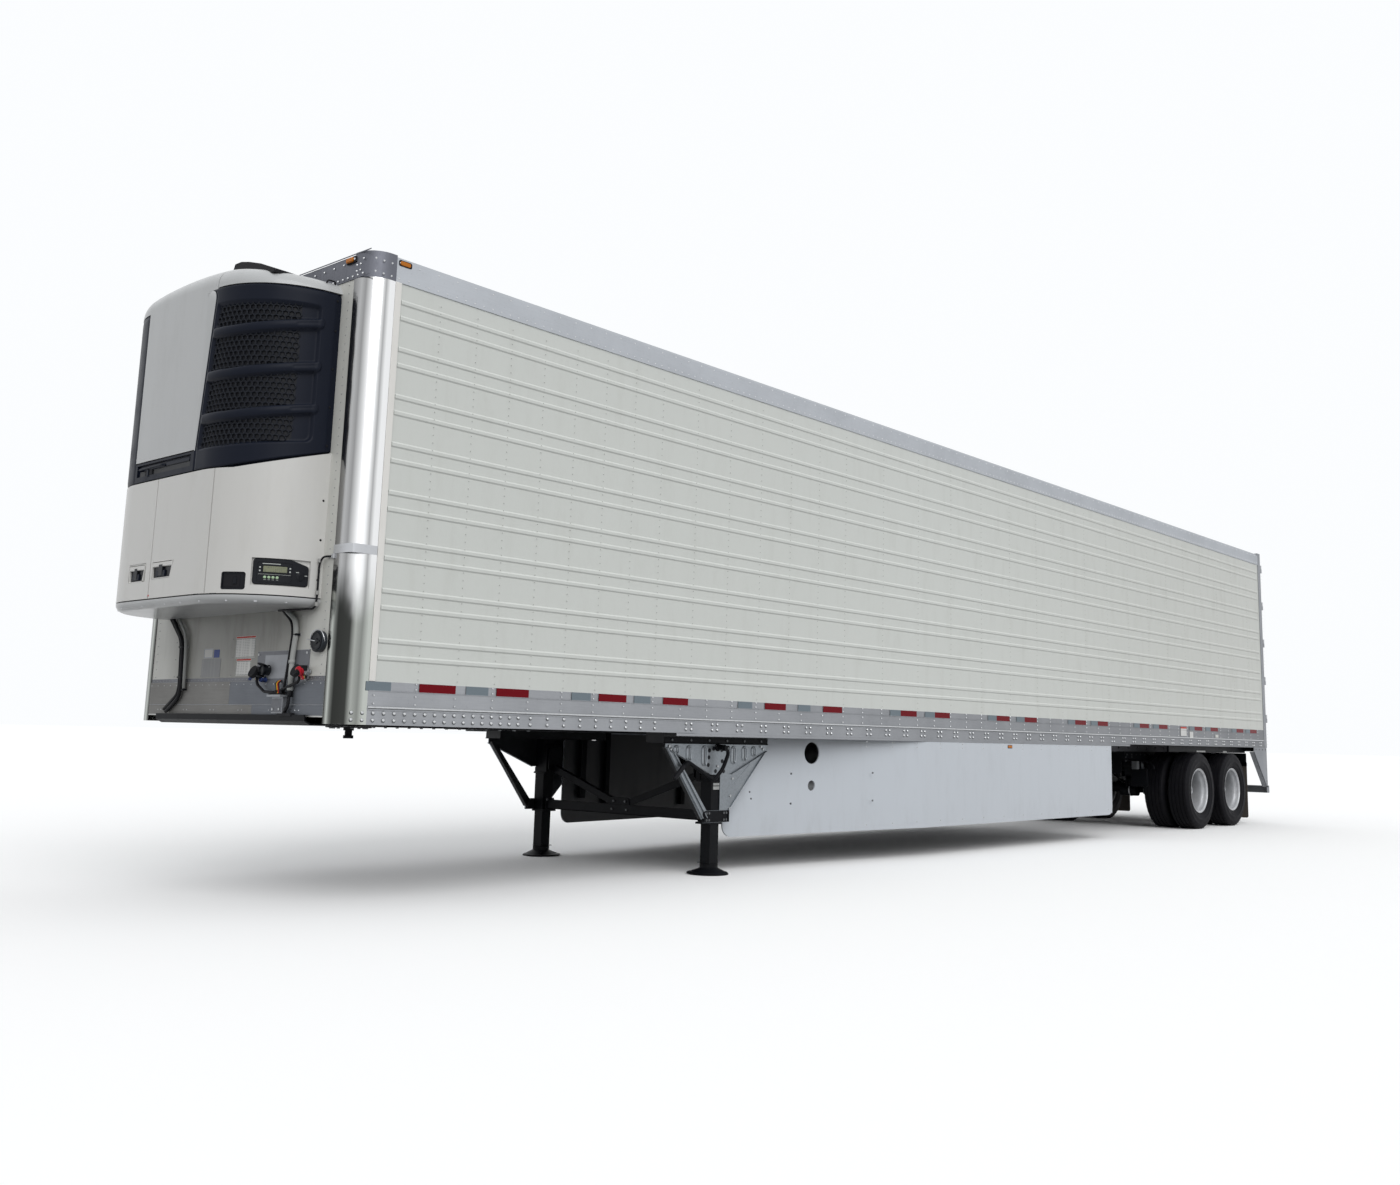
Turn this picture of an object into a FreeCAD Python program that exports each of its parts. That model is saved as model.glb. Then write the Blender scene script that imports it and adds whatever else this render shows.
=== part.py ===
"""Refrigerated van semi trailer, 53 ft class, modelled as separate pieces.

Millimetres. +X points to the nose, +Y to the left (road) side, +Z up. The origin is on the ground, under the
middle of the trailer's overall length and width. Distances along the trailer are measured back from the front
wall's outer face and turned into X by behind().
"""
import FreeCAD, Part
import math
import os
import Sketcher
from FreeCAD import Placement, Rotation, Vector

SIZES = [
    # alias, value, what it is
    ("box_length", 16154, "front wall to rear frame"),
    ("box_width", 2591, "over the rails"),
    ("box_height", 4115, "ground to the top of the rear header"),
    ("wall_thickness", 64, "insulated side wall"),
    ("front_thickness", 100, "insulated front wall"),
    ("skin_inset", 7, "side skin inboard of the rails"),
    ("rib_height", 6, "side rib proud of its skin"),
    ("rib_width", 38, "side rib at its foot"),
    ("rib_gap", 105, "between the two ribs of a pair"),
    ("rib_pitch", 310, "between pairs of ribs"),
    ("rib_margin", 145, "lowest rib above the bottom rail"),
    ("tyre_clearance", 90, "rails' underside above the tyres"),
    ("rail_height", 265, "bottom rail"),
    ("rail_sheet", 8, "rail web and flange"),
    ("rail_bead", 97, "bead above the rail's underside"),
    ("rail_lip", 22, "lip under the bottom rail that carries the skirt"),
    ("top_rail_height", 185, "top rail's lower edge below the rear header's top"),
    ("roof_drop", 23, "roof skin below the rear header's top"),
    ("roof_thickness", 87, "insulated roof"),
    ("post_length", 185, "front corner post along each wall"),
    ("post_radius", 150, "front corner radius"),
    ("floor_rise", 115, "floor's underside above the rails' underside"),
    ("floor_thickness", 140, "floor panel under its duct bars"),
    ("duct_height", 28, "floor duct bar"),
    ("duct_width", 24, "floor duct bar"),
    ("duct_pitch", 62, "between floor duct bars"),
    ("beam_height", 105, "crossmember"),
    ("beam_flange", 56, "crossmember flange width"),
    ("beam_sheet", 6, "crossmember web and flange"),
    ("beam_pitch", 305, "between crossmembers"),
    ("beam_first", 1700, "first crossmember behind the front wall"),
    ("rear_depth", 110, "rear frame along the trailer"),
    ("rear_post_width", 66, "rear post across the trailer"),
    ("header_height", 140, "rear header"),
    ("door_thickness", 90, "insulated rear door"),
    ("door_gap", 8, "around each rear door"),
    ("door_bevel", 20, "door edge taper"),
    ("door_proud", 2, "door's inner skin ahead of the rear frame's face"),
    ("rod_radius", 13, "lock rod"),
    ("rod_back", 27, "lock rod axis behind the door"),
    ("hinge_back", 64, "door hinge axis behind the rear frame"),
    ("hinge_inset", 12, "door hinge axis inboard of the side"),
    ("hinge_radius", 11, "door hinge barrel"),
    ("hinge_pin", 6, "door hinge pin"),
    ("hinge_count", 5, "hinges on each door"),
    ("pin_clearance", 0.08, "radial, hinge leaf on its pin"),
    ("knuckle", 60, "length of one hinge knuckle"),
    ("strap_gap", 79.78, "hinge strap's end outboard of the outer lock rod"),
    ("kingpin_setback", 914, "kingpin behind the front wall"),
    ("kingpin_radius", 25.4, "kingpin shank"),
    ("kingpin_drop", 84, "kingpin below the coupler plate"),
    ("kingpin_foot", 22, "height of the kingpin's lower flange"),
    ("kingpin_clearance", 0.3, "radial, kingpin collar in the coupler plate"),
    ("plate_length", 1650, "coupler plate behind the front wall"),
    ("plate_inset", 345.5, "coupler plate's edge inboard of the side"),
    ("plate_sheet", 10, "coupler plate"),
    ("plate_lip", 62, "turned-up nose of the coupler plate"),
    ("bolster_width", 60, "beam across the coupler"),
    ("leg_setback", 3660, "landing legs behind the front wall"),
    ("leg_inset", 275.5, "landing leg's centre inboard of the side"),
    ("leg_outer", 114, "outer leg tube"),
    ("leg_inner", 102, "inner leg tube"),
    ("leg_split", 400, "lower end of the outer leg tube"),
    ("leg_channel", 90, "mounting channel over the landing legs"),
    ("foot_width", 324, "landing foot"),
    ("skirt_front", 3850, "front edge of the side skirt"),
    ("skirt_tail", 709, "skirt's rear edge ahead of the tyres' foremost place"),
    ("skirt_bottom", 280, "lower edge of the side skirt"),
    ("skirt_sheet", 12, "side skirt"),
    ("skirt_taper", 2650, "length of the skirt's tapered front"),
    ("skirt_flare", 300, "inward taper of the skirt's front edge"),
    ("skirt_corner", 100, "rounding of the skirt's lower corners"),
    ("tank_setback", 4950, "middle of the fuel tank"),
    ("tank_length", 1300, "fuel tank"),
    ("tank_radius", 280, "fuel tank"),
    ("slide_travel", 1676, "sliding tandem's travel"),
    ("slide_inset", 137.5, "slide rail's centre inboard of the inner tyre"),
    ("slide_width", 100, "slide rail"),
    ("slide_height", 105, "slide rail"),
    ("slide_spare", 74, "slide rail ahead of the tandem's foremost place"),
    ("slide_clearance", 0.5, "bogie wear pads below the slide rails"),
    ("lock_pitch", 305, "between the slide rail's locking holes"),
    ("axle_ahead", 1359, "rear axle ahead of the rear frame"),
    ("axle_spacing", 1245, "between the two axles"),
    ("axle_radius", 63.5, "axle tube"),
    ("spindle_radius", 40, "wheel spindle"),
    ("spindle_clearance", 0.08, "radial, hub on spindle"),
    ("tyre_radius", 515, "tyre"),
    ("tyre_width", 298, "tyre section"),
    ("tyre_inset", 25, "outer tyre inboard of the side"),
    ("rim_radius", 286, "bead seat"),
    ("dual_gap", 37, "between twin tyres"),
    ("unit_depth", 555, "refrigeration unit ahead of the front wall"),
    ("unit_margin", 305.5, "refrigeration unit's side inboard of the box's side"),
    ("unit_drop", 95, "middle of the unit's top below the rear header's top"),
    ("unit_rise", 445, "unit's underside above the bottom rail"),
    ("unit_round_share", 0.5505, "radius of the unit's two big corners, as a share of its half width"),
    ("unit_flat_share", 0.303, "where the unit's nose starts to turn, as a share of its half width"),
    ("unit_shell", 28, "unit's moulded panels"),
    ("unit_recess", 14, "depth of the handle and control recesses"),
    ("unit_mesh", 20, "depth of the grille's mesh recess"),
    ("unit_crown", 4950, "radius of the unit's top across the trailer"),
    ("unit_top_round", 120, "rounding of the unit's top edge"),
    ("unit_foot_round", 50, "rounding of the unit's bottom edge"),
    ("unit_climb", 142, "rise of the grille's lines from the nose to the wall"),
    ("core_clearance", 0.6, "between the unit's core and its panels"),
    ("unit_seam", 8, "between the unit's panels"),
    ("unit_pan", 55, "height of the unit's bottom pan"),
    ("unit_band", 135, "height of the unit's dark latch band"),
    ("unit_lower", 787, "height of the unit's lower panels"),
    ("unit_brow", 170, "height of the unit's top cover"),
]


class Size:
    """A length that keeps both its present value and the sheet expression behind it."""

    def __init__(self, text, value):
        self.text = text
        self.value = float(value)

    def __float__(self):
        return self.value

    def __neg__(self):
        return Size("(0 - %s)" % self.text, -self.value)

    def __add__(self, other):
        other = size(other)
        return Size("(%s + %s)" % (self.text, other.text), self.value + other.value)

    def __radd__(self, other):
        return size(other) + self

    def __sub__(self, other):
        other = size(other)
        return Size("(%s - %s)" % (self.text, other.text), self.value - other.value)

    def __rsub__(self, other):
        return size(other) - self

    def __mul__(self, number):
        return Size("(%s * %s)" % (self.text, size(number).text), self.value * float(number))

    __rmul__ = __mul__

    def __truediv__(self, number):
        return Size("(%s / %s)" % (self.text, size(number).text), self.value / float(number))


def size(length):
    """A plain number as a Size."""
    if isinstance(length, Size):
        return length
    return Size("(%.6f)" % length, length)


doc = FreeCAD.newDocument("semi_trailer")
sheet = doc.addObject("Spreadsheet::Sheet", "Dims")
for row, (alias, value, note) in enumerate(SIZES, 1):
    sheet.set("A%d" % row, alias)
    sheet.set("B%d" % row, str(value))
    sheet.set("C%d" % row, note)
    sheet.setAlias("B%d" % row, alias)
doc.recompute()


class Sheet:
    """Reads an alias as a Size: d.box_length."""

    def __getattr__(self, alias):
        return Size("Dims." + alias, sheet.get(alias))


d = Sheet()
parts = {}

# ---------------------------------------------------------------- shared places
side = d.box_width / 2
skin = side - d.skin_inset
wall_inside = skin - d.wall_thickness
post_in = side - d.wall_thickness
rail_bottom = d.tyre_radius * 2 + d.tyre_clearance
rail_top = rail_bottom + d.rail_height
top_rail_bottom = d.box_height - d.top_rail_height
roof_top = d.box_height - d.roof_drop
ceiling = roof_top - d.roof_thickness
floor_bottom = rail_bottom + d.floor_rise
floor_top = floor_bottom + d.floor_thickness
beam_bottom = floor_bottom - d.beam_height
coupler_bottom = rail_bottom - d.plate_sheet
slide_bottom = beam_bottom - d.slide_height
sill_bottom = rail_bottom + 40
unit_bottom = rail_top + d.unit_rise

rear_proud = d.hinge_back + d.hinge_radius
front = (d.box_length + rear_proud - d.unit_depth) / 2
rear = front - d.box_length
wall_face = front - 4
beam_spans = int(float(d.box_length - d.rear_depth - d.beam_first - d.beam_flange) / float(d.beam_pitch))

dual_spacing = d.tyre_width + d.dual_gap
dual_centre = side - d.tyre_inset - (d.tyre_width + dual_spacing) / 2
slide_track = dual_centre - (d.tyre_width + dual_spacing) / 2 - d.slide_inset
axle_places = (rear + d.axle_ahead + d.axle_spacing, rear + d.axle_ahead)
bogie_front = axle_places[0] + 900
slide_front = bogie_front + d.slide_travel + d.slide_spare
skirt_end = axle_places[0] + d.slide_travel + d.tyre_radius + d.skirt_tail

lowest_hinge = rail_top + 115
hinge_step = (d.box_height - d.header_height - 155 - lowest_hinge) / (float(d.hinge_count) - 1)
hinge_levels = [lowest_hinge + hinge_step * number for number in range(int(float(d.hinge_count)))]


def behind(distance):
    """X of a point this far behind the front wall's outer face."""
    return front - distance


def inboard(distance):
    """Y of a point this far inboard of the left side."""
    return side - distance


# ---------------------------------------------------------------- drawing helpers
def bind(thing, prop, length):
    thing.setExpression(prop, size(length).text)


def place(thing, x, y, z, rotation=None):
    if rotation is not None:
        thing.Placement = Placement(Vector(0, 0, 0), rotation)
    for axis, length in zip("xyz", (x, y, z)):
        bind(thing, "Placement.Base." + axis, length)
    return thing


def block(name, x, y, z):
    """A box between two corners, each range given as (low, high)."""
    box = doc.addObject("Part::Box", name)
    for prop, (low, high) in zip(("Length", "Width", "Height"), (x, y, z)):
        bind(box, prop, size(high) - low)
    return place(box, x[0], y[0], z[0])


def rod(name, radius, length, start, axis):
    """A round bar of a given length from a start point along a unit axis."""
    bar = doc.addObject("Part::Cylinder", name)
    bind(bar, "Radius", radius)
    bind(bar, "Height", length)
    return place(bar, *start, Rotation(Vector(0, 0, 1), Vector(*axis)))


def body(name):
    return doc.addObject("PartDesign::Body", name)


def plane(solid, role):
    return [feature for feature in solid.Origin.OriginFeatures if feature.Role == role][0]


def outline(solid, role, corners, offset=0, closed=True):
    """A sketch on one of the body's planes. Corners are (u, v) or (u, v, corner radius)."""
    sketch = solid.newObject("Sketcher::SketchObject", solid.Name + "_outline")
    sketch.AttachmentSupport = [(plane(solid, role), "")]
    sketch.MapMode = "FlatFace"
    if size(offset).value:
        sketch.setExpression("AttachmentOffset.Base.z", size(offset).text)
    points = [Vector(float(c[0]), float(c[1]), 0) for c in corners]
    count = len(points)
    starts, ends, arcs = list(points), list(points), {}
    for i, corner in enumerate(corners):
        if len(corner) < 3:
            continue
        here = points[i]
        back = (points[i - 1] - here).normalize()
        ahead = (points[(i + 1) % count] - here).normalize()
        half = back.getAngle(ahead) / 2
        radius = float(corner[2])
        ends[i] = here + back * (radius / math.tan(half))
        starts[i] = here + ahead * (radius / math.tan(half))
        centre = here + (back + ahead).normalize() * (radius / math.sin(half))
        left_turn = back.cross(ahead).z < 0
        first, last = (ends[i], starts[i]) if left_turn else (starts[i], ends[i])
        circle = Part.Circle(centre, Vector(0, 0, 1), radius)
        arcs[i] = (Part.ArcOfCircle(circle, circle.parameter(first), circle.parameter(last)), left_turn)
    for i in range(count if closed else count - 1):
        sketch.addGeometry(Part.LineSegment(starts[i], ends[(i + 1) % count]), False)
    for i, corner in enumerate(corners):
        line_in, line_out = (i - 1) % count, i
        if not closed and i in (0, count - 1):
            mark, end = (0, 1) if i == 0 else (count - 2, 2)
            for kind, length in (("DistanceX", corner[0]), ("DistanceY", corner[1])):
                rule = sketch.addConstraint(Sketcher.Constraint(kind, -1, 1, mark, end, float(length)))
                sketch.setExpression("Constraints[%d]" % rule, size(length).text)
            continue
        if i in arcs:
            arc = sketch.addGeometry(arcs[i][0], False)
            first, last = (1, 2) if arcs[i][1] else (2, 1)
            sketch.addConstraint(Sketcher.Constraint("Tangent", line_in, 2, arc, first))
            sketch.addConstraint(Sketcher.Constraint("Tangent", line_out, 1, arc, last))
            rule = sketch.addConstraint(Sketcher.Constraint("Radius", arc, float(corner[2])))
            sketch.setExpression("Constraints[%d]" % rule, size(corner[2]).text)
            mark = sketch.addGeometry(Part.Point(points[i]), True)
            sketch.addConstraint(Sketcher.Constraint("PointOnObject", mark, 1, line_in))
            sketch.addConstraint(Sketcher.Constraint("PointOnObject", mark, 1, line_out))
        else:
            sketch.addConstraint(Sketcher.Constraint("Coincident", line_in, 2, line_out, 1))
            mark = line_out
        for kind, length in (("DistanceX", corner[0]), ("DistanceY", corner[1])):
            rule = sketch.addConstraint(Sketcher.Constraint(kind, -1, 1, mark, 1, float(length)))
            sketch.setExpression("Constraints[%d]" % rule, size(length).text)
    return sketch


def pad(solid, sketch, length, both_ways=False, backwards=False):
    feature = solid.newObject("PartDesign::Pad", solid.Name + "_pad")
    feature.Profile = sketch
    feature.SideType = "Symmetric" if both_ways else "One side"
    feature.Reversed = backwards
    bind(feature, "Length", length)
    return feature


def prism(name, role, corners, low, high):
    """A body padded from an outline, between two places along the axis that the plane leaves out."""
    solid = body(name)
    sketch = outline(solid, role, corners, low if role != "XZ_Plane" else -size(high))
    pad(solid, sketch, size(high) - low)
    return solid


def turned(name, profile, centre):
    """A body of revolution about its own Y axis; the profile is a list of (along the axle, radius)."""
    solid = body(name)
    sketch = outline(solid, "YZ_Plane", profile)
    feature = solid.newObject("PartDesign::Revolution", name + "_turn")
    feature.Profile = sketch
    feature.ReferenceAxis = (sketch, ["H_Axis"])
    feature.Angle = 360
    return place(solid, *centre)


def pipe(name, radius, stand, route):
    """A round line swept along a route (across, up) in a plane facing forward; the route starts downwards."""
    solid = body(name)
    path = outline(solid, "YZ_Plane", route, stand, closed=False)
    ring = solid.newObject("Sketcher::SketchObject", name + "_ring")
    ring.AttachmentSupport = [(plane(solid, "XY_Plane"), "")]
    ring.MapMode = "FlatFace"
    bind(ring, "AttachmentOffset.Base.z", route[0][1])
    circle = ring.addGeometry(Part.Circle(Vector(0, 0, 0), Vector(0, 0, 1), radius), False)
    for kind, length in (("DistanceX", stand), ("DistanceY", route[0][0])):
        rule = ring.addConstraint(Sketcher.Constraint(kind, -1, 1, circle, 3, float(length)))
        ring.setExpression("Constraints[%d]" % rule, size(length).text)
    ring.addConstraint(Sketcher.Constraint("Radius", circle, float(radius)))
    sweep = solid.newObject("PartDesign::AdditivePipe", name + "_sweep")
    sweep.Profile = ring
    edges = 2 * len(route) - 3 - sum(1 for corner in route[1:-1] if len(corner) < 3)
    sweep.Spine = (path, ["Edge%d" % number for number in range(1, edges + 1)])
    return solid


def chain(name, radius, points):
    """Straight round bars from point to point with a ball at each bend, as one bent bar."""
    pieces = []
    for number, (start, end) in enumerate(zip(points, points[1:])):
        run = Vector(*(float(b) - float(a) for a, b in zip(start, end)))
        pieces.append(rod("%s_%d" % (name, number), radius, run.Length, start, run.normalize()))
        if number:
            ball = doc.addObject("Part::Sphere", "%s_ball_%d" % (name, number))
            bind(ball, "Radius", radius)
            pieces.append(place(ball, *start))
    return fuse(name + "_bar", pieces)


def repeat(solid, feature, sketch, axis, span, count):
    """A linear pattern along one of the sketch's axes."""
    pattern = solid.newObject("PartDesign::LinearPattern", solid.Name + "_row")
    pattern.Originals = [feature]
    pattern.Direction = (sketch, [axis])
    bind(pattern, "Length", span)
    pattern.Occurrences = int(count)
    solid.Tip = pattern
    return pattern


def fuse(name, pieces):
    joined = doc.addObject("Part::MultiFuse", name)
    joined.Shapes = pieces
    return joined


def cut(name, base, tool):
    rest = doc.addObject("Part::Cut", name)
    rest.Base = base
    rest.Tool = tool
    return rest


def common(name, base, tool):
    shared = doc.addObject("Part::Common", name)
    shared.Base = base
    shared.Tool = tool
    return shared


def mirrored(name, source):
    """The right-hand copy of a left-hand piece."""
    copy = doc.addObject("Part::Mirroring", name)
    copy.Source = source
    copy.Normal = Vector(0, 1, 0)
    return copy


def group(name, pieces):
    """Like pieces that share one sub-part without touching."""
    compound = doc.addObject("Part::Compound", name)
    compound.Links = pieces
    return compound


def both_sides(name, source):
    return group(name, [source, mirrored(name + "_right", source)])


def publish(node, thing):
    thing.Label = node
    parts[node] = thing


# ---------------------------------------------------------------- insulated box
def side_walls():
    """Flat insulated panels whose outer skin carries pairs of horizontal ribs."""
    start, end = rear + d.rear_depth, behind(d.post_length)
    low = rail_top + d.rib_margin
    room = float(top_rail_bottom - low - d.rib_gap - d.rib_width)
    more_pairs = int(room / float(d.rib_pitch))
    crown = d.rib_width / 4
    for node, sign in (("left_side_wall", 1), ("right_side_wall", -1)):
        solid = body(node + "_body")
        lap = side - d.rail_sheet
        panel = outline(solid, "YZ_Plane", [
            (wall_inside * sign, rail_top), (skin * sign, rail_top), (skin * sign, top_rail_bottom),
            (lap * sign, top_rail_bottom), (lap * sign, ceiling), (wall_inside * sign, ceiling)], start)
        pad(solid, panel, end - start)
        face = skin * sign
        proud = (skin + d.rib_height) * sign
        for number in range(2):
            foot = low + d.rib_gap * number
            rib = outline(solid, "YZ_Plane", [
                (face, foot - d.rib_width / 2), (proud, foot - d.rib_width / 2 + crown),
                (proud, foot + d.rib_width / 2 - crown), (face, foot + d.rib_width / 2)],
                start + d.rib_gap / 2)
            bar = pad(solid, rib, end - start - d.rib_gap)
            repeat(solid, bar, rib, "V_Axis", d.rib_pitch * more_pairs, more_pairs + 1)
        publish(node, solid)


def front_end():
    """Front wall, sill band, rounded corner posts and the header with its cast corner caps."""
    inner = side - d.post_length
    inside = behind(d.front_thickness)
    publish("front_wall", block("front_panel", (inside, wall_face), (-inner, inner),
                                (rail_top, top_rail_bottom)))
    publish("front_sill", block("front_band", (inside, front), (-inner, inner), (sill_bottom, rail_top)))
    post = prism("corner_post", "XY_Plane", [
        (behind(d.post_length), side - 2), (front, side - 2, d.post_radius), (front, inner),
        (inside, inner), (inside, post_in), (behind(d.post_length), post_in)], rail_bottom, top_rail_bottom)
    publish("front_corner_posts", both_sides("corner_posts", post))

    start, edge = behind(d.post_length), side - 3
    band = prism("header_band", "XY_Plane", [
        (start, -edge), (wall_face, -edge, d.post_radius), (wall_face, edge, d.post_radius), (start, edge),
        (start, post_in), (inside, post_in), (inside, -post_in), (start, -post_in)], top_rail_bottom, ceiling)
    plate = prism("header_plate", "XY_Plane", [
        (start, -edge), (wall_face, -edge, d.post_radius), (wall_face, edge, d.post_radius), (start, edge)],
        ceiling, roof_top)
    cap = prism("corner_cap", "XY_Plane", [
        (start, side), (front, side, d.post_radius), (front, inner), (inside, inner), (inside, post_in),
        (start, post_in)], top_rail_bottom, roof_top + 12)
    publish("front_header", fuse("header", [band, plate, cap, mirrored("corner_cap_right", cap)]))


def rails():
    """Extruded bottom rails with a bead and a skirt lip, and top rails that lap the roof's edge."""
    sheet_in = side - d.rail_sheet - 4
    face = side - 4
    low = rail_bottom
    bead = low + d.rail_bead
    start, end = rear + d.rear_depth, behind(d.post_length)
    lower = prism("bottom_rail_web", "YZ_Plane", [
        (side - 60, low), (face, low), (face, bead - 12), (side, bead - 6), (side, bead + 6),
        (face, bead + 12), (face, rail_top), (wall_inside, rail_top), (wall_inside, rail_top - d.rail_sheet),
        (sheet_in, rail_top - d.rail_sheet), (sheet_in, low + d.rail_sheet), (side - 60, low + d.rail_sheet)],
        start, end)
    lip = block("bottom_rail_lip", (skirt_end, behind(d.skirt_front) + 700), (side - 18, face),
                (low - d.rail_lip, low))
    publish("bottom_rails", both_sides("lower_rails", fuse("bottom_rail", [lower, lip])))
    sheet_in = side - d.rail_sheet
    crown = roof_top + d.rail_sheet
    upper = prism("top_rail", "YZ_Plane", [
        (sheet_in, top_rail_bottom), (side, top_rail_bottom), (side, crown - 24), (side - 20, crown),
        (side - 78, crown), (side - 78, roof_top), (sheet_in - 16, roof_top), (sheet_in, roof_top - 16)],
        start, end)
    publish("top_rails", both_sides("upper_rails", upper))


def roof_and_floor():
    """Roof panel with chamfered edges, and a floor whose deck carries duct bars."""
    web = side - d.rail_sheet
    start, end = rear + d.rear_depth, behind(d.post_length)
    publish("roof", prism("roof_panel", "YZ_Plane", [
        (-web, ceiling), (web, ceiling), (web, roof_top - 16), (web - 16, roof_top),
        (16 - web, roof_top), (-web, roof_top - 16)], start, end))
    deck = body("floor_body")
    edge = side - d.rail_sheet - 4
    panel = outline(deck, "YZ_Plane", [
        (-edge, floor_bottom), (edge, floor_bottom), (edge, floor_top), (-edge, floor_top)], start)
    pad(deck, panel, end - start)
    nose_edge = side - d.wall_thickness
    nose = outline(deck, "YZ_Plane", [
        (-nose_edge, floor_bottom), (nose_edge, floor_bottom), (nose_edge, floor_top),
        (-nose_edge, floor_top)],
        end)
    pad(deck, nose, behind(d.front_thickness) - end)
    bars = 2 * int((float(wall_inside) - 30) / float(d.duct_pitch))
    first = -d.duct_pitch * bars / 2
    half = d.duct_width / 2
    bar = outline(deck, "YZ_Plane", [
        (first - half, floor_top), (first + half, floor_top), (first + half, floor_top + d.duct_height),
        (first - half, floor_top + d.duct_height)], start + 60)
    ridge = pad(deck, bar, behind(d.front_thickness) - start - 120)
    repeat(deck, ridge, bar, "H_Axis", d.duct_pitch * bars, bars + 1)
    publish("floor", deck)


def crossmembers():
    """Rolled I-beams across the trailer, hung between the bottom rails."""
    solid = body("crossmember_row")
    flange, half = d.beam_flange / 2, d.beam_sheet / 2
    low, high = beam_bottom, floor_bottom
    first = behind(d.beam_first)
    section = outline(solid, "XZ_Plane", [
        (first - flange, low), (first + flange, low), (first + flange, low + d.beam_sheet),
        (first + half, low + d.beam_sheet), (first + half, high - d.beam_sheet),
        (first + flange, high - d.beam_sheet), (first + flange, high), (first - flange, high),
        (first - flange, high - d.beam_sheet), (first - half, high - d.beam_sheet),
        (first - half, low + d.beam_sheet), (first - flange, low + d.beam_sheet)])
    beam = pad(solid, section, (side - d.rail_sheet - 4) * 2, both_ways=True)
    row = repeat(solid, beam, section, "H_Axis", d.beam_pitch * beam_spans, beam_spans + 1)
    row.Reversed = True
    publish("crossmembers", solid)


# ---------------------------------------------------------------- coupler
def coupler():
    """Upper coupler: plate with a turned-up nose, its bolster beams, and the kingpin through the plate."""
    half = side - d.plate_inset
    top = coupler_bottom + d.plate_sheet
    tail, lip = behind(d.plate_length), front + 24
    plate = prism("coupler_sheet", "XZ_Plane", [
        (tail, coupler_bottom), (front - 20, coupler_bottom), (lip, coupler_bottom + 24),
        (lip, coupler_bottom + d.plate_lip), (lip - d.plate_sheet, coupler_bottom + d.plate_lip),
        (lip - d.plate_sheet, coupler_bottom + 28), (front - 24, top), (tail, top)], -half, half)
    shank = d.kingpin_radius
    collar = shank + 11
    hole = rod("kingpin_hole", collar + d.kingpin_clearance, 4 * d.plate_sheet,
               (behind(d.kingpin_setback), 0, coupler_bottom - d.plate_sheet), (0, 0, 1))
    bolsters = []
    spread = d.bolster_width / 2
    for number, distance in enumerate((170, 520, d.kingpin_setback - 114, d.kingpin_setback + 114, 1300,
                                       d.plate_length - 50)):
        bolsters.append(block("bolster_%d" % number, (behind(distance) - spread, behind(distance) + spread),
                              (2 - post_in, post_in - 2), (top, floor_bottom)))
    publish("coupler_plate", fuse("coupler", [cut("coupler_sheet_cut", plate, hole)] + bolsters))
    pin = body("kingpin_body")
    low = coupler_bottom - d.kingpin_drop
    neck = coupler_bottom - 28
    section = outline(pin, "YZ_Plane", [
        (0, low), (shank + 10, low), (shank + 10, low + d.kingpin_foot), (shank, low + d.kingpin_foot),
        (shank, neck), (collar, neck), (collar, top), (shank + 49, top), (shank + 49, top + 12),
        (0, top + 12)])
    turn = pin.newObject("PartDesign::Revolution", "kingpin_turn")
    turn.Profile = section
    turn.ReferenceAxis = (section, ["V_Axis"])
    turn.Angle = 360
    place(pin, behind(d.kingpin_setback), 0, 0)
    publish("kingpin", pin)


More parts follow.
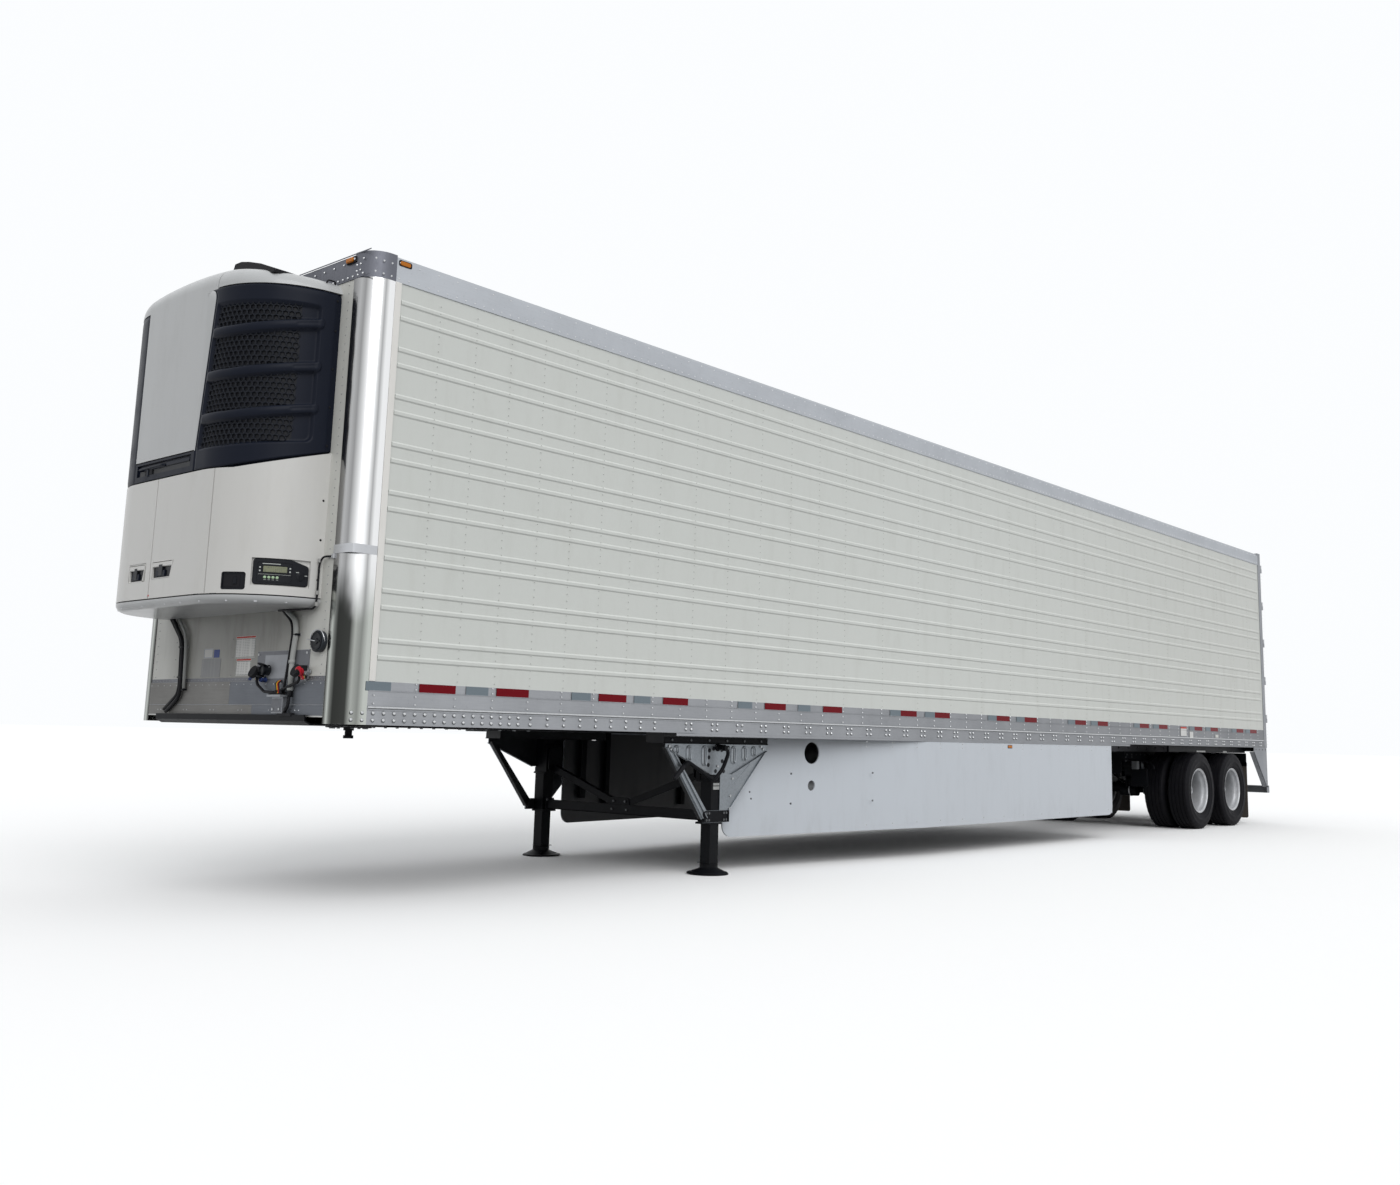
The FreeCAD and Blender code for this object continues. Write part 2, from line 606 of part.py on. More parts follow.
# ---------------------------------------------------------------- landing gear
def landing_gear():
    """Two telescopic legs on a bolted channel, with V plates, stays, a K-brace and dished feet."""
    leg = behind(d.leg_setback)
    track = side - d.leg_inset
    half, inner = d.leg_outer / 2, d.leg_inner / 2
    top = beam_bottom - d.leg_channel
    outer, inboard = track + half, track - half
    split = d.leg_split

    housing = block("leg_tube", (leg - half, leg + half), (inboard, outer), (split, top))
    gearbox = block("leg_gearbox", (leg - half - 14, leg + half + 14), (inboard - 46, inboard),
                    (top - 300, top - 60))
    collar = block("leg_collar", (leg - half - 8, leg + half + 8), (inboard - 8, outer),
                   (top - 300, top - 250))
    publish("landing_leg_tubes", both_sides("leg_tubes", fuse("leg_tube_set", [housing, gearbox, collar])))

    post = block("leg_post", (leg - inner, leg + inner), (track - inner, track + inner), (40, split))
    dish = doc.addObject("Part::Cone", "foot_dish")
    bind(dish, "Radius1", d.foot_width / 2)
    bind(dish, "Radius2", d.leg_inner * 0.72)
    dish.Height = 44
    place(dish, leg, track, 8)
    sole = rod("foot_sole", d.foot_width / 2, 8, (leg, track, 0), (0, 0, 1))
    neck = rod("foot_neck", d.leg_inner * 0.72, 30, (leg, track, 52), (0, 0, 1))
    publish("landing_feet", both_sides("feet", fuse("foot", [post, dish, sole, neck])))

    # cross bracing between the legs, seated on their inboard faces
    beam = block("leg_crossbar", (leg - 30, leg + 30), (-inboard, inboard), (split + 20, split + 105))
    rise = top - 380
    braces = [beam]
    for number, sign in enumerate((1, -1)):
        braces.append(prism("leg_diagonal_%d" % number, "YZ_Plane", [
            (inboard * sign, rise - 40), (inboard * sign, rise + 30), (0, split + 130), (0, split + 60)],
            leg - 5, leg + 5))
        low, high = sorted((inboard * sign, (inboard - 10) * sign), key=float)
        braces.append(block("leg_pad_%d" % number, (leg - 45, leg + 45), (low, high), (rise - 60, rise + 50)))
    braces.append(block("leg_tie", (leg - 30, leg + 30), (-110, 110), (split + 60, split + 140)))
    publish("landing_gear_braces", fuse("leg_braces", braces))

    # V plate, fore stay, rear plate and clamp band, one sheet outboard of each leg
    sheet_out = outer + 8
    wing = prism("leg_wing", "XZ_Plane", [
        (leg + 615, top), (leg + 615, top - 40), (leg + 92, top - 247), (leg - 170, top - 247),
        (leg - 625, top - 57), (leg - 625, top)], outer, sheet_out)
    gusset = prism("leg_gusset", "XZ_Plane", [
        (leg - 40, top - 240), (leg - 40, split + 100), (leg - 150, split + 100), (leg - 600, top - 70),
        (leg - 170, top - 240)], outer, sheet_out)
    stay = prism("leg_stay", "XZ_Plane", [
        (leg + 613, top - 30), (leg + 540, top - 30), (leg + 115, split + 107), (leg + 175, split + 40)],
        outer, sheet_out)
    flange = prism("leg_stay_flange", "XZ_Plane", [
        (leg + 613, top - 30), (leg + 603, top - 30), (leg + 165, split + 40), (leg + 175, split + 40)],
        outer - 34, outer)
    channel = block("leg_channel_box", (leg - 640, leg + 640), (inboard - 70, sheet_out), (top, beam_bottom))
    band = block("leg_band", (leg - 150, leg + 155), (outer, sheet_out), (split + 11, split + 107))
    bracket = fuse("leg_bracket_set", [wing, gusset, stay, flange, channel, band])
    publish("landing_gear_brackets", both_sides("leg_brackets", bracket))

    # folded crank on the left leg
    bar = 10
    publish("landing_gear_crank", chain("crank", bar, [
        (leg, sheet_out, top - 27), (leg, sheet_out + 115, top - 27), (leg + 30, sheet_out + 115, top - 75),
        (leg + 80, sheet_out + 50, top - 300), (leg + 220, track, top - 190),
        (leg + 270, track - 45, top - 170),
        (leg + 310, track - 90, top - 300)]))


# ---------------------------------------------------------------- side skirts and fuel tank
def skirts():
    """Flat fairing panels, tapered in at the front, with a filler hole on the left."""
    nose, tail = behind(d.skirt_front), skirt_end
    knee = nose - d.skirt_taper
    outer = side - 6
    inset = outer - d.skirt_sheet
    plan = [(tail, inset), (knee, inset), (nose, inset - d.skirt_flare), (nose, outer - d.skirt_flare),
            (knee, outer), (tail, outer)]
    top = rail_bottom - d.rail_lip
    for node, sign in (("left_skirt", 1), ("right_skirt", -1)):
        sheet_body = prism(node + "_plan", "XY_Plane", [(x, y * sign) for x, y in plan], d.skirt_bottom, top)
        shape = prism(node + "_shape", "XZ_Plane", [
            (tail, d.skirt_bottom, d.skirt_corner), (nose, d.skirt_bottom, d.skirt_corner), (nose, top),
            (tail, top)], -side, side)
        notch = block(node + "_notch", (behind(d.leg_setback) - 650, nose + 50), (-side, side),
                      (beam_bottom - d.leg_channel - 4, rail_bottom))
        panel = cut(node + "_panel", common(node + "_sheet", sheet_body, shape), notch)
        if sign > 0:
            hole = rod("filler_hole", 95, 400, (behind(d.tank_setback) + 50, outer - 350, 973), (0, 1, 0))
            small = rod("gauge_hole", 45, 400, (behind(d.tank_setback) + 50, outer - 350, 689), (0, 1, 0))
            panel = cut("left_skirt_cut", panel, fuse("skirt_holes", [hole, small]))
        publish(node, panel)
    struts = []
    first = int(float(d.skirt_front + 500 - d.beam_first) / float(d.beam_pitch)) + 1
    last = int(float(front - tail - 200 - d.beam_first) / float(d.beam_pitch))
    for beam in range(first, last + 1, 4):
        distance = float(d.beam_first + d.beam_pitch * beam)
        shift = max(0.0, (float(d.skirt_front + d.skirt_taper) - distance) / float(d.skirt_taper))
        face = inset - d.skirt_flare * shift - (4 if shift else 0)
        under_rail = float(face) > float(side - 60)
        struts.append(block("skirt_strut_%d" % beam, (behind(distance) - 25, behind(distance) + 25),
                            (face - 40, face),
                            (d.skirt_bottom + 120, rail_bottom if under_rail else beam_bottom)))
    row = group("skirt_strut_row", struts)
    publish("skirt_struts", group("skirt_strut_rows", [row, mirrored("skirt_strut_row_right", row)]))


def fuel_tank():
    """Cylindrical aluminium tank slung under the crossmembers on two straps."""
    middle = behind(d.tank_setback)
    height = beam_bottom - d.tank_radius - 40
    across = side - d.skirt_flare - d.tank_radius - 80
    half = d.tank_length / 2
    tank = rod("tank_drum", d.tank_radius, d.tank_length, (middle - half, across, height), (1, 0, 0))
    strap = d.tank_radius + 12
    hangers = [block("tank_hanger_%d" % n, (middle + shift - 30, middle + shift + 30),
                     (across - strap, across + strap), (height, beam_bottom))
               for n, shift in enumerate((250 - half, half - 250))]
    filler = rod("tank_filler", 45, 170, (middle + 50, across + 130, height + 190), (0, 0.8, 0.6))
    publish("fuel_tank", fuse("tank", [tank, filler] + hangers))


# ---------------------------------------------------------------- rear frame
def rear_frame():
    """Posts with their half of each door hinge, header and sill."""
    inner = side - d.rear_post_width
    post = block("rear_post", (rear, rear + d.rear_depth), (inner, side), (rail_bottom, d.box_height))
    pieces = [post]
    for number, level in enumerate(hinge_levels):
        axis = (rear - d.hinge_back, side - d.hinge_inset, level)
        pieces.append(rod("post_knuckle_%d" % number, d.hinge_radius, d.knuckle, axis, (0, 0, 1)))
        pieces.append(rod("post_pin_%d" % number, d.hinge_pin, d.knuckle * 2 + 2, axis, (0, 0, 1)))
        pieces.append(block("post_arm_%d" % number, (rear - d.hinge_back, rear),
                            (side - d.hinge_inset - 8, side - 4), (level, level + d.knuckle)))
    publish("rear_posts", both_sides("posts", fuse("post", pieces)))
    publish("rear_header", block("header_beam", (rear, rear + d.rear_depth), (-inner, inner),
                                 (d.box_height - d.header_height, d.box_height)))
    publish("rear_sill", block("sill_beam", (rear, rear + d.rear_depth), (-inner, inner),
                               (rail_bottom, rail_top)))


def rear_guard():
    """Underride guard: a wide bar on two uprights, with side gussets and struts."""
    bar_low, bar_high = 455, 550
    edge = side - 80
    pieces = [block("guard_bar", (rear - 40, rear + 60), (-edge, edge), (bar_low, bar_high))]
    for number, sign in enumerate((1, -1)):
        across = size(460 * sign)
        pieces.append(block("guard_upright_%d" % number, (rear, rear + 60), (across - 45, across + 45),
                            (bar_low, rail_bottom)))
        low, high = sorted(((edge - 12) * sign, (edge - 72) * sign), key=float)
        pieces.append(prism("guard_gusset_%d" % number, "XZ_Plane", [
            (rear + 20, bar_high - 20), (rear + 60, bar_high - 20), (rear + 190, rail_bottom - 454),
            (rear + 560, rail_bottom - 70), (rear + 560, rail_bottom), (rear + 20, rail_bottom)],
            low, high))
    publish("rear_guard", fuse("guard", pieces))


def doors():
    """Insulated swing doors with tapered edges, each with two lock rods and its hinge straps."""
    low, high = rail_top + d.door_gap, d.box_height - d.header_height - d.door_gap
    outer_edge = side - d.rear_post_width - d.door_gap
    free_edge = d.door_gap
    face = rear + d.door_proud
    back = face - d.rod_back
    keeper_step = (high - low - 174) / 3
    for name, sign in (("left", 1), ("right", -1)):
        panel = prism(name + "_door_body", "XY_Plane", [
            (face, free_edge * sign), (face, outer_edge * sign),
            (face + d.door_thickness, (outer_edge - d.door_bevel) * sign),
            (face + d.door_thickness, (free_edge + d.door_bevel) * sign)], low, high)
        publish(name + "_door_panel", panel)
        pieces = []
        for number, share in enumerate((0.25, 0.72)):
            across = (free_edge + (outer_edge - free_edge) * share) * sign
            pieces.append(rod("%s_rod_%d" % (name, number), d.rod_radius, high - low + 60,
                              (back, across, low - 30), (0, 0, 1)))
            for keeper in range(4):
                level = low + 57 + keeper_step * keeper
                pieces.append(block("%s_keeper_%d_%d" % (name, number, keeper), (back - 15, face),
                                    (across - 35, across + 35), (level, level + 60)))
            reach = 450 * sign * (1 if number == 0 else -1)
            low_y, high_y = sorted((across, across + reach), key=float)
            level = low + 420 + 120 * number
            pieces.append(block("%s_handle_%d" % (name, number), (back - 18, back - 6), (low_y, high_y),
                                (level, level + 40)))
            pieces.append(block("%s_catch_%d" % (name, number), (back - 6, face),
                                (across + reach * 0.85 - 20, across + reach * 0.85 + 20),
                                (level - 10, level + 50)))
        publish(name + "_door_locks", fuse(name + "_locks", pieces))
        straps = []
        axis = (side - d.hinge_inset) * sign
        inner = (free_edge + (outer_edge - free_edge) * 0.72 + d.strap_gap) * sign
        pin_x = rear - d.hinge_back
        for number, post_level in enumerate(hinge_levels):
            level = post_level + d.knuckle + 2
            barrel = rod("%s_knuckle_%d" % (name, number), d.hinge_radius, d.knuckle, (pin_x, axis, level),
                         (0, 0, 1))
            leaf = prism("%s_strap_%d" % (name, number), "XY_Plane", [
                (pin_x - 6, axis), (pin_x + 8, axis), (face - 4, (outer_edge - 30) * sign),
                (face, (outer_edge - 30) * sign), (face, inner), (face - 14, inner),
                (face - 14, (outer_edge - 40) * sign)], level, level + d.knuckle)
            bore = rod("%s_bore_%d" % (name, number), d.hinge_pin + d.pin_clearance, d.knuckle + 20,
                       (pin_x, axis, level - 10), (0, 0, 1))
            blank = fuse("%s_blank_%d" % (name, number), [barrel, leaf])
            straps.append(cut("%s_leaf_%d" % (name, number), blank, bore))
        publish(name + "_door_hinges", group(name + "_hinges", straps))


# ---------------------------------------------------------------- sliding tandem
def slide_rails():
    """Two rails with a row of holes for the tandem's locking pins."""
    solid = body("slide_rail")
    low, high = slide_track - d.slide_width / 2, slide_track + d.slide_width / 2
    start, end = rear + d.rear_depth, slide_front
    section = outline(solid, "YZ_Plane", [(low, slide_bottom), (high, slide_bottom), (high, beam_bottom),
                                          (low, beam_bottom)], start)
    pad(solid, section, end - start)
    count = int(float(end - start - 400) / float(d.lock_pitch))
    hole = solid.newObject("Sketcher::SketchObject", "lock_hole")
    hole.AttachmentSupport = [(plane(solid, "XZ_Plane"), "")]
    hole.MapMode = "FlatFace"
    ring = hole.addGeometry(Part.Circle(Vector(0, 0, 0), Vector(0, 0, 1), 19), False)
    for kind, length in (("DistanceX", start + 200), ("DistanceY", slide_bottom + d.slide_height / 2)):
        rule = hole.addConstraint(Sketcher.Constraint(kind, -1, 1, ring, 3, float(length)))
        hole.setExpression("Constraints[%d]" % rule, size(length).text)
    hole.addConstraint(Sketcher.Constraint("Radius", ring, 19))
    bore = solid.newObject("PartDesign::Pocket", "lock_bore")
    bore.Profile = hole
    bore.Type = "ThroughAll"
    bore.SideType = "Symmetric"
    repeat(solid, bore, hole, "H_Axis", d.lock_pitch * count, count + 1)
    publish("slide_rails", both_sides("slide_rail_pair", solid))


def bogie():
    """Air-ride slider: frame on wear pads, hangers, trailing arms, air springs, axles, brakes and mud flaps."""
    axle_z = d.tyre_radius
    track = slide_track
    top = slide_bottom - d.slide_clearance
    low = top - 130
    fore, aft = bogie_front, axle_places[1] - 850
    frame_parts = []
    for number, sign in enumerate((1, -1)):
        near, far = sorted(((track - 55) * sign, (track + 55) * sign), key=float)
        frame_parts.append(block("bogie_rail_%d" % number, (aft, fore), (near, far), (low, top)))
    for number, x in enumerate((fore - 80, axle_places[0] - 420, axle_places[1] + 560, aft + 20)):
        frame_parts.append(block("bogie_tie_%d" % number, (x, x + 60), (-track, track), (low + 20, top - 20)))
    pivot_z = axle_z + 95
    for axle, x in enumerate(axle_places):
        for number, sign in enumerate((1, -1)):
            near, far = sorted(((track - 50) * sign, (track + 50) * sign), key=float)
            hanger = prism("hanger_%d_%d" % (axle, number), "XZ_Plane", [
                (x + 420, low), (x + 700, low), (x + 620, pivot_z - 60), (x + 500, pivot_z - 60)], near, far)
            slot = block("hanger_slot_%d_%d" % (axle, number), (x + 300, x + 720), (near + 14, far - 14),
                         (pivot_z - 100, pivot_z + 90))
            frame_parts.append(cut("hanger_cut_%d_%d" % (axle, number), hanger, slot))
    publish("bogie_frame", fuse("bogie_frame_set", frame_parts))

    arms, springs, axles, chambers = [], [], [], []
    spring_seat = axle_z + 130
    chamber_in = size(190)
    for axle, x in enumerate(axle_places):
        for number, sign in enumerate((1, -1)):
            near, far = sorted(((track - 35) * sign, (track + 35) * sign), key=float)
            arm = prism("arm_%d_%d" % (axle, number), "XZ_Plane", [
                (x + 610, pivot_z - 45), (x + 610, pivot_z + 45), (x + 510, pivot_z + 50),
                (x + 90, spring_seat - 20), (x - 120, spring_seat), (x - 480, spring_seat),
                (x - 480, spring_seat - 30), (x - 160, spring_seat - 60), (x - 90, axle_z + 20),
                (x + 90, axle_z + 20), (x + 420, pivot_z - 50)], near, far)
            seat = rod("arm_seat_%d_%d" % (axle, number), d.axle_radius + 0.3, 200, (x, near - 60, axle_z),
                       (0, 1, 0))
            arms.append(cut("arm_cut_%d_%d" % (axle, number), arm, seat))
            springs.append(rod("air_spring_%d_%d" % (axle, number), 128, low - spring_seat,
                               (x - 350, (track - 25) * sign, spring_seat), (0, 0, 1)))
            near, far = sorted((chamber_in * sign, (track - 70) * sign), key=float)
            chambers.append(rod("chamber_%d_%d" % (axle, number), 84, far - near,
                                (x + 190, near, axle_z - 20),
                                (0, 1, 0)))
            middle = (near + far) / 2
            chambers.append(block("chamber_arm_%d_%d" % (axle, number), (x + d.axle_radius + 0.5, x + 200),
                                  (middle - 20, middle + 20), (axle_z - 50, axle_z + 10)))
        reach = dual_centre + 95
        tube = rod("axle_tube_%d" % axle, d.axle_radius, (dual_centre - 265) * 2,
                   (x, 265 - dual_centre, axle_z),
                   (0, 1, 0))
        spindle = rod("axle_spindle_%d" % axle, d.spindle_radius, reach * 2, (x, -reach, axle_z), (0, 1, 0))
        axles.append(fuse("axle_%d" % axle, [tube, spindle]))
    publish("trailing_arms", group("arms", arms))
    publish("air_springs", group("springs", springs))
    publish("axles", group("axle_pair", axles))
    publish("brake_chambers", fuse("chambers", chambers))
    hanger = block("flap_bar", (aft, aft + 30), (track + 55, side - 20), (low + 30, low + 70))
    flap = block("flap_sheet", (aft - 8, aft), (side - 635, side - 20), (110, low + 70))
    publish("mud_flaps", both_sides("flaps", fuse("flap", [hanger, flap])))


def wheels():
    """Twin tyres on a pair of deep-dish disc wheels with hub and drum, four times."""
    half_width, radius, seat = d.tyre_width / 2, d.tyre_radius, d.rim_radius
    shoulder = radius - 45
    flank = seat + (radius - seat) * 0.44
    names = (("front_left", 0, 1), ("front_right", 0, -1), ("rear_left", 1, 1), ("rear_right", 1, -1))
    for name, axle, sign in names:
        x = axle_places[axle]
        centre = dual_centre * sign
        twins = []
        for number, shift in enumerate((dual_spacing / 2, -dual_spacing / 2)):
            twins.append(turned("%s_tyre_%d" % (name, number), [
                (48 - half_width, seat), (half_width - 48, seat), (half_width, flank), (half_width, shoulder),
                (half_width - 26, radius), (26 - half_width, radius), (-half_width, shoulder),
                (-half_width, flank)], (x, centre + shift, radius)))
        publish(name + "_tyres", group(name + "_twin_tyres", twins))
        gap = dual_spacing / 2
        rim = half_width - 32
        bore = d.spindle_radius + d.spindle_clearance
        barrel, lip = seat - 0.3, seat + 14
        # (along the axle from the twins' middle, radius), from the hub cap outwards and back inboard
        profile = [
            (165, 0), (165, 60), (108, 76), (108, 106), (20, 106), (20, 198), (gap - rim + 24, 256),
            (gap + rim - 10, seat - 14), (gap + rim, lip), (gap + rim - 8, lip), (gap + rim - 14, barrel),
            (gap - rim + 8, barrel), (gap - rim, lip), (gap - rim, 264), (4, 204), (-4, 204),
            (rim - gap, 264),
            (rim - gap, lip), (rim - gap - 8, barrel), (14 - gap - rim, barrel), (8 - gap - rim, lip),
            (-gap - rim, lip), (10 - gap - rim, seat - 14), (rim - gap - 24, 256), (-16, 212), (-235, 212),
            (-235, 100), (-150, 100), (-150, bore), (100, bore), (100, 0)]
        wheel = turned(name + "_wheel_body", [(size(a) * sign, r) for a, r in profile], (x, centre, radius))
        publish(name + "_wheels", wheel)


# ---------------------------------------------------------------- refrigeration unit
def refrigeration_unit():
    """Nose-mounted unit: a core behind curved moulded panels, split where the real panels meet."""
    half = side - d.unit_margin
    nose = front + d.unit_depth
    low, high = unit_bottom, d.box_height - d.unit_drop
    ready = {}

    def rounded(name, solid, under, level, radius):
        """Rounds the edges that the solid's last feature has at a level, except along the wall."""
        doc.recompute()
        edges = []
        for number, edge in enumerate(under.Shape.Edges, 1):
            middle = edge.valueAt((edge.FirstParameter + edge.LastParameter) / 2)
            if middle.x > float(wall_face) + 1 and abs(middle.z - level(middle.y)) < 1:
                edges.append("Edge%d" % number)
        feature = solid.newObject("PartDesign::Fillet", name)
        feature.Base = (under, edges)
        bind(feature, "Radius", radius)
        return feature

    def form(inset):
        """The unit's whole outer form, drawn in from its surface by an inset."""
        if inset in ready:
            return ready[inset]
        name = "unit_form_%d" % len(ready)
        wide, tip, top, bottom = half - inset, nose - inset, high - inset, low + inset
        turn, corner_radius = half * d.unit_flat_share, half * d.unit_round_share - inset
        solid = body(name)
        plan = outline(solid, "XY_Plane", [
            (wall_face, -wide), (tip - 10, 70 - wide, corner_radius), (tip, -turn, 3000),
            (tip, turn, 3000), (tip - 10, wide - 70, corner_radius), (wall_face, wide)], bottom)
        pad(solid, plan, high + 60 - bottom)
        # the top is a wide arc across the unit, drawn as the tip of a flat V with its corner rounded
        crown = d.unit_crown - inset
        reach, slope = half + 60, 0.2107
        apex = top + crown * (math.hypot(1, slope) - 1)
        vee = outline(solid, "YZ_Plane", [
            (-reach, apex - reach * slope), (0, apex, crown), (reach, apex - reach * slope),
            (reach, high + 80),
            (-reach, high + 80)])
        shave = solid.newObject("PartDesign::Pocket", name + "_crown")
        shave.Profile = vee
        shave.Type = "ThroughAll"
        shave.SideType = "Symmetric"
        round_top = rounded(name + "_top", solid, shave, lambda y: float(top) - float(crown) + math.sqrt(
            float(crown) ** 2 - y ** 2), d.unit_top_round - inset)
        rounded(name + "_foot", solid, round_top, lambda y: float(bottom), d.unit_foot_round - inset)
        ready[inset] = solid
        return solid

    core_inset = d.unit_shell
    parting = low + d.unit_pan
    band_low = parting + d.unit_lower
    band_high = band_low + d.unit_band
    brow = high - d.unit_brow
    g = d.unit_seam / 2
    wide, top, bottom = half + 10, high + 10, low - 10
    edge, corner = size(330), size(450)            # centre panel's edge, and its edge above the brow
    near_seam, far_seam = size(575), size(-110)    # seams of the lower panels
    far_edge = size(-460)                          # where the dark far side begins
    skins = {}

    def zone(name, corners):
        return prism(name + "_zone", "YZ_Plane", corners, front - 10, nose + 10)

    def shell(name, region, depth="shell"):
        """The part of the moulded skin, of full depth or only as deep as a recess, inside a region."""
        if depth not in skins:
            inner = form(core_inset if depth == "shell" else depth)
            skins[depth] = cut("unit_skin_%d" % len(skins), form(0), inner)
        return common(name, skins[depth], region if hasattr(region, "Name") else zone(name, region))

    def rectangle(y_low, y_high, z_low, z_high, radius=0):
        corner_list = [(y_low, z_low), (y_high, z_low), (y_high, z_high), (y_low, z_high)]
        return [(y, z, radius) for y, z in corner_list] if radius else corner_list

    def rising(name, level, height, reach):
        """A region that climbs towards the wall: its edges are level at the nose and slope up behind it."""
        back, climb = front - 10, d.unit_climb
        return prism(name, "XZ_Plane", [
            (back, level + climb), (reach, level), (nose + 20, level), (nose + 20, level + height),
            (reach, level + height), (back, level + height + climb)], edge - 20, wide)

    publish("unit_core", form(core_inset + d.core_clearance))
    publish("unit_upper_panel", shell("upper_panel", [
        (far_edge, band_high + g), (edge - g, band_high + g), (edge - g, brow - g, 60),
        (corner - g, brow - g),
        (corner - g, top), (-wide, top), (-wide, brow), (far_edge, brow)]))
    publish("unit_top_cover", shell("top_cover", rectangle(corner + g, wide, brow + g, top)))

    sweep = nose - 70
    climbing = d.unit_climb + 80
    lower_climb = rising("lower_climb", band_low - climbing - g, climbing, sweep)
    grille_foot = rising("grille_foot", band_low - climbing + g, climbing, sweep)
    grille = cut("grille_swept", shell("near_grille", [
        (edge + g, band_low + g), (wide, band_low + g), (wide, brow - g), (edge + g, brow - g, 60)]),
        grille_foot)
    mesh_low, mesh_high = band_high, brow - 105
    mesh = shell("mesh_recess", rectangle(edge + 140, wide, mesh_low, mesh_high), d.unit_mesh)
    mesh_reach = block("mesh_reach", (front + 215, nose + 20), (0, wide), (low, high))
    louvres = [rising("louvre_%d" % number, band_high + drop, 68, nose - 30)
               for number, drop in enumerate((713, 419, 159))]
    opening = cut("mesh_opening", common("mesh_part", mesh, mesh_reach), fuse("louvres", louvres))
    far_trim = shell("far_trim", rectangle(-wide, far_edge - g, band_low + g, brow - g))
    publish("unit_grilles", group("grille_set", [cut("near_grille_open", grille, opening), far_trim]))

    band = shell("latch_band", rectangle(far_edge + g, edge - g, band_low + g, band_high - g))
    pull = shell("latch_pull", rectangle(far_edge + 30, edge - 40, band_low + 40, band_high - 18),
                 d.unit_recess)
    publish("unit_latch_band", cut("latch_band_cut", band, pull))

    lower_high = band_low - g
    lower_zone = fuse("near_lower_zones", [
        zone("near_lower_flat", rectangle(near_seam + g, wide, parting + g, lower_high - 50)),
        common("near_lower_swept", lower_climb,
               zone("near_lower_strip", rectangle(near_seam + g, wide, lower_high - 60, high)))])
    near = shell("near_lower", lower_zone)
    control = shell("control_recess", rectangle(700, wide, parting + 58, parting + 226), d.unit_recess)
    control_reach = block("control_reach", (front + 75, front + 385), (700, wide), (low, high))
    latch = shell("latch_recess", rectangle(686, 812, parting + 27, parting + 136, 14), d.unit_recess)
    near_recesses = fuse("near_recesses", [common("control_cut", control, control_reach), latch])
    near = cut("near_lower_cut", near, near_recesses)
    middle = shell("middle_lower", rectangle(far_seam + g, near_seam - g, parting + g, lower_high))
    pull = shell("middle_recess", [
        (-88, parting + 126, 12), (150, parting + 126, 12), (196, parting + 240, 12),
        (-88, parting + 240, 12)],
        d.unit_recess)
    middle = cut("middle_lower_cut", middle, pull)
    far = shell("far_lower", rectangle(-wide, far_seam - g, parting + g, lower_high))
    pull = shell("far_recess", rectangle(-408, -172, parting + 118, parting + 238, 12), d.unit_recess)
    far = cut("far_lower_cut", far, pull)
    publish("unit_lower_panels", group("lower_panel_set", [near, middle, far]))
    publish("unit_bottom_pan", shell("bottom_pan", rectangle(-wide, wide, bottom, parting - g)))
    hood = prism("exhaust_hood", "YZ_Plane", [
        (300, high - 90), (820, high - 90), (820, high - 68), (650, high), (500, high + 44, 60),
        (400, high + 66, 60),
        (322, high + 66, 12), (300, high + 20)], front + 200, front + 390)
    publish("unit_exhaust_hood", cut("hood_seated", hood, form(-d.core_clearance)))


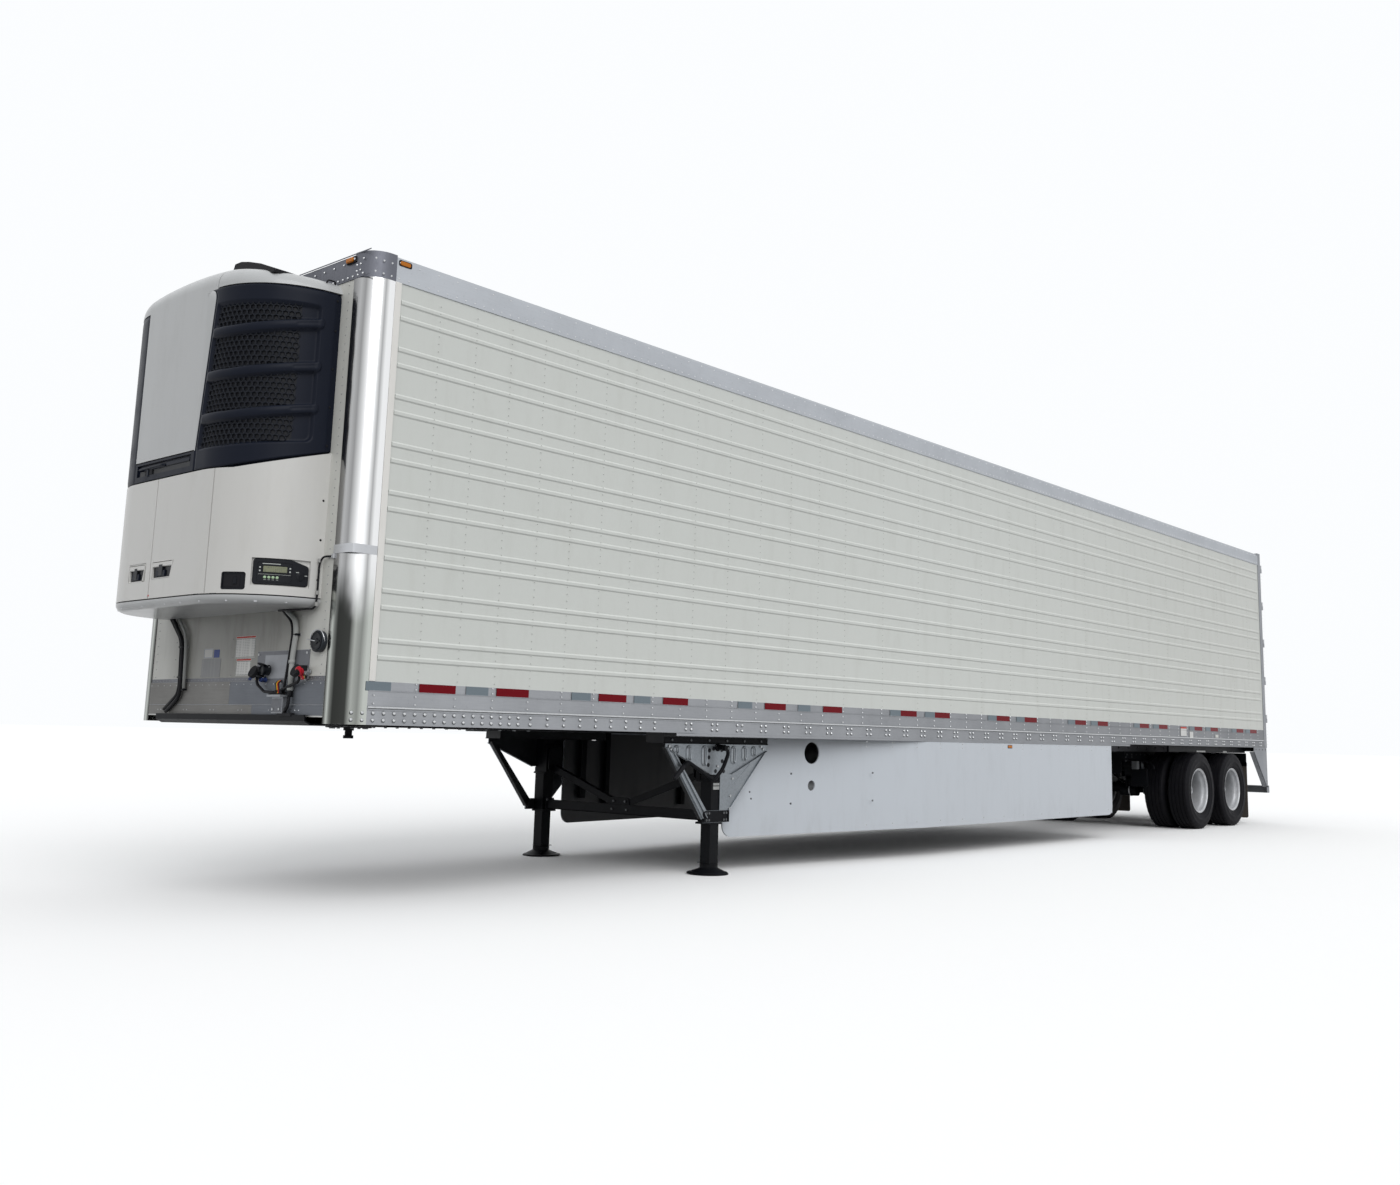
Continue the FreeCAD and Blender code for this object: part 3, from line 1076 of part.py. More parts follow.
# ---------------------------------------------------------------- nose fittings
def nose_fittings():
    """Conduits, air and electric couplings, hoses and the document canister on the front wall."""
    sill_top = rail_top
    publish("document_canister", rod("canister", 66, 95, (wall_face, inboard(260.5), sill_top + 235),
                                     (1, 0, 0)))

    plate = block("air_plate", (wall_face, front + 2), (inboard(980.5), inboard(374.5)),
                  (sill_top + 8, sill_top + 190))
    cover = block("air_cover", (front + 2, front + 8), (inboard(875.5), inboard(586.5)),
                  (sill_top + 14, sill_top + 163))
    tab = block("air_bracket", (front, front + 30), (inboard(720.5), inboard(595.5)),
                (sill_top - 205, sill_top - 103))
    tab_top = block("air_bracket_top", (front, front + 60), (inboard(735.5), inboard(580.5)),
                    (sill_top - 103, sill_top - 90))
    publish("air_line_plate", group("air_plates", [fuse("air_plate_set", [plate, cover]),
                                                   fuse("air_bracket_set", [tab, tab_top])]))
    heads = []
    for number, across in enumerate((inboard(911.5), inboard(415.5))):
        level = sill_top + 45
        stem = rod("coupling_stem_%d" % number, 18, 55, (front + 2, across, level), (1, 0, 0))
        head = rod("coupling_head_%d" % number, 40, 26, (front + 48, across, level + 4), (0.9, 0, 0.44))
        ear = block("coupling_ear_%d" % number, (front + 20, front + 60), (across + 14, across + 58),
                    (level + 10, level + 44))
        foot = block("coupling_foot_%d" % number, (front + 2, front + 14), (across - 32, across + 32),
                     (level - 32, level + 32))
        heads.append(fuse("coupling_%d" % number, [stem, head, ear, foot]))
    publish("air_couplings", group("couplings", heads))

    # (name, radius, stand-off from the wall, points across and up; each inner point has a bend radius)
    level = unit_bottom
    runs = [
        ("far_cable", 14, 20, [(-840, level), (-840, level - 22, 30), (-690, level - 170, 90),
                               (-672, sill_top - 45, 90), (-830, sill_top - 190, 30),
                               (-830, sill_top - 205)]),
        ("far_pipe", 17, 21, [(-780, level), (-780, level - 22, 30), (-627, level - 176, 90),
                              (-612, sill_top - 55, 90), (-762, sill_top - 190, 30), (-762, sill_top - 205)]),
        ("near_cable", 10, 20, [(inboard(663.5), level), (inboard(663.5), level - 25, 30),
                                (inboard(545.5), level - 105, 80), (inboard(557.5), sill_top + 100)]),
        ("near_pipe", 17, 25, [(inboard(580.5), level), (inboard(580.5), level - 30, 40),
                               (inboard(495.5), level - 112, 70), (inboard(509.5), sill_top + 80)]),
    ]
    pipes = []
    for name, radius, off, points in runs:
        run = pipe(name, radius, front + off, points)
        run_y = (size(points[2][0]) + points[3][0]) / 2
        middle = (size(points[2][1]) + points[3][1]) / 2
        clip = block(name + "_clip", (wall_face, front + off), (run_y - radius - 4, run_y + radius + 4),
                     (middle - 10, middle + 10))
        pipes.append(fuse(name + "_run", [run, clip]))
    publish("nose_conduits", group("conduits", pipes))

    hose = [
        pipe("left_hose", 9, front + 34, [
            (inboard(911.5), sill_top + 26), (inboard(911.5), sill_top - 20, 40),
            (inboard(815.5), sill_top - 70, 60),
            (inboard(695.5), sill_top - 76, 10), (inboard(695.5), sill_top - 90)]),
        pipe("right_hose", 9, front + 34, [
            (inboard(415.5), sill_top + 26), (inboard(415.5), sill_top - 10, 40),
            (inboard(615.5), sill_top - 60, 10),
            (inboard(615.5), sill_top - 90)]),
    ]
    publish("air_hoses", group("hoses", hose))


side_walls()
front_end()
rails()
roof_and_floor()
crossmembers()
coupler()
landing_gear()
skirts()
fuel_tank()
rear_frame()
rear_guard()
doors()
slide_rails()
bogie()
wheels()
refrigeration_unit()
nose_fittings()

doc.recompute()
failed = [thing.Name for thing in doc.Objects if "Invalid" in thing.State or "Error" in thing.State]
if failed:
    raise RuntimeError("features that did not build: " + ", ".join(failed))
os.makedirs("parts", exist_ok=True)
for node, thing in parts.items():
    if thing.Shape.isNull() or not thing.Shape.isValid():
        raise RuntimeError("no valid shape for " + node)
for node, thing in parts.items():
    thing.Shape.exportStep(os.path.join("parts", node + ".step"))
print(len(parts), "sub-parts written")
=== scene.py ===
import bmesh
import bpy
import math
from mathutils import Matrix, Vector


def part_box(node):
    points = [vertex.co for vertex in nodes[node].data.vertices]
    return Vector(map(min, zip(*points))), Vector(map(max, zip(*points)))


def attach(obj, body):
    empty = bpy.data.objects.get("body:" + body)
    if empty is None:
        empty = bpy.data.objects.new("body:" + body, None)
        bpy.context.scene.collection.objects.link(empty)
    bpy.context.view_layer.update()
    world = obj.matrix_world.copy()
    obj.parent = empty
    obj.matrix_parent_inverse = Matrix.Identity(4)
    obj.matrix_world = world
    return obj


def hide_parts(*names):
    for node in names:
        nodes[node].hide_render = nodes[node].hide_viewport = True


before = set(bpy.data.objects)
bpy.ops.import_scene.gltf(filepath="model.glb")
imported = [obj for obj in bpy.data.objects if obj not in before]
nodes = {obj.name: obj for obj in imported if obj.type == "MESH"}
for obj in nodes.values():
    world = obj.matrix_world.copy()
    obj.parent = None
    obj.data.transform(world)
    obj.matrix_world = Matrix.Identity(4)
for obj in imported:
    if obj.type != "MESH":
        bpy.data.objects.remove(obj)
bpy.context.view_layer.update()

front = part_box("front_sill")[1].x            # nose face of the sill and corner posts
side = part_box("bottom_rails")[1].y           # outer side of the rails


# ---------------------------------------------------------------- finishes
class Wire:
    """A shader socket. Arithmetic on wires adds Math nodes to its finish."""

    def __init__(self, finish, socket):
        self.finish = finish
        self.socket = socket

    def math(self, operation, *others, flip=False):
        values = [self, *others]
        if flip:
            values.reverse()
        node = self.finish.node("ShaderNodeMath", dict(enumerate(values)), operation=operation)
        return Wire(self.finish, node.outputs[0])

    def ramp(self, low, high):
        """0 below low, 1 above high, smooth between."""
        node = self.finish.node("ShaderNodeMapRange", {"Value": self, "From Min": low, "From Max": high},
            interpolation_type="SMOOTHSTEP")
        return Wire(self.finish, node.outputs["Result"])


for way, operation, flip in (("__add__", "ADD", False), ("__radd__", "ADD", False), ("__sub__", "SUBTRACT", False),
        ("__rsub__", "SUBTRACT", True), ("__mul__", "MULTIPLY", False), ("__rmul__", "MULTIPLY", False),
        ("__mod__", "FLOORED_MODULO", False), ("__gt__", "GREATER_THAN", False), ("__lt__", "LESS_THAN", False),
        ("__abs__", "ABSOLUTE", False), ("least", "MINIMUM", False), ("most", "MAXIMUM", False)):
    setattr(Wire, way, lambda wire, *others, operation=operation, flip=flip: wire.math(operation, *others, flip=flip))


class Finish:
    """One material and its node tree."""

    def __init__(self, name, metallic=0, specular=0.5, coat=0, coat_roughness=0.1):
        self.material = bpy.data.materials.new(name)
        self.material.use_nodes = True
        self.tree = self.material.node_tree
        self.shader = self.tree.nodes["Principled BSDF"]
        for socket, value in (("Metallic", metallic), ("Specular IOR Level", specular), ("Coat Weight", coat),
                ("Coat Roughness", coat_roughness)):
            self.shader.inputs[socket].default_value = value
        place = self.node("ShaderNodeTexCoord")
        self.place = Wire(self, place.outputs["Object"])
        split = self.node("ShaderNodeSeparateXYZ", {0: self.place})
        self.x, self.y, self.z = (Wire(self, split.outputs[axis]) for axis in "XYZ")

    def node(self, kind, inputs=None, stops=(), **settings):
        """Any node: its settings and ramp stops first, then the values or wires of its sockets."""
        made = self.tree.nodes.new(kind)
        for setting, value in settings.items():
            setattr(made, setting, value)
        if stops:
            ramp = made.color_ramp
            while len(ramp.elements) < len(stops):
                ramp.elements.new(0.5)
            for element, (position, colour) in zip(ramp.elements, stops):
                element.position = position
                element.color = (*colour, 1)
        for key, value in (inputs or {}).items():
            if isinstance(value, Wire):
                self.tree.links.new(value.socket, made.inputs[key])
            else:
                made.inputs[key].default_value = value
        return made

    def stretched(self, scale=(1, 1, 1), shift=(0, 0, 0)):
        """The piece's own place, scaled along its axes."""
        node = self.node("ShaderNodeMapping", {"Vector": self.place, "Scale": scale, "Location": shift})
        return Wire(self, node.outputs[0])

    def noise(self, scale, detail=3, rough=0.55, stretch=(1, 1, 1), shift=(0, 0, 0)):
        node = self.node("ShaderNodeTexNoise", {"Vector": self.stretched(stretch, shift), "Scale": scale,
            "Detail": detail, "Roughness": rough})
        return Wire(self, node.outputs[0])

    def cells(self, scale, stretch=(1, 1, 1), feature="F1"):
        node = self.node("ShaderNodeTexVoronoi", {"Vector": self.stretched(stretch), "Scale": scale}, feature=feature)
        return Wire(self, node.outputs["Distance"])

    def blend(self, share, first, second):
        """Two colours (or wires that carry colour) mixed by a share."""
        inputs = {0: share}
        for key, colour in ((6, first), (7, second)):
            inputs[key] = colour if isinstance(colour, Wire) else (*colour, 1)
        node = self.node("ShaderNodeMix", inputs, data_type="RGBA")
        return Wire(self, node.outputs[2])

    def shades(self, share, stops):
        node = self.node("ShaderNodeValToRGB", {0: share}, stops=stops)
        return Wire(self, node.outputs[0])

    def wear(self, inner=0.004):
        """1 on edges and corners, from Bevel's turned normal against the true one."""
        soft = self.node("ShaderNodeBevel", {"Radius": inner}, samples=4)
        flat = self.node("ShaderNodeNewGeometry")
        dot = self.node("ShaderNodeVectorMath", {0: Wire(self, soft.outputs[0]), 1: Wire(self, flat.outputs["Normal"])},
            operation="DOT_PRODUCT")
        return Wire(self, dot.outputs["Value"]).ramp(0.98, 0.75)

    def bump(self, height, strength=0.2, distance=0.002):
        node = self.node("ShaderNodeBump", {"Height": height, "Strength": strength, "Distance": distance})
        self.tree.links.new(node.outputs[0], self.shader.inputs["Normal"])

    def set(self, **sockets):
        """Principled sockets by name, with _ for a space: wires are linked, numbers and colours set."""
        for name, value in sockets.items():
            socket = self.shader.inputs[name.replace("_", " ").title()]
            if isinstance(value, Wire):
                self.tree.links.new(value.socket, socket)
            else:
                socket.default_value = (*value, 1) if isinstance(value, tuple) else value
        return self


def painted(name, colour, dirt=(0.3, 0.28, 0.25), grime=0.1, rough=0.3, orange_peel=0.04, coat=0.3, low=None,
            tail=0, shade_under_unit=0, inboard=None):
    """Gloss paint: colour drift, film dirt and orange peel. Dirt thickens below the height low. Painted shade darkens
    it towards the tail, and towards the middle under the unit. An inboard colour is painted shade on faces turned
    inwards."""
    f = Finish(name, coat=coat, coat_roughness=0.15)
    drift = f.noise(0.9, 4)
    film = f.noise(7, 6, 0.65, stretch=(1, 1, 0.25)).ramp(0.45, 0.8)
    share = film * grime + drift * 0.06
    if low is not None:
        share = share + (low - f.z).ramp(0, 0.5) * (0.25 * film + 0.08)
    # painted shade: darker towards the tail
    if tail:
        share = share + (2 - f.x).ramp(0, 9) * tail
    # painted shade: darker towards the middle of the nose wall, where the unit shades it
    if shade_under_unit:
        share = share + (0.98 - abs(f.y)).ramp(0, 0.35) * shade_under_unit
    tone = f.blend(share.least(0.75), colour, dirt)
    # painted shade: faces turned inwards take the inboard colour
    if inboard:
        normal = f.node("ShaderNodeSeparateXYZ", {0: Wire(f, f.node("ShaderNodeNewGeometry").outputs["Normal"])})
        turned_in_shade = Wire(f, normal.outputs["Y"]) * f.y < -0.1
        tone = f.blend(turned_in_shade, tone, inboard)
    f.set(base_color=tone, roughness=drift * 0.12 + film * 0.12 + rough)
    f.bump(f.noise(160, 2), orange_peel, 0.0006)
    return f


def aluminium(name, colour, rough=0.4, grain=(1, 40, 40), spots=0.25, patches=0.3, tail=0):
    """Mill-finish aluminium: rolled grain along one axis, oxide patches and specks, and painted shade towards the tail.
    """
    f = Finish(name, metallic=1)
    grain_noise = f.noise(6, 5, 0.6, stretch=grain)
    patch = f.noise(1.7, 5, 0.6).ramp(0.35, 0.75)
    speck = f.noise(55, 2, 0.7).ramp(0.62, 0.75)
    tone = f.blend(grain_noise * 0.5 + patch * patches, colour, tuple(c * 0.72 for c in colour))
    # painted shade: darker towards the tail, by tail
    share = speck * spots + (8 - f.x) * (tail / 16)
    f.set(base_color=f.blend(share.least(0.9), tone, tuple(c * 0.45 for c in colour)),
          roughness=grain_noise * 0.18 + patch * 0.12 + rough)
    f.bump(grain_noise, 0.08, 0.0008)
    return f


def black_paint(name, colour=(0.004, 0.0045, 0.006), worn=(0.16, 0.15, 0.14), rough=0.45, chips=0.5):
    """Satin black chassis paint with road dust, and chips along the edges."""
    f = Finish(name, specular=0.09)
    dust = f.noise(5, 6, 0.7).ramp(0.5, 0.85)
    chip = (f.noise(38, 4, 0.8).ramp(0.6, 0.68) * f.wear(0.006)).least(1) * chips
    tone = f.blend(dust * 0.15, colour, (0.05, 0.047, 0.043))
    f.set(base_color=f.blend(chip, tone, worn), roughness=dust * 0.25 + rough)
    f.bump(f.noise(90, 3), 0.1, 0.001)
    return f


def galvanised(name, colour=(0.46, 0.48, 0.5), rough=0.38, black_top_and_shaded_inboard=None):
    """Hot-dip zinc: spangle cells, dull patches and white bloom. Given a height and a depth: black paint above, painted
    shade inboard.
    """
    f = Finish(name, metallic=1, specular=0.3)
    spangle = f.cells(60)
    bloom = f.noise(5, 5, 0.6).ramp(0.5, 0.85)
    tone = f.blend(spangle * 0.5, colour, tuple(c * 0.7 for c in colour))
    tone = f.blend(bloom * 0.25, tone, (0.6, 0.61, 0.62))
    # black paint above the height; painted shade, as black, on faces inboard of the depth
    paint = ((f.z > black_top_and_shaded_inboard[0]).most(abs(f.y) < black_top_and_shaded_inboard[1])) if black_top_and_shaded_inboard else 0
    f.set(base_color=f.blend(paint, tone, (0.006, 0.0065, 0.008)), metallic=(1 - bloom * 0.3) * (1 - paint),
          roughness=spangle * 0.1 + bloom * 0.15 + rough)
    f.bump(spangle, 0.05, 0.001)
    return f


def moulded(name, colour, rough=0.5, grain=300, strength=0.15, specular=0.16):
    """Moulded plastic or rubber with a fine texture and a dusting."""
    f = Finish(name, specular=specular)
    dust = f.noise(6, 6, 0.65).ramp(0.45, 0.9)
    f.set(base_color=f.blend(dust * 0.15, colour, tuple(c * 0.8 + 0.01 for c in colour)), roughness=dust * 0.2 + rough)
    f.bump(f.noise(grain, 2), strength, 0.0006)
    return f


# painted shade: tail darkens the side sheets towards the tail
side_white = painted("side_white", (0.63, 0.65, 0.62), dirt=(0.42, 0.42, 0.38), grime=0.18, rough=0.32, coat=0.15,
    tail=0.35)
unit_white = painted("unit_white", (0.57, 0.565, 0.545), dirt=(0.36, 0.34, 0.3), grime=0.12, rough=0.3, coat=0.3)
# painted shade: a darker copy of unit_white for the upper panel, top cover, bottom pan and centre panel
unit_grey = painted("unit_grey", (0.44, 0.45, 0.455), dirt=(0.28, 0.27, 0.25), grime=0.12, rough=0.3, coat=0.3)
# painted shade: the nose wall darkens towards its middle under the unit, towards its dark dirt colour
wall_white_shaded = painted("wall_white_shaded", (0.58, 0.58, 0.545), dirt=(0.13, 0.125, 0.11), grime=0.15, rough=0.38, coat=0.1,
    shade_under_unit=0.62)
# painted shade: the skirts' inward faces drawn near black
skirt_white = painted("skirt_white", (0.56, 0.595, 0.64), dirt=(0.36, 0.37, 0.38), grime=0.12, rough=0.33, low=0.6,
    coat=0.05, inboard=(0.004, 0.0045, 0.007))
# painted shade: rail_metal and top_metal darken towards the tail
rail_metal = aluminium("rail_metal", (0.385, 0.395, 0.415), rough=0.42, tail=0.72)
top_metal = aluminium("top_metal", (0.5, 0.52, 0.55), rough=0.42, tail=0.15)
sill_metal = aluminium("sill_metal", (0.5, 0.5, 0.49), rough=0.45, grain=(40, 1, 40))
dull_metal = aluminium("dull_metal", (0.33, 0.34, 0.36), rough=0.5, patches=0.5)
cap_metal = aluminium("cap_metal", (0.165, 0.17, 0.195), rough=0.4, grain=(8, 8, 1))
floor_metal = aluminium("floor_metal", (0.6, 0.61, 0.62), rough=0.35)
beam_metal = aluminium("beam_metal", (0.14, 0.14, 0.15), rough=0.55, patches=0.6)
tank_metal = aluminium("tank_metal", (0.3, 0.31, 0.32), rough=0.3, grain=(1, 60, 60))
chassis_black = black_paint("chassis_black")
leg_black = black_paint("leg_black", chips=0.9)
zinc = galvanised("zinc", (0.28, 0.3, 0.32))
# painted shade: the brackets' inboard faces black; black paint along their top
leg_zinc_shaded_inboard = galvanised("leg_zinc_shaded_inboard", (0.25, 0.27, 0.29), black_top_and_shaded_inboard=(1.0405, 1.0785))
bright_steel = aluminium("bright_steel", (0.55, 0.56, 0.58), rough=0.28, grain=(20, 20, 20))
navy = moulded("navy", (0.007, 0.0095, 0.018), rough=0.36, grain=220, strength=0.25, specular=0.1)
mesh_black = moulded("mesh_black", (0.006, 0.007, 0.01), rough=0.45)
rubber_black = moulded("rubber_black", (0.008, 0.008, 0.01), rough=0.6)
flap_rubber = moulded("flap_rubber", (0.08, 0.07, 0.063), rough=0.75, grain=120)
grey_plastic = moulded("grey_plastic", (0.32, 0.32, 0.31), rough=0.45)


def mirror_painted_reflection(name="mirror_painted_reflection"):
    """Mirror-finish stainless round the front corners, with a painted reflection: streaks up and down it, darker low
    down.
    """
    f = Finish(name, metallic=1)
    # painted reflection: bright and dark streaks set by the place round the corner
    turn = (abs(f.y) - 1.11 + front - f.x) * (1 / 0.3685)
    wave = f.noise(2.2, 3, 0.5, shift=(0, 0, 3), stretch=(2, 2, 0.6))
    bent = turn + wave * 0.06 - 0.03
    # painted reflection: high for the upper part of the posts, low for the lower part
    high = f.shades(bent, [(at, (level,) * 3) for at, level in (
        (0, 0.2), (0.22, 0.44), (0.34, 0.3), (0.475, 0.7), (0.56, 0.97), (0.73, 0.9), (0.82, 0.42), (0.9, 0.85))])
    low = f.shades(bent, [(at, (level, level * 1.04, level * 0.97)) for at, level in (
        (0.02, 0.04), (0.1, 0.45), (0.17, 0.16), (0.25, 0.034), (0.54, 0.045), (0.66, 0.36), (0.8, 0.24), (0.92, 0.5))])
    # painted reflection: the dark lower part mirrors the ground
    ground = ((2.1 - f.z) * 1.6 + wave * 1.1 - 0.55).ramp(0, 0.5)
    f.set(base_color=f.blend(ground, high, low), roughness=f.noise(30, 4, stretch=(1, 1, 0.1)) * 0.12 + 0.1)
    return f


# the corner posts' steel, with its painted reflection
stainless = mirror_painted_reflection()


def tyre_black(name="tyre_black"):
    f = Finish(name, specular=0.1)
    dust = f.noise(9, 6, 0.7).ramp(0.4, 0.8)
    f.set(base_color=f.blend(dust * 0.25, (0.006, 0.006, 0.008), (0.03, 0.028, 0.027)), roughness=dust * 0.2 + 0.6)
    f.bump(f.noise(260, 2), 0.2, 0.0008)
    return f


tyre_rubber = tyre_black()
wheel_paint = painted("wheel_paint", (0.55, 0.56, 0.575), dirt=(0.2, 0.19, 0.17), grime=0.5, rough=0.35, coat=0.2)


def finish(node, made):
    """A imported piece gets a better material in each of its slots."""
    thing = nodes[node]
    if not thing.material_slots:
        thing.data.materials.append(made.material)
    for slot in thing.material_slots:
        slot.material = made.material


for made, names in ((side_white, "left_side_wall right_side_wall roof left_door_panel right_door_panel"),
        (wall_white_shaded, "front_wall"), (sill_metal, "front_sill"), (rail_metal, "bottom_rails"), (top_metal, "top_rails"),
        (cap_metal, "front_header"), (stainless, "front_corner_posts"),
        (dull_metal, "rear_posts rear_header rear_sill rear_guard air_line_plate"), (floor_metal, "floor"),
        (beam_metal, "crossmembers slide_rails"), (leg_black, "landing_leg_tubes landing_feet landing_gear_braces"),
        (chassis_black, "coupler_plate kingpin landing_gear_crank skirt_struts"),
        (chassis_black, "bogie_frame trailing_arms axles brake_chambers"), (leg_zinc_shaded_inboard, "landing_gear_brackets"),
        (skirt_white, "left_skirt right_skirt"), (tank_metal, "fuel_tank"),
        (navy, "unit_core unit_latch_band unit_grilles"), (unit_white, "unit_lower_panels"),
        (unit_grey, "unit_top_cover unit_upper_panel unit_bottom_pan"), (grey_plastic, "document_canister"),
        (rubber_black, "unit_exhaust_hood nose_conduits air_couplings air_hoses air_springs"),
        (bright_steel, "left_door_locks right_door_locks left_door_hinges right_door_hinges"),
        (flap_rubber, "mud_flaps"),
        (tyre_rubber, "front_left_tyres front_right_tyres rear_left_tyres rear_right_tyres"),
        (wheel_paint, "front_left_wheels front_right_wheels rear_left_wheels rear_right_wheels")):
    for node in names.split():
        finish(node, made)


# ---------------------------------------------------------------- ways of making
def placed(origin, right, up):
    """A flat place to build on: gives the point at (across, up, out)."""
    origin, right, up = Vector(origin), Vector(right).normalized(), Vector(up).normalized()
    out = right.cross(up)
    return lambda u, v, w=0: origin + right * u + up * v + out * w


def plain(u, v, w=0):
    return Vector((u, v, w))


def shift(place, du, dv, dw=0):
    return lambda u, v, w=0: place(u + du, v + dv, w + dw)


def facing_way(right, up):
    """A maker of places that all face one way: it takes their origin, and what it isn't given is 0."""
    return lambda x, y=0, z=0: placed((x, y, z), right, up)


forward = facing_way((0, 1, 0), (0, 0, 1))              # out is to the nose
backward = facing_way((0, -1, 0), (0, 0, 1))            # out is to the tail
rightward = facing_way((1, 0, 0), (0, 0, 1))            # out is to the right side
upward = facing_way((1, 0, 0), (0, 1, 0))


def outward(hand, x, y=0, z=0):
    """A place that faces out of the left side (hand 1) or the right side (hand -1)."""
    return facing_way((-hand, 0, 0), (0, 0, 1))(x, y, z)


def span(hand, first, second):
    """Two distances from the middle line, taken to one hand and put in order."""
    return sorted((hand * first, hand * second))


on_nose, on_wall = forward(front), forward(front - 0.004)
on_side, on_far = outward(1, 0, side), outward(-1, 0, -side)


def every(pitch, start, end):
    """start, start + pitch and so on, as far as they stay below end."""
    places = []
    while start + len(places) * pitch < end:
        places.append(start + len(places) * pitch)
    return places


def round_about(count, radius, first=0):
    """Points evenly round a circle; first is a share of one step."""
    turns = [2 * math.pi * (number + first) / count for number in range(count)]
    return [(radius * math.cos(turn), radius * math.sin(turn)) for turn in turns]


def rounded(corners, radius=0, steps=4, share=0.49):
    """A closed outline with its corners rounded; a corner may carry its own radius. A corner takes at most a
    share of its two sides."""
    line = []
    for number, corner in enumerate(corners):
        here = Vector(corner[:2])
        before = Vector(corners[number - 1][:2]) - here
        after = Vector(corners[(number + 1) % len(corners)][:2]) - here
        size = corner[2] if len(corner) > 2 else radius
        opening = before.angle(after) / 2
        reach = min(size / math.tan(opening), before.length * share, after.length * share)
        if reach < 1e-5:
            line.append(tuple(here))
            continue
        size = reach * math.tan(opening)
        centre = here + (before.normalized() + after.normalized()).normalized() * size / math.sin(opening)
        first = here + before.normalized() * reach - centre
        last = here + after.normalized() * reach - centre
        turn = first.angle_signed(last)
        for step in range(steps + 1):
            angle = -turn * step / steps
            line.append((centre.x + first.x * math.cos(angle) - first.y * math.sin(angle),
                         centre.y + first.x * math.sin(angle) + first.y * math.cos(angle)))
    return line


def oblong(u0, v0, u1, v1, radius=0, steps=4):
    return rounded([(u0, v0), (u1, v0), (u1, v1), (u0, v1)], radius, steps)


def pad(half_wide, half_tall, radius=0, steps=4):
    """An oblong about its own middle."""
    return oblong(-half_wide, -half_tall, half_wide, half_tall, radius, steps)


def inner(line, distance):
    """An outline drawn in by a distance."""
    area = sum(a[0] * b[1] - b[0] * a[1] for a, b in zip(line, line[1:] + line[:1]))
    turn = 1 if area > 0 else -1
    drawn = []
    for number, point in enumerate(line):
        here = Vector(point)
        before = (here - Vector(line[number - 1])).normalized()
        after = (Vector(line[(number + 1) % len(line)]) - here).normalized()
        mean = Vector((-before.y - after.y, before.x + after.x)) * turn
        mean = mean.normalized() if mean.length > 1e-6 else Vector((-before.y, before.x)) * turn
        flat = Vector((-before.y, before.x)) * turn
        drawn.append(tuple(here + mean * min(distance / max(mean.dot(flat), 0.4), distance * 2)))
    return drawn


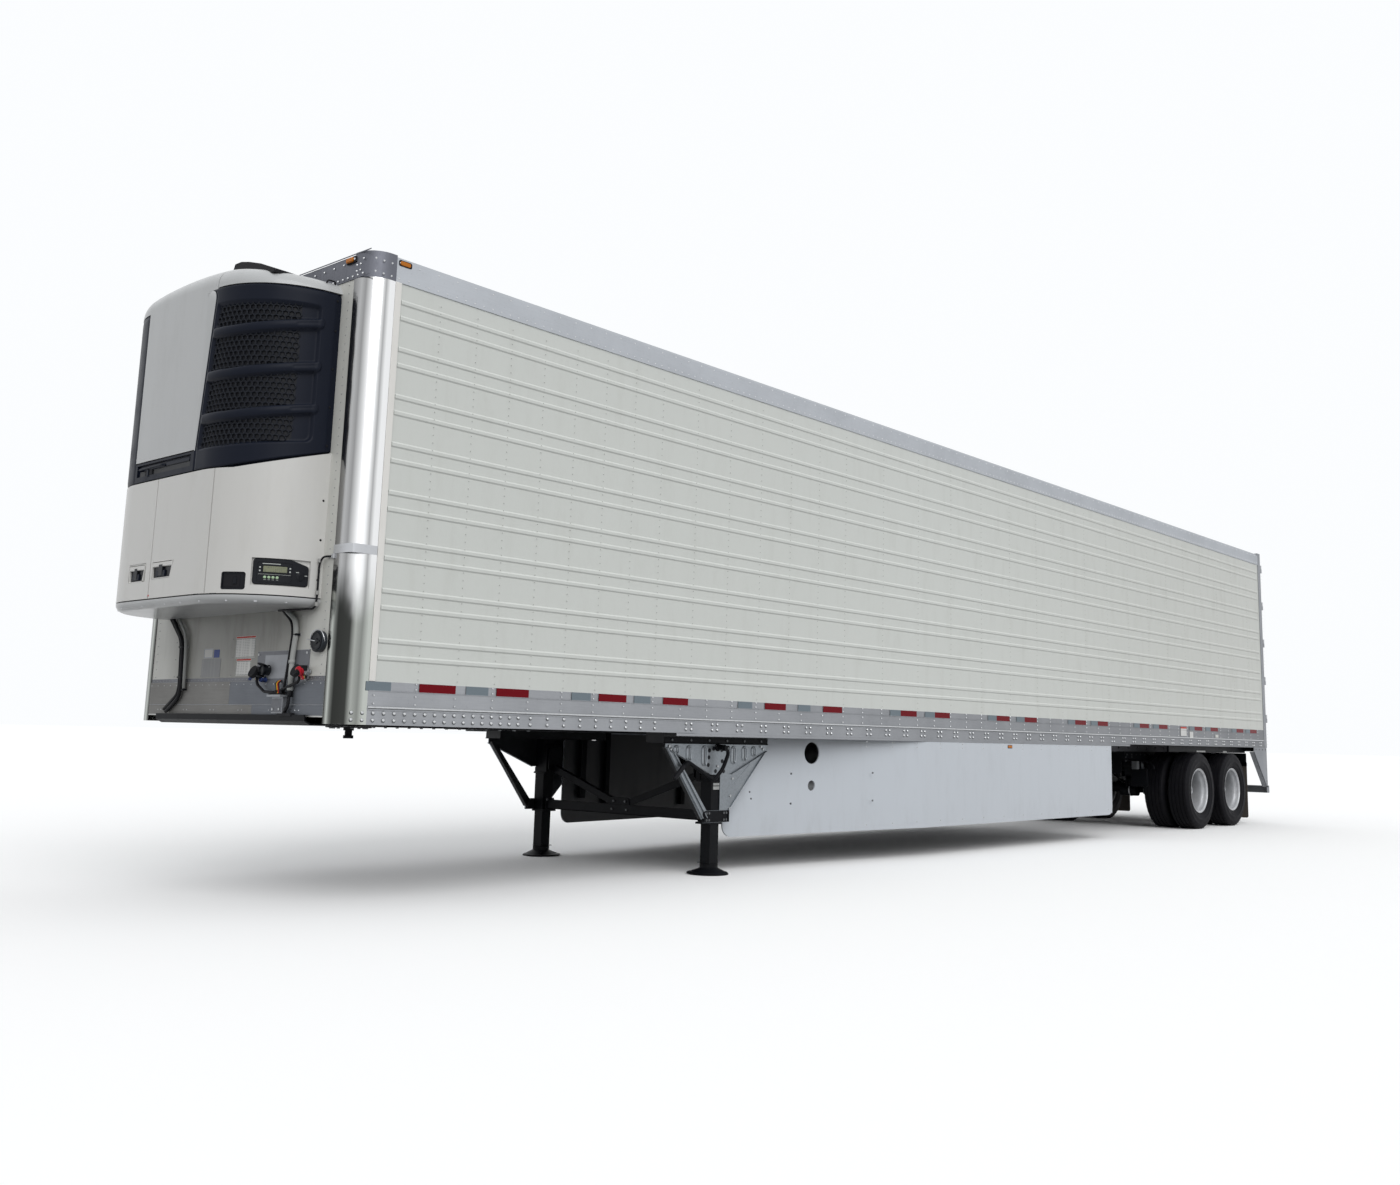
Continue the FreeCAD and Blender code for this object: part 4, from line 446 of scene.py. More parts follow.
class Piece:
    """A detail piece: one mesh built up part by part, each part with its finish, riding on one body."""

    def __init__(self, name, body="trailer"):
        self.name = name
        self.body = body
        self.shape = bmesh.new()
        self.finishes = []

    def add(self, points, faces, made, smooth=False):
        if made not in self.finishes:
            self.finishes.append(made)
        corners = [self.shape.verts.new(point) for point in points]
        for face in faces:
            new = self.shape.faces.new([corners[number] for number in face])
            new.material_index = self.finishes.index(made)
            new.smooth = smooth

    def rings(self, rings, made, smooth=True, closed=True, caps=True):
        """Skins rings of points one after another, and closes both ends."""
        count = len(rings[0])
        points = [point for ring in rings for point in ring]
        faces = []
        for row in range(len(rings) - 1):
            for number in range(count if closed else count - 1):
                following = (number + 1) % count
                faces.append((row * count + number, row * count + following, (row + 1) * count + following,
                              (row + 1) * count + number))
        if caps:
            faces += [tuple(reversed(range(count))), tuple(range(len(points) - count, len(points)))]
        self.add(points, faces, made, smooth)

    def slab(self, place, line, made, low=0, high=0.003, edge=0.001, smooth=False):
        """A plate from an outline on a place, with its outer edge broken."""
        edge = min(edge, abs(high - low) * 0.8)
        small = inner(line, edge)
        self.rings([[place(u, v, low) for u, v in line], [place(u, v, high - edge) for u, v in line],
                    [place(u, v, high) for u, v in small]], made, smooth)

    def box(self, place, u, v, w, made, edge=0.002):
        """A block between limits across, up and out."""
        self.slab(place, oblong(u[0], v[0], u[1], v[1]), made, w[0], w[1], edge)

    def frame(self, place, line, width, made, low=0, high=0.003, edge=0.001):
        """A raised border along the inside of an outline."""
        hole = inner(line, width)
        rings = [(line, low), (line, high - edge), (inner(line, edge), high), (inner(line, width - edge), high),
                 (hole, high - edge), (hole, low), (line, low)]
        self.rings([[place(u, v, depth) for u, v in ring] for ring, depth in rings], made, smooth=False, caps=False)

    def turned(self, place, profile, made, sides=24, smooth=True):
        """A turned shape about the out axis of a place, from (radius, out) steps."""
        self.rings([[place(u, v, out) for u, v in round_about(sides, radius)] for radius, out in profile], made, smooth)

    def boxes(self, place, made, edge, *rows):
        """Blocks of one finish from (from, to) across, up and out."""
        for row in rows:
            self.box(place, row[0:2], row[2:4], row[4:6], made, edge)

    def lamp(self, place, mount, lens, mount_made, lens_made):
        """A lamp: a rubber mount and a lens, each (half width, half height, corner, low, high)."""
        self.slab(place, pad(*mount[:3]), mount_made, *mount[3:])
        self.slab(place, pad(*lens[:3]), lens_made, *lens[3:])

    def tube(self, route, radius, made, sides=8, bend=0.03, steps=4):
        """A round bar or hose along a route, its corners eased by a bend radius."""
        route = [Vector(point) for point in route]
        line = [route[0]]
        for before, here, after in zip(route, route[1:], route[2:]):
            reach = min(bend, (before - here).length * 0.45, (after - here).length * 0.45)
            start = here + (before - here).normalized() * reach
            end = here + (after - here).normalized() * reach
            for step in range(steps + 1):
                t = step / steps
                line.append(start * (1 - t) ** 2 + here * 2 * t * (1 - t) + end * t ** 2)
        line.append(route[-1])
        ahead = (line[1] - line[0]).normalized()
        across = ahead.orthogonal().normalized()
        rings = []
        for number, point in enumerate(line):
            before = line[max(number - 1, 0)]
            after = line[min(number + 1, len(line) - 1)]
            ahead = (after - before).normalized()
            across = (across - ahead * across.dot(ahead)).normalized()
            other = ahead.cross(across)
            rings.append([point + (across * u + other * v) * radius for u, v in round_about(sides, 1)])
        self.rings(rings, made)

    def wrap(self, flat, place, step=0.015):
        """Lays a flat piece onto a curved place, cut into narrow strips so that it follows the curve."""
        lows = [vertex.co.x for vertex in flat.shape.verts]
        for number in range(int(min(lows) / step), int(max(lows) / step) + 1):
            cut = flat.shape.verts[:] + flat.shape.edges[:] + flat.shape.faces[:]
            bmesh.ops.bisect_plane(flat.shape, geom=cut, dist=1e-6, plane_co=(number * step, 0, 0), plane_no=(1, 0, 0))
        flat.shape.verts.index_update()
        points = [place(*vertex.co) for vertex in flat.shape.verts]
        for number, made in enumerate(flat.finishes):
            for smooth in (False, True):
                faces = [[vertex.index for vertex in face.verts] for face in flat.shape.faces
                         if face.material_index == number and face.smooth == smooth]
                if faces:
                    self.add(points, faces, made, smooth)
        for vertex in [vertex for vertex in self.shape.verts if not vertex.link_faces]:
            self.shape.verts.remove(vertex)
        flat.shape.free()

    def done(self, replaces=(), crease=None):
        """Makes the object, faces outward, and sets it on its body."""
        bmesh.ops.recalc_face_normals(self.shape, faces=self.shape.faces)
        mesh = bpy.data.meshes.new(self.name)
        self.shape.to_mesh(mesh)
        self.shape.free()
        for made in self.finishes:
            mesh.materials.append(made.material)
        if crease:
            mesh.set_sharp_from_angle(angle=math.radians(crease))
        thing = bpy.data.objects.new(self.name, mesh)
        bpy.context.collection.objects.link(thing)
        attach(thing, self.body)
        if replaces:
            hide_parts(*replaces)
        return thing


def node_tree(name, inputs):
    """An empty Geometry Nodes tree with named inputs, and a maker of its nodes."""
    tree = bpy.data.node_groups.new(name, "GeometryNodeTree")
    tree.interface.new_socket("Geometry", in_out="INPUT", socket_type="NodeSocketGeometry")
    tree.interface.new_socket("Geometry", in_out="OUTPUT", socket_type="NodeSocketGeometry")
    for label, kind in inputs:
        tree.interface.new_socket(label, in_out="INPUT", socket_type="NodeSocket" + kind)

    def make(kind, inputs=None, **settings):
        made = tree.nodes.new(kind)
        for setting, value in settings.items():
            setattr(made, setting, value)
        for key, value in (inputs or {}).items():
            if isinstance(value, bpy.types.NodeSocket):
                tree.links.new(value, made.inputs[key])
            else:
                made.inputs[key].default_value = value
        return made

    given = make("NodeGroupInput").outputs
    return tree, make, given


def finish_tree(make, shape, given):
    """Every tree ends the same way: the shape on each point, turned out along "facing" and upright along
    "upright", then real meshes with their finish."""
    out, top = (make("GeometryNodeInputNamedAttribute", {"Name": name}, data_type="FLOAT_VECTOR").outputs[0]
                for name in ("facing", "upright"))
    first = make("FunctionNodeAlignRotationToVector", {"Vector": out}, axis="Z").outputs[0]
    turn = make("FunctionNodeAlignRotationToVector", {"Rotation": first, "Vector": top}, axis="Y", pivot_axis="Z")
    stood = make("GeometryNodeInstanceOnPoints", {"Points": given["Geometry"], "Instance": shape.outputs[0],
        "Rotation": turn.outputs[0]})
    real = make("GeometryNodeRealizeInstances", {"Geometry": stood.outputs[0]})
    shaded = make("GeometryNodeSetMaterial", {"Geometry": real.outputs[0], "Material": given["Finish"]})
    make("NodeGroupOutput", {0: shaded.outputs[0]})


def studs_tree():
    """A low round or six-sided head on every point."""
    tree, make, given = node_tree("studs", (("Sides", "Int"), ("Foot", "Float"), ("Crown", "Float"),
        ("Height", "Float"), ("Finish", "Material")))
    head = make("GeometryNodeMeshCone", {"Vertices": given["Sides"], "Radius Top": given["Crown"],
        "Radius Bottom": given["Foot"], "Depth": given["Height"]})
    finish_tree(make, head, given)
    return tree


def comb_tree():
    """A six-sided ring of square bar on every point: side by side they are a honeycomb mesh."""
    tree, make, given = node_tree("honeycomb", (("Cell", "Float"), ("Bar", "Float"), ("Finish", "Material")))
    ring = make("GeometryNodeCurvePrimitiveCircle", {"Resolution": 6, "Radius": given["Cell"]})
    section = make("GeometryNodeCurvePrimitiveCircle", {"Resolution": 4, "Radius": given["Bar"]})
    bars = make("GeometryNodeCurveToMesh", {"Curve": ring.outputs[0], "Profile Curve": section.outputs[0]})
    finish_tree(make, bars, given)
    return tree


def grown(name, tree, points, values, made, body="trailer"):
    """Runs a tree on points of (place, facing, upright) and keeps the plain mesh."""
    seed = bpy.data.meshes.new(name)
    seed.from_pydata([point[0] for point in points], [], [])
    for label, part in (("facing", 1), ("upright", 2)):
        attribute = seed.attributes.new(label, "FLOAT_VECTOR", "POINT")
        attribute.data.foreach_set("vector", [number for point in points for number in point[part]])
    thing = bpy.data.objects.new(name, seed)
    bpy.context.collection.objects.link(thing)
    modifier = thing.modifiers.new(name, "NODES")
    modifier.node_group = tree
    values = dict(values, Finish=made.material)
    for socket in tree.interface.items_tree:
        if socket.in_out == "INPUT" and socket.name in values:
            modifier[socket.identifier] = values[socket.name]
    drawn = thing.evaluated_get(bpy.context.evaluated_depsgraph_get())
    mesh = bpy.data.meshes.new_from_object(drawn)
    thing.modifiers.remove(modifier)
    thing.data = mesh
    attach(thing, body)
    return thing


studs_shape = studs_tree()
comb_shape = comb_tree()


def studs(name, points, foot, height, made, body="trailer", crown=0.6, sides=7):
    """Rivets, bolt heads or nuts on points of (place, facing)."""
    up = Vector((0, 0, 1))
    full = []
    for place, out in points:
        out = Vector(out).normalized()
        top = up if abs(out.z) < 0.9 else Vector((1, 0, 0))
        full.append((place, out, top))
    return grown(name, studs_shape, full, {"Sides": sides, "Foot": foot, "Crown": foot * crown, "Height": height},
                 made, body)


def bolt_heads(name, points, foot, height, made, body="trailer"):
    """Six-sided bolt heads, crowned less than rivets."""
    studs(name, points, foot, height, made, body, crown=0.85, sides=6)


# ---------------------------------------------------------------- refrigeration unit
unit_nose, unit_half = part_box("unit_lower_panels")[1].x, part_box("unit_lower_panels")[1].y
unit_top, unit_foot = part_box("unit_upper_panel")[1].z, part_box("unit_bottom_pan")[0].z
unit_belt, unit_brow = (corner.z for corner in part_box("unit_grilles"))
centre_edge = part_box("unit_latch_band")[1].y          # near edge of the white centre panel


def unit_plan():
    """The unit's outline from above, from the middle of its nose round to the wall, every few millimetres."""
    half, depth = unit_half, unit_nose - (front - 0.004)
    line = rounded([(0, 0), (0, 0.303 * half, 3), (-0.01, half - 0.07, 0.5505 * half), (-depth, half),
                    (-depth, 0)], 0, 40, share=0.97)
    line = [(x, y) for x, y in line if x > -depth - 1e-6 and not (abs(x + depth) < 1e-6 and y < half - 1e-6)]
    length, plan = 0, []
    for number, (x, y) in enumerate(line):
        before, after = line[max(number - 1, 0)], line[min(number + 1, len(line) - 1)]
        length += math.dist(before, (x, y))
        along = Vector((after[0] - before[0], after[1] - before[1])).normalized()
        plan.append((length, unit_nose + x, y, along.y, -along.x))
    return plan


unit_line = unit_plan()


def between(value, key):
    """The plan's line at a value of one of its columns: (length, x, y, out x, out y)."""
    rising = unit_line[-1][key] > unit_line[0][key]
    for first, second in zip(unit_line, unit_line[1:]):
        if (first[key] <= value <= second[key]) if rising else (first[key] >= value >= second[key]):
            if abs(second[key] - first[key]) < 1e-9:
                continue
            t = (value - first[key]) / (second[key] - first[key])
            return [a + (b - a) * t for a, b in zip(first, second)]
    return list(unit_line[-1] if (value > unit_line[-1][key]) == rising else unit_line[0])


def reach_at_y(y):
    return math.copysign(between(abs(y), 2)[0], y)


def reach_at_x(x):
    return between(x, 1)[0]


def round_drop(radius, depth):
    """How far a rounded edge has fallen away at a depth past the start of its curve."""
    return radius - math.sqrt(max(radius ** 2 - depth ** 2, 0))


def on_unit(reach, z, out=0):
    """A point on the unit's skin: how far round from the middle of the nose, its height, and out of it."""
    _, x, y, nx, ny = between(abs(reach), 0)
    crest = unit_top - round_drop(4.95, y)
    drawn_in = 0
    for depth, radius in ((z - crest + 0.12, 0.12), (unit_foot + 0.05 - z, 0.05)):
        if depth > 0:
            drawn_in += round_drop(radius, depth)
    out -= drawn_in
    return Vector((x + nx * out, math.copysign(1, reach) * (y + ny * out), z))


def unit_out(reach):
    nx, ny = between(abs(reach), 0)[3:]
    return Vector((nx, math.copysign(1, reach) * ny, 0))


def at_unit(reach, z):
    """A place on the curved skin: across runs round the unit, up is up, and out leaves the skin."""
    return lambda u, v, w=0: on_unit(reach + u, z + v, w)


def climb(reach, slope=0.185):
    """How far the grille's lines have risen towards the wall."""
    return slope * max(0, unit_nose - 0.03 - between(abs(reach), 0)[1])


def eased(value, low, high):
    t = min(max((value - low) / (high - low), 0), 1)
    return t * t * (3 - 2 * t)


# the near grille: ends of its window, mesh and bars, heights of its bars, and the window's own measures
wall_end, window_end = unit_line[-1][0], reach_at_x(front + 0.125)
mesh_end, bar_end = reach_at_x(front + 0.235), reach_at_x(front + 0.105)
bars = ((2.966, 3.035), (3.238, 3.308), (3.518, 3.588))
floor_depth, window_top = 0.0265, 3.742
panel_reach = reach_at_y(centre_edge)
slant = [0, 0.004, 0.008, 0.016, 0.026, 0.032, 0.036, 0.04]
columns, window_columns = 120, 90


def window_foot(rise):
    """The window's lower edge, where the grille's lines have risen by so much."""
    return 2.806 + rise * 0.7


def edge_line(z):
    """Where the white panel stops: it widens upward, with a rounded top corner."""
    y = 0.336 + 0.1 * min(max((z - unit_belt - 0.13) / 1, 0), 1.1)
    return reach_at_y(y - round_drop(0.07, max(z - (unit_brow - 0.07), 0)) * 0.8)


def levels(reach):
    """Heights of the rows at a reach: the frame's foot, the window, the bars, the brow."""
    rise = climb(reach)
    keys = [unit_belt + climb(reach, 0.27), window_foot(rise)]
    for low, high in bars:
        keys += [edge + rise + off for edge, off in ((low, -0.004), (low, 0.006), (high, -0.008), (high, 0.002))]
    keys += [window_top, unit_brow]
    heights = []
    for low, high, count in zip(keys, keys[1:], [10] + [18, 1, 6, 1, 22, 1, 6, 1, 22, 1, 6, 1] + [8, 10]):
        heights += [low + (high - low) * n / count for n in range(count)]
    return heights + [keys[-1]]


def reach_of(column, z):
    """How far round a column stands at a height: the panel's edge, its slanting fold, the window, the frame."""
    if column == 0:
        return panel_reach
    edge = max(edge_line(z), panel_reach + 0.001)
    if column <= len(slant):
        return edge + slant[column - 1]
    if column <= window_columns:
        share = (column - len(slant)) / (window_columns - len(slant))
        return edge + slant[-1] + (window_end - edge - slant[-1]) * share
    return window_end + (wall_end - window_end) * (column - window_columns) / (columns - window_columns)


def grille_depth(reach, z, edge):
    """The grille's depth in or out of the unit's skin: the window's floor, the louvre bars and the wall bevel."""
    rise = climb(reach)
    du = min(reach - edge - 0.03, window_end - reach)
    dv = min(z - window_foot(rise), window_top - z)
    corner = 0.05 if reach > (edge + window_end) / 2 and z < 3.2 else 0.025
    inside = corner - math.hypot(max(corner - du, 0), max(corner - dv, 0)) if du < corner and dv < corner \
        else min(du, dv)
    window = eased(inside, 0, 0.012)
    bar = 0
    for foot, head in bars:
        middle, half = (foot + head) / 2 + rise, (head - foot) / 2
        round_end = math.sqrt(max(0, 1 - max(0, (reach - bar_end + half) / half) ** 2))
        covered = 1 - eased(abs(z - middle), half * round_end * 0.86, half * round_end + 0.001)
        bulge = 0.011 * max(0, 1 - ((z - middle) / half) ** 2) * eased(reach, edge + 0.02, edge + 0.05)
        slot = 0.004 * (abs(z - middle - 0.004) < 0.009 and mesh_end - 0.03 < reach < bar_end - 0.02)
        bar = max(bar, covered * (floor_depth + bulge - slot) if reach < bar_end else 0)
    bevel = 0.012 * eased(reach, wall_end - 0.05, wall_end)
    return -floor_depth * window + max(bar * window, bar if reach > window_end - 0.03 else 0) - bevel


def past_corner(reach, z, radius):
    """Whether a point lies outside the mesh's rounded lower corner."""
    return math.hypot(max(reach - mesh_end + 0.07, 0), max(window_foot(climb(reach)) + 0.08 - z, 0)) > radius


def to_core(point, distance=0.024):
    """A point moved level towards the unit's middle."""
    return point + (Vector((front, 0, point.z)) - point).normalized() * distance


def grille_point(row, column):
    """One point of the near grille and what it is part of: white panel, mesh or navy frame."""
    reach = panel_reach
    for _ in range(2):
        z = levels(reach)[row]
        reach = reach_of(column, z)
    depth = -0.006 if 1 < column <= 3 else grille_depth(reach, z, edge_line(z))
    kind = "navy"
    if column <= 1 and z > unit_belt + 0.137:
        kind = "white"
    elif depth < -floor_depth * 0.9 and reach < mesh_end and not past_corner(reach, z, 0.075):
        kind = "mesh"
    return on_unit(reach, z, min(depth, 0.011)), kind


def grille_skin():
    """The near corner's moulded grille: a framed window, three louvre bars that rise to the wall, and beside it
    the white centre panel's slanting edge; and the far corner's trim, as plain as it is."""
    piece = Piece("unit_grille_skin")
    rows, count = len(levels(0.5)), columns + 1
    grid = [[grille_point(row, column) for column in range(count)] for row in range(rows)]
    points = [point for line in grid for point, kind in line]
    faces = {"white": [], "mesh": [], "navy": []}
    for row in range(rows - 1):
        for column in range(columns):
            kinds = [grid[r][c][1] for r in (row, row + 1) for c in (column, column + 1)]
            kind = "white" if column < 1 and "white" in kinds else "mesh" if kinds.count("mesh") > 2 else "navy"
            first = row * count + column
            faces[kind].append((first, first + 1, first + count + 1, first + count))
    corners = [piece.shape.verts.new(point) for point in points]
    for number, (kind, made) in enumerate((("white", unit_grey), ("mesh", mesh_black), ("navy", navy))):
        piece.finishes.append(made)
        for face in faces[kind]:
            new = piece.shape.faces.new([corners[corner] for corner in face])
            new.material_index = number
            new.smooth = True
    # folded rims along the foot, the brow and the wall
    for rim in (range(count), range((rows - 1) * count, rows * count), range(columns, rows * count, count)):
        back = [piece.shape.verts.new(to_core(points[number])) for number in rim]
        for number in range(len(rim) - 1):
            new = piece.shape.faces.new([corners[rim[number]], corners[rim[number + 1]], back[number + 1],
                back[number]])
            new.material_index = 2
    far_start, steps = -reach_at_y(0.464), 60
    rings = []
    for row in range(41):
        z = unit_belt + (unit_brow - unit_belt) * row / 40
        rings.append([on_unit(far_start + (-wall_end - far_start) * n / steps, z, -0.003 * (n in (0, steps)) - 0.003
            * (row in (0, 40))) for n in range(steps + 1)])
    piece.rings([[to_core(point) for point in rings[0]]] + rings + [[to_core(point) for point in rings[-1]]], navy,
                closed=False, caps=False)
    piece.done(replaces=["unit_grilles"])


def grille_mesh():
    """The honeycomb mesh behind the louvre bars, one cell to a point."""
    cells, pitch = [], 0.0385
    for row, z in enumerate(every(pitch * math.sqrt(3) / 2, 2.8, window_top + 0.01)):
        for reach in every(pitch, reach_at_y(0.34) + (pitch / 2 if row % 2 else 0), mesh_end - 0.012):
            rise = climb(reach)
            in_bar = any(foot + rise + 0.02 < z < head + rise - 0.02 for foot, head in bars)
            below = z < window_foot(rise) + 0.004
            if not in_bar and not below and not past_corner(reach, z, 0.066) and reach > edge_line(z) + 0.036:
                cells.append((on_unit(reach, z, -0.018), unit_out(reach), (0, 0, 1)))
    grown("unit_grille_mesh", comb_shape, cells, {"Cell": pitch / math.sqrt(3) - 0.0006, "Bar": 0.0042}, mesh_comb)


mesh_comb = moulded("mesh_comb", (0.012, 0.014, 0.02), rough=0.42)
grille_skin()
grille_mesh()


bezel_black = moulded("bezel_black", (0.007, 0.008, 0.011), rough=0.3, grain=500, strength=0.08)
key_pale = moulded("key_pale", (0.5, 0.52, 0.5), rough=0.4)
key_green = moulded("key_green", (0.38, 0.52, 0.34), rough=0.35)
signal_red = moulded("signal_red", (0.42, 0.012, 0.02), rough=0.35)
recess = -0.0135                                         # depth of the hollows let into the unit's panels


def display_glass():
    """A reflective liquid crystal display: faint rows of darker segments under gloss."""
    f = Finish("display_green", specular=0.5, coat=1, coat_roughness=0.05)
    rows = ((f.z * 90) % 1 > 0.45) * ((f.y * 210 + f.x * 210) % 1 > 0.35)
    f.set(base_color=f.blend(rows * f.noise(60, 2).ramp(0.45, 0.5) * 0.7, (0.14, 0.15, 0.07), (0.05, 0.055, 0.03)),
          roughness=f.noise(200, 2) * 0.1 + 0.2)
    return f


display_green = display_glass()


def control_panel(piece):
    """A black bezel with a display, keys and a switch, all blank."""
    start = reach_at_x(front + 0.382)
    wide = reach_at_x(front + 0.078) - start
    share = wide * 0.6                                   # the display's panel
    flat = Piece("flat")
    flat.slab(plain, rounded([(0.004, 0.004), (wide - 0.004, 0.004), (wide - 0.004, 0.128), (wide * 0.66, 0.164),
        (0.004, 0.164)], 0.02, 6), bezel_black, recess, -0.003, 0.004)
    panel = shift(plain, 0.03, 0.018)
    flat.frame(panel, oblong(0, 0, share, 0.125, 0.012), 0.0035, bezel_black, -0.003, -0.0005)
    flat.slab(panel, oblong(0.036, 0.062, share - 0.03, 0.1, 0.003), display_green, -0.003, -0.0012)
    flat.frame(panel, oblong(0.032, 0.058, share - 0.026, 0.104, 0.004), 0.004, bezel_black, -0.003, 0)
    for across in (0.017, share - 0.013):
        for level in (0.069, 0.09):
            flat.turned(shift(panel, across, level), [(0.0055, -0.003), (0.0055, -0.001), (0.004, 0)], key_pale, 12)
    for number in range(4):
        across = 0.048 + 0.024 * number
        flat.turned(shift(panel, across, 0.03), [(0.009, -0.003), (0.009, -0.0005), (0.0065, 0.001)], key_green, 16)
        flat.slab(panel, oblong(across - 0.006, 0.014, across + 0.007, 0.0165), key_pale, -0.003, -0.0015)
    flat.slab(panel, oblong(0.008, 0.048, share - 0.008, 0.0495), key_pale, -0.003, -0.0015, 0.0003)
    flat.slab(panel, oblong(0.03, 0.111, share - 0.07, 0.1155), key_pale, -0.003, -0.0015, 0.0003)
    switch = shift(plain, wide * 0.84, 0.062)
    flat.turned(switch, [(0.026, -0.0035), (0.026, -0.001), (0.023, 0), (0.0001, 0)], bezel_black)
    flat.box(switch, (-0.005, 0.005), (-0.018, 0.018), (0, 0.006), bezel_black)
    for tilt in (0.3, 2.2):
        mark = shift(plain, wide * 0.84 + 0.034 * math.cos(tilt), 0.062 + 0.034 * math.sin(tilt))
        flat.slab(mark, pad(0.009, 0.002), key_pale, -0.0035, -0.002, 0.0003)
    piece.wrap(flat, at_unit(start, 1.945))


def controller():
    """The control panel let into the near lower panel, and the paddle latch beside it."""
    piece = Piece("unit_controller")
    control_panel(piece)
    wide = reach_at_y(0.81) - reach_at_y(0.688)
    flat = Piece("flat")
    flat.slab(plain, oblong(0.002, 0, wide - 0.002, 0.105, 0.012, 6), bezel_black, recess, -0.006, 0.003)
    flat.frame(plain, oblong(0, -0.002, wide, 0.107, 0.014, 6), 0.007, bezel_black, -0.008, 0.002, 0.002)
    flat.slab(plain, oblong(0.014, 0.012, wide - 0.03, 0.09, 0.006), rubber_black, -0.007, -0.003, 0.002)
    flat.box(plain, (wide * 0.52, wide * 0.66), (0.03, 0.078), (-0.006, 0.003), bezel_black, 0.003)
    piece.wrap(flat, at_unit(reach_at_y(0.688), 1.914))
    piece.done()


def handle_pockets():
    """Cup handles of the far panels, the latch band's handle, seam dot and the lower clips."""
    piece = Piece("unit_handles")
    for y0, y1, z0, z1 in ((-0.405, -0.176, 2.003, 2.12), (-0.092, 0.19, 2.012, 2.126)):
        wide, tall = reach_at_y(y1) - reach_at_y(y0), z1 - z0
        flat = Piece("flat")
        cup = rounded([(0.012, 0), (wide - 0.03, 0), (wide - 0.002, tall), (0, tall)], 0.012, 5)
        flat.slab(plain, cup, bezel_black, recess, -0.011, 0.002)
        flat.frame(plain, cup, 0.006, unit_white, -0.013, 0.0015, 0.0015)
        for u0, u1, v0, v1, top, made, edge in ((0.01, wide - 0.012, tall * 0.66, tall - 0.008, 0.001, unit_white,
                0.004), (wide * 0.22, wide * 0.62, 0.014, tall * 0.46, -0.001, navy, 0.003), (wide * 0.34, wide * 0.52,
                0.02, tall * 0.8, 0.002, bezel_black, 0.003)):
            flat.box(plain, (u0, u1), (v0, v1), (-0.012, top), made, edge)
        piece.wrap(flat, at_unit(reach_at_y(y0), z0))
    wide = reach_at_y(0.285) - reach_at_y(-0.42)
    flat = Piece("flat")
    flat.slab(plain, oblong(0.012, 0.004, wide - 0.012, 0.048, 0.01), bezel_black, recess, -0.009, 0.003)
    flat.slab(plain, oblong(wide * 0.55, 0.046, wide - 0.012, 0.072, 0.008), navy, recess, -0.002, 0.003)
    flat.box(plain, (0.1, 0.2), (0.006, 0.046), (-0.012, -0.001), rubber_black, 0.004)
    flat.box(plain, (0.135, 0.16), (0, 0.052), (-0.001, 0.005), navy, 0.003)
    band = at_unit(reach_at_y(-0.42), 2.703)
    piece.wrap(flat, band)
    piece.tube([band(0.03, 0.056, -0.012), band(0.04, 0.056, 0.008), band(wide * 0.25, 0.057, 0.008),
                band(wide * 0.5, 0.058, 0.008), band(wide * 0.53, 0.058, -0.012)], 0.007, navy, 8, 0.01)
    piece.turned(at_unit(reach_at_y(-0.1045), 1.908), [(0.007, -0.001), (0.007, 0.001), (0.004, 0.0025), (0, 0.003)],
                 signal_red, 12)
    for y in (0.5, 0.64):
        piece.box(at_unit(reach_at_y(y), 1.886), (-0.025, 0.025), (-0.004, 0.004), (-0.004, 0.001), rubber_black, 0.001)
    piece.done()


def unit_screws():
    """Screws under the bottom edge, and up the unit's flanks near the wall."""
    reaches = [reach_at_y(y) for y in (-0.9, -0.72, -0.5, -0.2, 0.1, 0.3, 0.52, 0.72, 0.86)]
    reaches += [hand * reach_at_x(front + x) for x in (0.02, 0.2, 0.36) for hand in (1, -1)]
    studs("unit_pan_screws", [(on_unit(reach, 1.846, -0.001), unit_out(reach) - Vector((0, 0, 1.6))) for reach
        in reaches], 0.007, 0.004, bright_steel)
    flank = [(reach_at_x(front + 0.03), z) for z in (2.85, 3.1, 3.35, 3.6, 3.8)]
    flank += [(reach_at_x(front + 0.025), z) for z in (2, 2.25, 2.5)]
    studs("unit_side_screws", [(on_unit(hand * reach, z), unit_out(hand * reach)) for reach, z in flank for hand
        in (1, -1)], 0.008, 0.004, rubber_black)


def unit_plumbing():
    """Drain hose down the near flank with its clips and bracket, and the lifting lugs on the cover."""
    piece = Piece("unit_plumbing")
    y = unit_half + 0.012
    piece.tube([(front + 0.001, side - 0.19, 2.145), (front + 0.02, y + 0.02, 2.145), (front + 0.03, y, 2.1),
                (front + 0.03, y, 1.9), (front + 0.028, y - 0.01, 1.84), (front + 0.03, y - 0.04, 1.822),
                (front + 0.05, 0.8, 1.822), (front + 0.06, 0.62, 1.823)], 0.0065, rubber_black, 8, 0.04)
    for z in (2.12, 1.92, 1.85):
        piece.turned(upward(front + 0.03, y, z), [(0.011, -0.012), (0.011, 0.012)], grey_plastic, 12, False)
    piece.box(on_nose, (side - 0.2, side - 0.17), (2.13, 2.16), (-0.003, 0.012), bright_steel)
    for hand in (1, -1):
        lug = placed((front + 0.055, hand * (unit_half - 0.055), 3.925), (1, 0, 0), (0, hand * 0.55, 0.83))
        piece.tube([lug(-0.03, -0.02), lug(-0.03, 0.015), lug(0.03, 0.015), lug(0.03, -0.02)], 0.005, rubber_black,
                   8, 0.02)
    piece.done()


controller()
handle_pockets()
unit_screws()
unit_plumbing()


# ---------------------------------------------------------------- nose wall
sill_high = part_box("front_sill")[1].z
ahead = (1, 0, 0)


